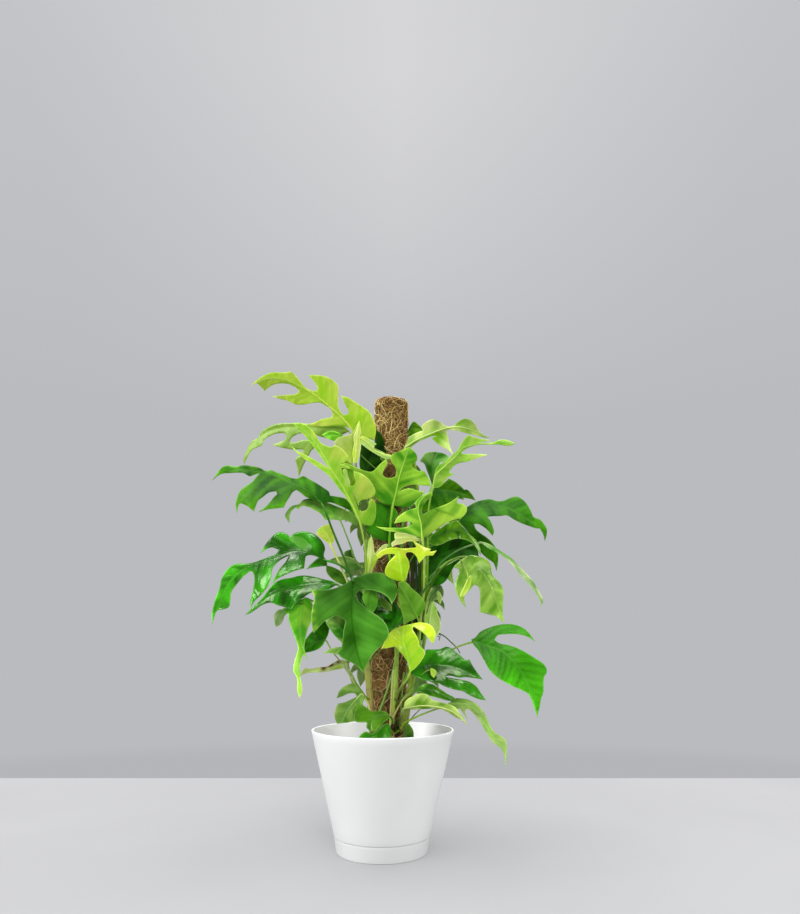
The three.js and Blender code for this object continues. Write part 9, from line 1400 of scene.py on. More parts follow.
def build_leaf(name, d, seed, prefix="blade_", node=True):
    rnd = random.Random(seed)
    n = unit(np.array(d["face"], float))
    u = np.cross([0, 0, 1.0], n)
    u = unit(u) if np.linalg.norm(u) > 0.2 else unit(np.cross([0, 1.0, 0], n))
    v = np.cross(n, u)
    E = np.array([p[:3] for p in d["edge"]], float)
    corner = [len(p) > 3 for p in d["edge"]]
    R = np.array(d["rib"], float)
    c = E.mean(0)
    flat = lambda P: np.stack([(P - c) @ u, (P - c) @ v], 1)
    high = lambda P: (P - c) @ n
    W = plate(np.vstack([flat(E), flat(R)]), np.concatenate([high(E), high(R)]), 2e-5)
    # outline
    k = len(E)
    size = math.sqrt(abs(0.5 * np.sum(flat(E)[:, 0] * np.roll(flat(E)[:, 1], -1) - np.roll(flat(E)[:, 0], -1) * flat(E)[:, 1])))
    h = min(2.4, max(0.95, size / 28))
    marks = [i for i in range(k) if corner[i]] or [0]
    O = []
    for a, b in zip(marks, marks[1:] + [marks[0] + k]):
        run = np.array([flat(E)[i % k] for i in range(a, b + 1)])
        O += list(resample(run, h * 0.8)[:-1])
    O = np.array(O)
    area2 = np.sum(O[:, 0] * np.roll(O[:, 1], -1) - np.roll(O[:, 0], -1) * O[:, 1])
    if area2 < 0:
        O = O[::-1]
    rib = resample(flat(R), 2.0)
    # field of inner points
    lo, hi = O.min(0), O.max(0)
    ys = np.arange(lo[1], hi[1], h * 0.866)
    pts = []
    for j, y in enumerate(ys):
        xs = np.arange(lo[0] + (h / 2 if j % 2 else 0), hi[0], h)
        pts.append(np.stack([xs, np.full(len(xs), y)], 1))
    G_ = np.vstack(pts)
    G_ += np.array([[rnd.uniform(-0.12, 0.12) * h, rnd.uniform(-0.12, 0.12) * h] for _ in range(len(G_))])
    G_ = G_[inside(G_, O)]
    ring = np.vstack([O, O[:1]])
    dist, _, _ = nearest_on(G_, ring)
    G_ = G_[dist > h * 0.62]
    allp = [Vector(p) for p in np.vstack([O, G_])]
    cv, _, cf, *_ = delaunay_2d_cdt(allp, [], [list(range(len(O)))], 1, 1e-5)
    X = np.array([[p.x, p.y] for p in cv])
    F = [tuple(f) for f in cf if len(f) == 3]
    # surface
    rd, rs, side = nearest_on(X, rib)
    ed, _, _ = nearest_on(X, ring)
    dm = max(8.0, np.percentile(rd, 96))
    L = np.linalg.norm(np.diff(rib, axis=0), axis=1).sum()
    vq = rs - 0.72 * rd + np.where(side > 0, 5.5, 0.0) + 200
    up = 1.0 if d["side"] == "U" else -1.0
    rel = rd / dm
    fold = d.get("fold", 1.0)
    open_ = fold * min(7.5, 0.19 * dm)  # the two halves rise from a sunken rib
    crease = lambda x: open_ * (np.tanh(1.7 * x / dm) - 0.62)
    lift = crease(rd)
    lift -= 0.45 * np.exp(-((rd / 1.5) ** 2))
    ph = (vq / 11.0) % 1.0
    lift += d.get("quilt", 0.5) * (0.5 - 0.5 * np.cos(2 * math.pi * (ph - 0.5))) * np.clip(ed / 5, 0, 1) * np.clip(rd / 6, 0, 1)
    w1, w2, a1 = rnd.uniform(30, 44), rnd.uniform(14, 20), rnd.uniform(0, 6)
    wave = d.get("wave", 1.0)
    lift += wave * (1.7 * np.sin(rs * 2 * math.pi / w1 + a1 + side) + 0.55 * np.sin(rs * 2 * math.pi / w2 + 2 * a1)) * np.clip(rel, 0, 1.1) ** 2
    nz = np.array([noise.noise(Vector((x / 22, y / 22, seed * 7.3))) for x, y in X])
    nz2 = np.array([noise.noise(Vector((x / 48, y / 48, seed * 3.1))) for x, y in X])
    lift += 1.1 * nz * np.clip(rel * 1.5, 0.1, 1) + wave * 2.4 * nz2 * np.clip(rel * 1.5, 0.1, 1)
    # tone runs in soft bands along the side veins
    nv = np.array([noise.noise(Vector((q / 15, r / 55 + 9 * k, seed * 5.3))) for q, r, k in zip(vq, rd, side)])
    H = W(X) + up * lift
    P = c + X[:, :1] * u + X[:, 1:] * v + H[:, None] * n
    tri = np.array(F)
    fn = np.cross(P[tri[:, 1]] - P[tri[:, 0]], P[tri[:, 2]] - P[tri[:, 0]])
    N = np.zeros_like(P)
    for j in range(3):
        np.add.at(N, tri[:, j], fn)
    N /= np.maximum(1e-12, np.linalg.norm(N, axis=1))[:, None]
    if (N @ n).mean() < 0:
        N = -N
        tri = tri[:, ::-1]
    th = 0.20 + 0.12 * np.exp(-((rd / 3.0) ** 2))
    th = th * np.clip(0.45 + ed / 1.2, 0, 1)
    A, B = P + N * th[:, None], P - N * th[:, None]
    m = len(P)
    faces = [tuple(t) for t in tri] + [tuple(t[::-1] + m) for t in tri]
    edges = {}
    for t in tri:
        for a, b in ((t[0], t[1]), (t[1], t[2]), (t[2], t[0])):
            if (b, a) in edges:
                del edges[(b, a)]
            else:
                edges[(a, b)] = 1
    walls = [(b, a, a + m, b + m) for a, b in edges]
    toward_up = d["side"] == "U"
    first, second = (0, 1) if toward_up else (1, 0)
    index = [first] * len(tri) + [second] * len(tri) + [first] * len(walls)
    # tint: darker near the rib and the foot, lighter towards the margins and the tip, with painted shade across each
    # quilted panel between side veins
    dark, light = lin(d["dark"]), lin(d["light"])
    # painted shade: each panel between side veins runs from darker to lighter across its width, standing in for the
    # shading of its bulge
    painted_quilt_shade = (ph - 0.5) * np.clip(rd / 5, 0, 1) * np.clip(ed / 3, 0, 1)
    f = np.clip(0.5 + 0.35 * nz + 0.85 * d.get("band", 1.0) * nv * np.clip(rd / 4, 0, 1) + 0.25 * (rs / max(L, 1) - 0.5) + 0.45 * (rel - 0.5) + 0.5 * d.get("quilt", 0.5) * painted_quilt_shade, 0, 1)
    seen = dark + (light - dark) * f[:, None]
    # painted light and shade: one half of a blade is painted darker than the other, and the tip paler or darker than
    # the foot, as light falls on the folded halves and on the tip
    painted_half_shade = 0.5 * math.log(d.get("half", 1.0)) * np.tanh(side * rd / 5.0)
    painted_tip_shade = 0.8 * math.log(d.get("tip", 1.0)) * (np.clip(rs / max(L, 1), 0, 1) - 0.5)
    seen = seen * np.exp(painted_half_shade + painted_tip_shade)[:, None]
    seen = seen * np.minimum(1, 0.86 / seen.max(1))[:, None]
    if toward_up:
        other = seen * 0.55 + 0.45 * np.array([0.22, 0.33, 0.10])
    else:
        other = seen * 0.50 + 0.5 * np.array([0.055, 0.19, 0.022])
    for at, reach, tone in d.get("patch", ()):
        near = np.exp(-(((P - np.array(at)) ** 2).sum(1) / reach**2))[:, None]
        near = np.clip(near * 1.25, 0, 1)
        seen = seen * (1 - near) + lin(tone) * near
    browned = d.get("browned", 0)
    if browned:
        bz = np.clip((browned - ed + 1.5 * nz) / 1.5, 0, 1)[:, None]
        seen = seen * (1 - bz) + np.array([0.20, 0.11, 0.03]) * bz
    fl = lambda x: np.concatenate([x, x])
    # the weight of the painted edge highlight that the blade material lays along the margin
    parts = [(np.vstack([A, B]), faces + walls, index, {"rd": fl(rd), "vq": fl(vq), "ed": fl(ed), "mt": d.get("mid", 0.45), "vt": d.get("vein", 0.28 if sum(d["light"][:2]) < 290 else -0.30), "rt": d.get("rim", 0.62 if sum(d["light"][:2]) < 290 else 0.25)}, np.vstack([seen, other]))]
    # petiole and the rib under the blade, one tapering run
    under = -n * up
    rr = resample(R, 4.0)
    rloc = flat(rr)
    rb, _, _ = nearest_on(rloc, rib)
    r1 = d["stalk"]["r"][1]
    t = np.linspace(0, 1, len(rr))
    rad = r1 * (0.62 * (1 - t) ** 0.9 + 0.06)
    hz = W(rloc) + up * (crease(np.zeros(len(rloc))) - 0.5)
    surf = c + rloc[:, :1] * u + rloc[:, 1:] * v + hz[:, None] * n
    keep = inside(rloc, O) | (np.arange(len(rr)) < 2)
    last = len(rr)
    for i in range(2, len(rr)):
        if not keep[i]:
            last = i
            break
    surf = surf[:last] + under * (rad[:last, None] * 0.72)
    rad = rad[:last]
    S = np.array(d["stalk"]["path"], float)
    S = S[1:] if np.linalg.norm(S[0] - surf[0]) < 9 and len(S) > 3 else S
    run = resample(np.vstack([surf[::-1][:: 2 if len(surf) > 6 else 1], S]), 2.2)
    cut = np.argmin(np.linalg.norm(run - surf[0], axis=1))
    q = np.arange(len(run))
    r0 = d["stalk"]["r"][0]
    rr_ = np.where(q <= cut, 0.10 + (r1 * 0.66 - 0.10) * (q / max(1, cut)) ** 0.9, 0)
    rr_ = np.where((q > cut - 5) & (q <= cut), rr_ + r1 * 0.26 * (q - cut + 5) / 5, rr_)
    tt = np.clip((q - cut) / max(1, len(run) - 1 - cut), 0, 1)
    knee = np.exp(-(((q - cut - 2) * 2.2 / 7.0) ** 2)) * 0.22
    rr_ = np.where(q > cut, r1 * (0.96 + knee) + (r0 * 1.15 - r1) * tt**1.6, rr_ * (1 + knee))
    # a little past the end, into the stem
    endv = unit(run[-1] - run[-2])
    run = np.vstack([run, run[-1] + endv * 2.0])
    rr_ = np.append(rr_, rr_[-1])
    V, F2 = tube(run, rr_, 10)
    pet = lin(d["petiole"])
    base = lin(d["light"])
    mixf = np.clip((np.repeat(np.append(q, q[-1]), 10) - cut + 12) / 26, 0, 1)
    mixf = np.append(mixf, [mixf[0], mixf[-1]])
    colr = (base * 0.9 + 0.012)[None] * (1 - mixf[:, None]) + pet[None] * mixf[:, None]
    parts.append((V, F2, 2, {"rd": 0.0, "vq": 0.0, "ed": 5.0, "mt": 0.0, "vt": 0.0, "rt": 0.0}, colr))
    V, F, I, At, C = join(parts)
    o = new_object(prefix + name, V, F, [UPPER[d.get("finish", "gloss")], UNDER, STALK], index=I, floats=At, colors={"tint": C})
    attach(o, "root")
    if node:
        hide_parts(name)
    return o


total = 0
for i, (name, d) in enumerate(LEAVES.items()):
    o = build_leaf(name, d, i + 1)
    total += sum(len(p.vertices) - 2 for p in o.data.polygons)
for i, (name, d) in enumerate(SMALL_LEAVES.items()):
    o = build_leaf(name, d, 200 + i, "small_", False)
    total += sum(len(p.vertices) - 2 for p in o.data.polygons)
print("leaf triangles", total)

# ------------------------------------------------------------------ stems ----
def build_vine(name, d, seed):
    rnd = random.Random(1000 + seed)
    P = resample(np.array(d["path"], float), 1.6)
    n = len(P)
    s = np.concatenate([[0], np.cumsum(np.linalg.norm(np.diff(P, axis=0), axis=1))])
    t = s / s[-1]
    r = d["r"][0] + (d["r"][1] - d["r"][0]) * t
    joints = []
    z = 14.0
    while z < s[-1] - 6:
        joints.append(z)
        z += rnd.uniform(26, 40) * (1 - 0.25 * z / s[-1])
    swell = np.zeros(n)
    ring = np.zeros(n)
    for j in joints:
        swell += 0.16 * np.exp(-(((s - j) / 4.5) ** 2))
        ring += np.exp(-(((s - j) / 1.1) ** 2))
    r = r * (0.90 + swell) * d.get("slim", 1.0) - 0.35 * np.clip(ring, 0, 1)
    wob = np.array([[noise.noise(Vector((x * 0.03, seed, k))) for k in (1.0, 5.0, 9.0)] for x in s])
    P = P + wob * 0.9
    # close the tip to a soft point
    tip = np.clip((s[-1] - s) / 5.0, 0, 1)
    r = r * np.sqrt(np.clip(1 - (1 - tip) ** 2, 0.02, 1))
    sides = 20
    V, F = tube(P, r, sides)
    N = n * sides
    ang = np.tile(np.arange(sides), n)
    S = np.repeat(s, sides)
    g = np.array([noise.noise(Vector((math.cos(a / sides * 2 * math.pi) * 2.2, math.sin(a / sides * 2 * math.pi) * 2.2, q * 0.012 + seed))) for a, q in zip(ang, S)])
    C0 = np.repeat(P, sides, 0)
    V[:N] = C0 + (V[:N] - C0) * (1 + 0.10 * g)[:, None]
    low, high, tan = lin(d["low"]), lin(d["high"]), lin(d["tan"])
    f = np.clip(S / s[-1] * 1.1, 0, 1)[:, None]
    col = low * (1 - f) + high * f
    dry = np.clip((d["dry"] - S) / 40, 0, 1) * np.clip(0.7 + 1.6 * g, 0, 1)
    col = col * (1 - dry[:, None]) + tan * dry[:, None]
    rg = np.clip(np.repeat(ring, sides), 0, 1) * 0.55
    col = col * (1 - rg[:, None]) + np.array([0.30, 0.27, 0.13]) * rg[:, None]
    after = np.zeros(N)
    for j in joints:
        after += np.exp(-(((S - j - 2.6) / 1.8) ** 2)) * 0.45
    col = col * (1 - np.clip(after, 0, 0.5)[:, None] * 0.5)
    col = np.vstack([col, col[:1], col[-1:]])
    parts = [(V, F, 0, {}, col)]
    # short roots at some joints that feel for the pole
    for j in joints:
        i = int(np.argmin(abs(s - j)))
        for _ in range(rnd.choice([1, 2, 2, 3])):
            p = P[i].copy()
            axis = np.array([8 + 4 * (p[2] - 135) / 575, 8.0, p[2]])
            inward = axis - p
            inward[2] = 0
            L = np.linalg.norm(inward)
            inward /= L
            side = np.cross([0, 0, 1.0], inward) * rnd.choice([-1, 1])
            reach = max(2.0, L - 28.4)
            pts = [p + inward * r[i] * 0.5]
            q = p + inward * reach + side * rnd.uniform(1, 4) + np.array([0, 0, rnd.uniform(-6, 1)])
            pts.append(q)
            ph = math.atan2(q[1] - axis[1], q[0] - axis[0])
            dirn = 1 if np.dot(side, [-math.sin(ph), math.cos(ph), 0]) > 0 else -1
            zz = q[2]
            rate = rnd.uniform(0.10, 0.2)
            for k in range(rnd.randint(3, 9)):
                ph += dirn * rate * rnd.uniform(0.5, 1.3)
                zz -= rnd.uniform(-1, 5)
                if zz < 140:
                    break
                ax = 8 + 4 * (zz - 135) / 575
                rr = 28.3 + rnd.uniform(0, 1.2)
                pts.append(np.array([ax + rr * math.cos(ph), 8 + rr * math.sin(ph), zz]))
            Q = resample(np.array(pts), 1.8)
            rad = np.linspace(rnd.uniform(0.8, 1.15), 0.35, len(Q))
            v, f2 = tube(Q, rad, 6)
            c = lin(rnd.choice([(120, 96, 52), (96, 70, 38), (140, 122, 66), (108, 104, 48)]))
            parts.append((v, f2, 0, {}, c))
    V, F, I, At, C = join(parts)
    o = new_object("stem_" + name, V, F, [STEM], index=I, floats=At, colors={"tint": C})
    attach(o, "root")
    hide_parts(name)
    return o


STEM = stem_material("stem_skin")
for i, (name, d) in enumerate(VINES.items()):
    build_vine(name, d, i)

# older leaf stalks that stand against the stems, and two short roots
parts = []
for name, (c0, c1, r0, r1, path) in STRANDS.items():
    Q = resample(np.array(path, float), 2.0)
    t = np.linspace(0, 1, len(Q))
    wob = np.array([[noise.noise(Vector((k * 0.11, len(parts) * 3.7, q))) for q in (1.0, 5.0, 9.0)] for k in range(len(Q))])
    Q = Q + wob * 0.5
    v, f = tube(Q, (r0 + (r1 - r0) * t) * (1 + 0.08 * np.sin(t * 17 + len(parts))), 10)
    tt = np.append(np.repeat(t, 10), [0, 1])[:, None]
    parts.append((v, f, 0, {}, lin(c0) * (1 - tt) + lin(c1) * tt))
rnd = random.Random(77)
for k in range(16):
    # dried sheath scraps round the foot of the middle stem
    q = rnd.uniform(-1, 1)
    a = np.array([22 + 8 * q + rnd.uniform(-3, 3), -63 + rnd.uniform(-4, 3), rnd.uniform(158, 180)])
    b = a + np.array([rnd.uniform(-9, 9), rnd.uniform(-4, 4), rnd.uniform(5, 16)])
    m_ = (a + b) / 2 + np.array([rnd.uniform(-3, 3), rnd.uniform(-3, 1), rnd.uniform(-1, 3)])
    Q = resample(np.array([a, m_, b]), 1.5)
    v, f = tube(Q, rnd.uniform(0.9, 1.9) * np.sin(np.linspace(0.5, 2.9, len(Q))), 8)
    parts.append((v, f, 0, {}, lin(rnd.choice([(34, 26, 16), (58, 42, 24), (26, 24, 16), (96, 70, 40), (150, 116, 74)]))))
V, F, I, At, C = join(parts)
o = new_object("older_stalks", V, F, [STEM], index=I, floats=At, colors={"tint": C})
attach(o, "root")


# ---------------------------------------------------------------- coir pole ---
POLE_R, POLE_TOP, POLE_FOOT = 27.0, 708.2, 60.0
DOME = 6.5


def pole_axis(z):
    return np.array([8 + 4 * (z - 135) / 575, 8.0])


def pole_project(p, lift):
    """Nearest point of the rounded cylinder, moved out by lift, and its normal."""
    a = pole_axis(p[2])
    d = np.array([p[0] - a[0], p[1] - a[1]])
    rr = np.linalg.norm(d) + 1e-9
    e = d / rr
    qx, qz = rr - (POLE_R - DOME), p[2] - (POLE_TOP - DOME)
    if qz <= 0:
        n = np.array([e[0], e[1], 0])
        return np.array([a[0] + e[0] * (POLE_R + lift), a[1] + e[1] * (POLE_R + lift), p[2]]), n
    if qx <= 0:
        return np.array([p[0], p[1], POLE_TOP + lift]), np.array([0, 0, 1.0])
    L = math.hypot(qx, qz)
    nx, nz = qx / L, qz / L
    R = POLE_R - DOME + nx * (DOME + lift)
    return np.array([a[0] + e[0] * R, a[1] + e[1] * R, POLE_TOP - DOME + nz * (DOME + lift)]), np.array([e[0] * nx, e[1] * nx, nz])


def build_pole_body():
    prof = [(POLE_R, z) for z in np.arange(POLE_FOOT, POLE_TOP - DOME, 2.5)]
    for k in range(9):
        q = math.pi / 2 * k / 8
        prof.append((POLE_R - DOME + DOME * math.cos(q), POLE_TOP - DOME + DOME * math.sin(q)))
    for rr in (14, 10, 6, 2.5):
        prof.append((rr, POLE_TOP))
    sides = 84
    V, C = [], []
    for rr, z in prof:
        a = pole_axis(z)
        for k in range(sides):
            q = 2 * math.pi * k / sides
            x, y = math.cos(q), math.sin(q)
            w = Vector((x * rr * 0.16, y * rr * 0.16, z * 0.10))
            h = noise.fractal(w, 0.9, 2.2, 4)
            h2 = noise.noise(Vector((x * 3.0, y * 3.0, z * 0.02)))
            R = rr + 0.75 * h + 0.5 * h2 - 0.6
            V.append((a[0] + x * R, a[1] + y * R, z + (0.7 * h if z > POLE_TOP - 2 else 0)))
            # painted shade: the body's colour follows the noise that dents it, dark brown in the dents and golden on
            # the bulges
            f = min(1, max(0, 0.5 + 0.6 * h))
            C.append(lin((92, 62, 22)) * (1 - f) + lin((158, 118, 52)) * f)
    F = []
    for i in range(len(prof) - 1):
        for k in range(sides):
            a, b = i * sides + k, i * sides + (k + 1) % sides
            F.append((a, b, b + sides, a + sides))
    n = len(V)
    V.append((*pole_axis(POLE_TOP), POLE_TOP - 0.6))
    C.append(lin((120, 90, 45)))
    V.append((*pole_axis(POLE_FOOT), POLE_FOOT))
    C.append(lin((60, 42, 22)))
    o = (len(prof) - 1) * sides
    for k in range(sides):
        F.append((n, o + k, o + (k + 1) % sides))
        F.append((n + 1, (k + 1) % sides, k))
    return new_object("coir_body", V, F, [COIR_BODY], colors={"tint": np.array(C)})


def coir_body_material():
    m, nt, out = material("coir_mat")
    g = G(nt)
    tint = g.attr("tint", color=True)
    a = g.noise(330, 4, 0.7, distortion=1.6)
    b = g.noise(900, 3, 0.6, distortion=3.0)
    line = g.ramp(g.math("ABSOLUTE", g.math("SUBTRACT", a, 0.5)), 0.0, 0.07, 1.0, 0.0)
    line2 = g.ramp(g.math("ABSOLUTE", g.math("SUBTRACT", b, 0.5)), 0.0, 0.09, 1.0, 0.0)
    c = g.mix(g.math("MULTIPLY", line, 0.6), tint, g.hsv(tint, 0.505, 0.85, 2.0))
    c = g.mix(g.math("MULTIPLY", line2, 0.4), c, g.hsv(tint, 0.5, 0.8, 2.4))
    c = g.mix(g.ramp(g.noise(120, 3), 0.45, 0.7, 0.0, 0.55), c, g.hsv(tint, 0.495, 1.1, 0.42))
    n = g.bump(g.math("ADD", line, g.math("MULTIPLY", line2, 0.6)), 0.8, 0.0012)
    p = g.principled(c, 0.9, Normal=n, Specular_IOR_Level=0.15)
    nt.links.new(p.outputs[0], out.inputs[0])
    return m


def fibre_material():
    m, nt, out = material("coir_fibre")
    g = G(nt)
    tint = g.attr("tint", color=True)
    v = g.noise(520, 3, 0.6)
    c = g.mix(g.ramp(v, 0.35, 0.7, 0.0, 0.5), tint, g.hsv(tint, 0.495, 1.1, 0.62))
    n = g.bump(g.noise(2400, 2), 0.3, 0.0003)
    p = g.principled(c, g.ramp(v, 0.3, 0.8, 0.5, 0.72), Normal=n, Specular_IOR_Level=0.35)
    nt.links.new(p.outputs[0], out.inputs[0])
    return m


COIR_BODY = coir_body_material()
FIBRE = fibre_material()


def build_fibres(name, count, seed, zlo, zhi, lens, radii, lifts, palette, sides):
    rnd = random.Random(seed)
    Vs, Fs, Cs = [], [], []
    N = 0
    for _ in range(count):
        z = rnd.uniform(zlo, zhi)
        ph = rnd.uniform(0, 2 * math.pi)
        a = pole_axis(z)
        if z > POLE_TOP - 3:
            rr = POLE_R * math.sqrt(rnd.random())
            p = np.array([a[0] + rr * math.cos(ph), a[1] + rr * math.sin(ph), POLE_TOP + 1])
        else:
            p = np.array([a[0] + POLE_R * math.cos(ph), a[1] + POLE_R * math.sin(ph), z])
        L = rnd.uniform(*lens)
        step = 2.6
        k = max(5, int(L / step))
        base = rnd.uniform(*lifts)
        p, n = pole_project(p, base)
        t1 = unit(np.cross(n, [0, 0, 1.0]) if abs(n[2]) < 0.9 else np.cross(n, [1.0, 0, 0]))
        t2 = np.cross(n, t1)
        q = rnd.gauss(math.pi / 2, 0.95) + (math.pi if rnd.random() < 0.5 else 0)
        d = t1 * math.cos(q) + t2 * math.sin(q)
        turn = rnd.gauss(0, 0.07)
        curl = rnd.uniform(-0.045, 0.045)
        pts = [p - n * (base + 0.8)]
        w = rnd.uniform(0.1, 0.35)
        for i in range(k):
            hump = math.sin(math.pi * (i + 0.5) / k)
            lift = base * (0.35 + 0.65 * hump) + 0.35 * math.sin(i * w * 4 + ph)
            p2, n = pole_project(p + d * step, max(-0.4, lift))
            d = p2 - p
            d = d - n * np.dot(d, n)
            d = unit(d)
            turn += curl * 0.4 + rnd.gauss(0, 0.020)
            s_ = np.cross(n, d)
            d = unit(d * math.cos(turn) + s_ * math.sin(turn))
            p = p2
            pts.append(p)
        pts.append(p + d * step * 0.7 - n * 1.4)
        P = np.array(pts)
        if P[:, 2].min() < 122:
            continue
        r = rnd.uniform(*radii) * (0.75 + 0.25 * np.sin(np.linspace(0, math.pi, len(P))))
        v, f = tube(P, r, sides, cap=False)
        c = lin(palette[rnd.randrange(len(palette))]) * rnd.uniform(0.8, 1.15)
        Vs.append(v)
        Fs += [tuple(N + x for x in face) for face in f]
        Cs.append(np.tile(c, (len(v), 1)))
        N += len(v)
    return new_object(name, np.vstack(Vs), Fs, [FIBRE], colors={"tint": np.vstack(Cs)})


GOLD = [(238, 214, 150), (230, 202, 130), (214, 182, 108), (196, 160, 86), (170, 132, 64), (142, 104, 46), (244, 226, 170), (182, 146, 78), (112, 78, 34)]
DEEP = [(132, 96, 46), (108, 76, 34), (158, 120, 60), (90, 62, 26), (188, 152, 86)]
body = build_pole_body()
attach(body, "root")
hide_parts("coir_pole", "pole_core")
for nm, cnt, sd, zl, zh, ln, rad, lf, pal, sides in (
    ("coir_fibres_low", 820, 11, 125, 640, (26, 60), (0.26, 0.46), (0.1, 0.9), DEEP, 3),
    ("coir_fibres_mid", 760, 12, 125, 650, (30, 74), (0.28, 0.56), (0.6, 1.9), GOLD, 3),
    ("coir_fibres_top", 560, 13, 610, 712, (20, 56), (0.26, 0.46), (0.2, 1.4), DEEP, 3),
    ("coir_fibres_loops", 300, 17, 610, 712, (34, 90), (0.42, 0.74), (0.8, 2.4), GOLD, 4),
):
    o = build_fibres(nm, cnt, sd, zl, zh, ln, rad, lf, pal, sides)
    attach(o, "root")

# ------------------------------------------------------------ pot and saucer ---
RIM, SEAM_Z, SEAM_R, BASE_R, WALL = 110.0, 22.5, 71.6, 67.7, 2.9
taper = (RIM - SEAM_R) / (170 - SEAM_Z)
outer = lambda z: SEAM_R + taper * (z - SEAM_Z)
inner = lambda z: outer(z) - WALL
saucer_r = lambda z: BASE_R + (SEAM_R - BASE_R) * z / SEAM_Z


def arc(cx, cz, r, a0, a1, n=8):
    return [(cx + r * math.cos(math.radians(a0 + (a1 - a0) * k / n)), cz + r * math.sin(math.radians(a0 + (a1 - a0) * k / n))) for k in range(n + 1)]


def spread(p, q, n):
    return [(p[0] + (q[0] - p[0]) * k / n, p[1] + (q[1] - p[1]) * k / n) for k in range(n)]


def lathe(name, prof, mat, seg=192):
    V, F = [], []
    rows = []
    for r, z in prof:
        if r < 1e-6:
            rows.append([len(V)])
            V.append((0, 0, z))
        else:
            rows.append(list(range(len(V), len(V) + seg)))
            V += [(r * math.cos(2 * math.pi * k / seg), r * math.sin(2 * math.pi * k / seg), z) for k in range(seg)]
    for a, b in zip(rows, rows[1:]):
        for k in range(seg):
            j = (k + 1) % seg
            if len(a) == 1 and len(b) == 1:
                continue
            if len(a) == 1:
                F.append((a[0], b[j], b[k]))
            elif len(b) == 1:
                F.append((a[k], a[j], b[0]))
            else:
                F.append((a[k], a[j], b[j], b[k]))
    return V, F


def plastic(name, lo, hi, rough):
    m, nt, out = material(name)
    g = G(nt)
    broad = g.noise(9, 2, 0.5)
    speck = g.noise(1400, 2, 0.6)
    c = g.mix(g.ramp(broad, 0.3, 0.7), lo, hi)
    c = g.mix(g.ramp(g.noise(60, 4, 0.7), 0.62, 0.8, 0.0, 0.10), c, tuple(x * 0.86 for x in lo))
    h = g.math("ADD", g.math("MULTIPLY", speck, 0.6), g.noise(240, 3, 0.5))
    n = g.bump(h, 0.06, 0.0004)
    r = g.ramp(g.noise(120, 3, 0.6), 0.3, 0.7, rough - 0.04, rough + 0.05)
    p = g.principled(c, r, Normal=n, Specular_IOR_Level=0.4)
    nt.links.new(p.outputs[0], out.inputs[0])
    return m


POT = plastic("pot_plastic_white", tuple(srgb(216, 217, 216)), tuple(srgb(221, 222, 221)), 0.46)
SAUCER = plastic("saucer_plastic_white", tuple(srgb(214, 215, 214)), tuple(srgb(219, 220, 219)), 0.46)

f_top = SEAM_Z + 2.8
pot_prof = [(0, f_top)]
pot_prof += spread((20, f_top), (inner(f_top) - 2.6, f_top), 4)
pot_prof += arc(inner(f_top + 2.6) - 2.6, f_top + 2.6, 2.6, -90, -14, 6)
pot_prof += spread((inner(f_top + 4), f_top + 4), (inner(168.2), 168.2), 14)
pot_prof += arc(RIM - 1.9, 168.55, 1.45, 170, 8, 12)
pot_prof += spread((outer(168.6) - 0.02, 168.4), (outer(SEAM_Z + 2.2), SEAM_Z + 2.2), 16)
pot_prof += [(outer(SEAM_Z + 1.4), SEAM_Z + 1.4), (outer(SEAM_Z + 0.8) - 0.10, SEAM_Z + 0.8), (SEAM_R - 0.25, SEAM_Z + 0.3), (SEAM_R - 0.9, SEAM_Z), (67.4, SEAM_Z)]
pot_prof += [(66.6, SEAM_Z - 7.0), (66.2, SEAM_Z - 7.5), (64.3, SEAM_Z - 7.5), (64.0, SEAM_Z - 7.1), (64.2, SEAM_Z)]
pot_prof += [(44, SEAM_Z), (20, SEAM_Z), (0, SEAM_Z)]
# the profile runs up the inside and down the outside; turn it so that faces look out
V, F = lathe("pot", pot_prof, POT)
# drain holes through the floor: drop the faces there and wall the gaps
holes = [(38 * math.cos(i * 2 * math.pi / 5 + math.pi / 2), 38 * math.sin(i * 2 * math.pi / 5 + math.pi / 2)) for i in range(5)]
pot = new_object("pot_shell", V, [f[::-1] for f in F], [POT])
import bmesh

bm = bmesh.new()
bm.from_mesh(pot.data)
bmesh.ops.recalc_face_normals(bm, faces=bm.faces)
bm.to_mesh(pot.data)
bm.free()
for x, y in holes:
    cv, cf = lathe("cut", [(0, 18), (4.5, 18), (4.5, 32), (0, 32)], None, 32)
    c = new_object("drain_cut", [(p[0] + x, p[1] + y, p[2]) for p in cv], cf, [POT])
    bm = bmesh.new()
    bm.from_mesh(c.data)
    bmesh.ops.recalc_face_normals(bm, faces=bm.faces)
    bm.to_mesh(c.data)
    bm.free()
    mod = pot.modifiers.new("hole", "BOOLEAN")
    mod.object = c
    mod.operation = "DIFFERENCE"
    mod.solver = "EXACT"
    dg = bpy.context.evaluated_depsgraph_get()
    me = bpy.data.meshes.new_from_object(pot.evaluated_get(dg))
    pot.modifiers.clear()
    pot.data = me
    bpy.data.objects.remove(c)
pot.data.name = "pot_shell"
pot.data.polygons.foreach_set("use_smooth", np.ones(len(pot.data.polygons), bool))
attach(pot, "root")
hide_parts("pot")

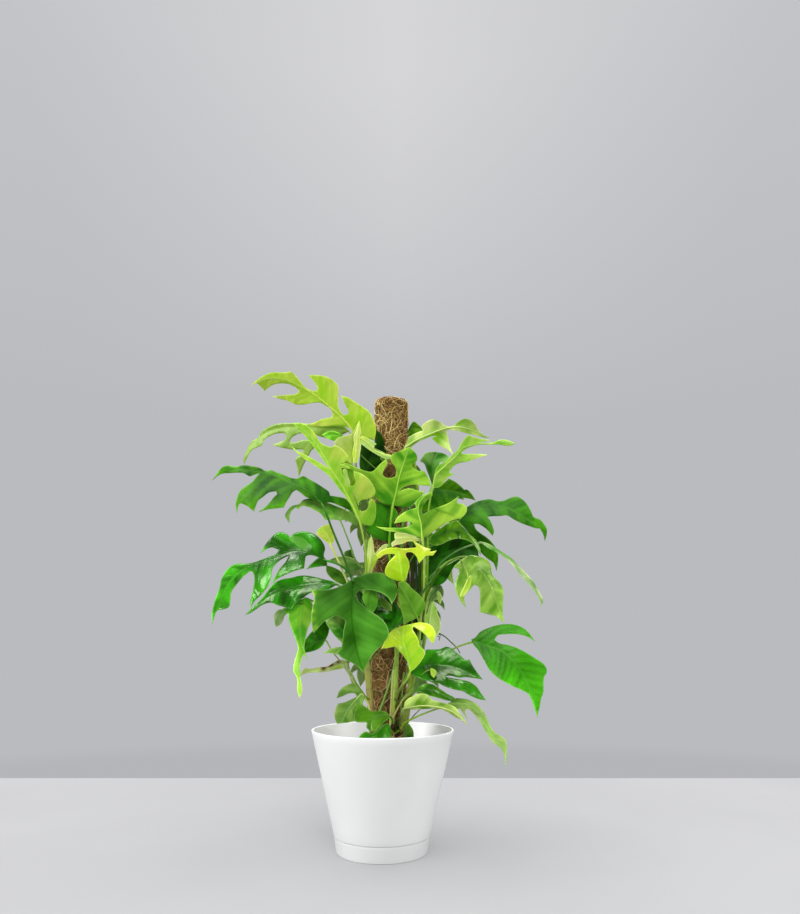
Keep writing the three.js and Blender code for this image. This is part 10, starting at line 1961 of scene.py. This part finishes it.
sz = SEAM_Z - 0.3
sau_prof = [(0, 0), (30, 0), (BASE_R - 1.4, 0)]
sau_prof += arc(BASE_R - 1.15, 1.3, 1.3, -90, -6, 8)
sau_prof += spread((saucer_r(2.4), 2.4), (saucer_r(sz - 0.9), sz - 0.9), 5)
sau_prof += [(saucer_r(sz - 0.7) - 0.02, sz - 0.7), (saucer_r(sz) - 0.3, sz - 0.25), (saucer_r(sz) - 0.8, sz), (saucer_r(sz) - 2.0, sz), (saucer_r(sz) - 2.6, sz - 0.4)]
sau_prof += [(saucer_r(6) - 2.7, 6.0)]
sau_prof += arc(saucer_r(6) - 5.1, 5.6, 2.4, -10, -90, 6)
sau_prof += [(30, 3.2), (0, 3.2)]
V, F = lathe("saucer", sau_prof, SAUCER)
sau = new_object("saucer_shell", V, F, [SAUCER])
bm = bmesh.new()
bm.from_mesh(sau.data)
bmesh.ops.recalc_face_normals(bm, faces=bm.faces)
bm.to_mesh(sau.data)
bm.free()
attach(sau, "root")
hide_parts("saucer")


# -------------------------------------------------------------------- soil ----
def soil_material():
    m, nt, out = material("potting_mix_crumbs")
    g = G(nt)
    tint = g.attr("tint", color=True)
    a = g.noise(260, 5, 0.7)
    c = g.mix(g.ramp(a, 0.35, 0.65), g.hsv(tint, 0.5, 1.0, 0.55), g.hsv(tint, 0.5, 0.9, 1.35))
    c = g.mix(g.ramp(g.noise(700, 2), 0.66, 0.74, 0.0, 0.5), c, tuple(srgb(150, 120, 84)))
    n = g.bump(g.math("ADD", a, g.noise(1200, 3, 0.6)), 0.8, 0.0016)
    p = g.principled(c, g.ramp(a, 0.3, 0.7, 0.75, 0.97), Normal=n, Specular_IOR_Level=0.25)
    nt.links.new(p.outputs[0], out.inputs[0])
    return m


SOIL = soil_material()


def build_soil():
    rnd = random.Random(5)
    parts = []
    V, F = [], []
    rings, seg = 46, 150
    Rm = inner(134.5) - 0.5
    base = lin((62, 46, 34))

    def height(x, y):
        return 134.6 + 1.6 * noise.fractal(Vector((x * 0.05, y * 0.05, 2.0)), 0.8, 2.1, 5) + 0.9 * noise.noise(Vector((x * 0.28, y * 0.28, 7.0)))

    for i in range(rings + 1):
        rr = Rm * i / rings
        if i == 0:
            V.append((0, 0, height(0, 0)))
            continue
        for k in range(seg):
            q = 2 * math.pi * k / seg
            x, y = rr * math.cos(q), rr * math.sin(q)
            V.append((x, y, min(137.4, height(x, y)) - (1.2 if i == rings else 0)))
    for k in range(seg):
        F.append((0, 1 + k, 1 + (k + 1) % seg))
    for i in range(1, rings):
        for k in range(seg):
            a, b = 1 + (i - 1) * seg + k, 1 + (i - 1) * seg + (k + 1) % seg
            F.append((a, a + seg, b + seg, b))
    # side and underside, so that the root ball is closed
    o = 1 + (rings - 1) * seg
    zs = [100, 60, 30, f_top + 0.6]
    prev = o
    for z in zs:
        st = len(V)
        rr = inner(z) - 0.5 - (2.4 if z < 27 else 0)
        V += [(rr * math.cos(2 * math.pi * k / seg), rr * math.sin(2 * math.pi * k / seg), z) for k in range(seg)]
        for k in range(seg):
            F.append((prev + k, st + k, st + (k + 1) % seg, prev + (k + 1) % seg))
        prev = st
    V.append((0, 0, f_top + 0.6))
    for k in range(seg):
        F.append((prev + (k + 1) % seg, prev + k, len(V) - 1))
    cols = np.array([base * (0.7 + 0.6 * (0.5 + 0.5 * noise.noise(Vector((v[0] * 0.12, v[1] * 0.12, 0))))) for v in V])
    parts.append((np.array(V), F, 0, {}, cols))
    # crumbs, bark chips and perlite-like grains
    ico = bmesh.new()
    bmesh.ops.create_icosphere(ico, subdivisions=2, radius=1.0)
    iv = np.array([v.co[:] for v in ico.verts])
    iff = [tuple(v.index for v in f.verts) for f in ico.faces]
    ico.free()
    for k in range(760):
        q = rnd.uniform(0, 2 * math.pi)
        rr = (Rm - 4) * math.sqrt(rnd.random())
        x, y = rr * math.cos(q), rr * math.sin(q)
        kind = rnd.random()
        if kind < 0.72:
            s = np.array([1, 1, 0.8]) * rnd.uniform(0.9, 2.6)
            c = lin(rnd.choice([(58, 42, 30), (74, 54, 38), (46, 34, 26), (88, 66, 46)]))
        elif kind < 0.94:
            s = np.array([rnd.uniform(3, 6.5), rnd.uniform(1.6, 3), rnd.uniform(0.9, 1.6)])
            c = lin(rnd.choice([(120, 84, 52), (98, 68, 42), (140, 104, 66)]))
        else:
            s = np.array([1, 1, 0.9]) * rnd.uniform(0.9, 1.6)
            c = lin((196, 190, 176))
        a1, a2 = rnd.uniform(0, 6.28), rnd.uniform(-0.35, 0.35)
        v = iv.copy()
        v = v * (1 + 0.25 * np.array([noise.noise(Vector((p[0] * 1.4 + k, p[1] * 1.4, p[2] * 1.4))) for p in v]))[:, None]
        v = v * s
        ca, sa = math.cos(a1), math.sin(a1)
        cb, sb = math.cos(a2), math.sin(a2)
        v = v @ np.array([[cb, 0, sb], [0, 1, 0], [-sb, 0, cb]]).T @ np.array([[ca, -sa, 0], [sa, ca, 0], [0, 0, 1]]).T
        z = min(137.0, height(x, y)) + s[2] * 0.35
        parts.append((v + np.array([x, y, z]), iff, 0, {}, c))
    V, F, I, At, C = join(parts)
    o = new_object("potting_mix", V, F, [SOIL], colors={"tint": C})
    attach(o, "root")
    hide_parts("soil")


build_soil()

# ------------------------------------------------------------------- floor ----
FM, nt, out = material("floor_paint")
g = G(nt)
c = g.mix(g.ramp(g.noise(3, 2), 0.3, 0.7), tuple(srgb(201, 201, 203)), tuple(srgb(204, 204, 206)))
p = g.principled(c, 0.85, Specular_IOR_Level=0.1)
nt.links.new(p.outputs[0], out.inputs[0])
floor = new_object("floor", [(-4000, -3000, -0.05), (4000, -3000, -0.05), (4000, 570, -0.05), (-4000, 570, -0.05)], [(0, 1, 2, 3)], [FM], smooth=False)
# the floor has a wide, even wash of its own, so that the pot stands in one soft contact shadow
apart = bpy.data.collections.new("floor_apart")
apart.objects.link(floor)
apart.collection_objects[0].light_linking.link_state = "EXCLUDE"
for lamp in ("top_box", "key_left", "rim_right"):
    bpy.data.objects[lamp].light_linking.receiver_collection = apart
washed = bpy.data.collections.new("floor_washed")
washed.objects.link(floor)
wash = area("floor_wash", (0.0, 0.3, 4.0), (0.0, 0.3, 0.0), (9.0, 9.0), 370)
wash.light_linking.receiver_collection = washed
# the inside of the pot gets a soft wash from above that the leaves do not shade
potted = bpy.data.collections.new("pot_washed")
potted.objects.link(bpy.data.objects["pot_shell"])
wash = area("pot_wash", (0.0, 0.0, 2.0), (0.0, 0.0, 0.15), (2.6, 2.6), 85)
wash.light_linking.receiver_collection = potted
wash.light_linking.blocker_collection = potted

# a grey studio dome, seen only as the backdrop; its glow is painted lighter high up and towards the middle and darker
# low down, a painted fall-off of light
DM, nt, out = material("backdrop_grey")
g = G(nt)
sep = g.node("ShaderNodeSeparateXYZ")
nt.links.new(g.coord(), sep.inputs[0])
# painted light: the backdrop's glow brightens towards the top and the middle and dims low down
painted_light_high = g.ramp(sep.outputs[2], 2.9, 6.2, smooth=False)
side = g.ramp(g.math("ABSOLUTE", sep.outputs[0]), 0.0, 3.6, 1.0, 0.33, smooth=False)
low = g.ramp(sep.outputs[2], -1.02, -0.82, 0.45, 0.0)
c = g.mix(g.math("MULTIPLY", painted_light_high, side), tuple(srgb(186, 187, 191)), tuple(srgb(214, 214, 216)))
c = g.mix(low, c, tuple(srgb(172, 174, 178)))
em = g.node("ShaderNodeEmission")
nt.links.new(c, em.inputs[0])
nt.links.new(em.outputs[0], out.inputs[0])
bm = bmesh.new()
bmesh.ops.create_uvsphere(bm, u_segments=64, v_segments=32, radius=8)
me = bpy.data.meshes.new("backdrop")
bm.to_mesh(me)
bm.free()
me.materials.append(DM)
dome = bpy.data.objects.new("backdrop", me)
scene.collection.objects.link(dome)
for flag in ("visible_diffuse", "visible_glossy", "visible_transmission", "visible_volume_scatter", "visible_shadow"):
    setattr(dome, flag, False)
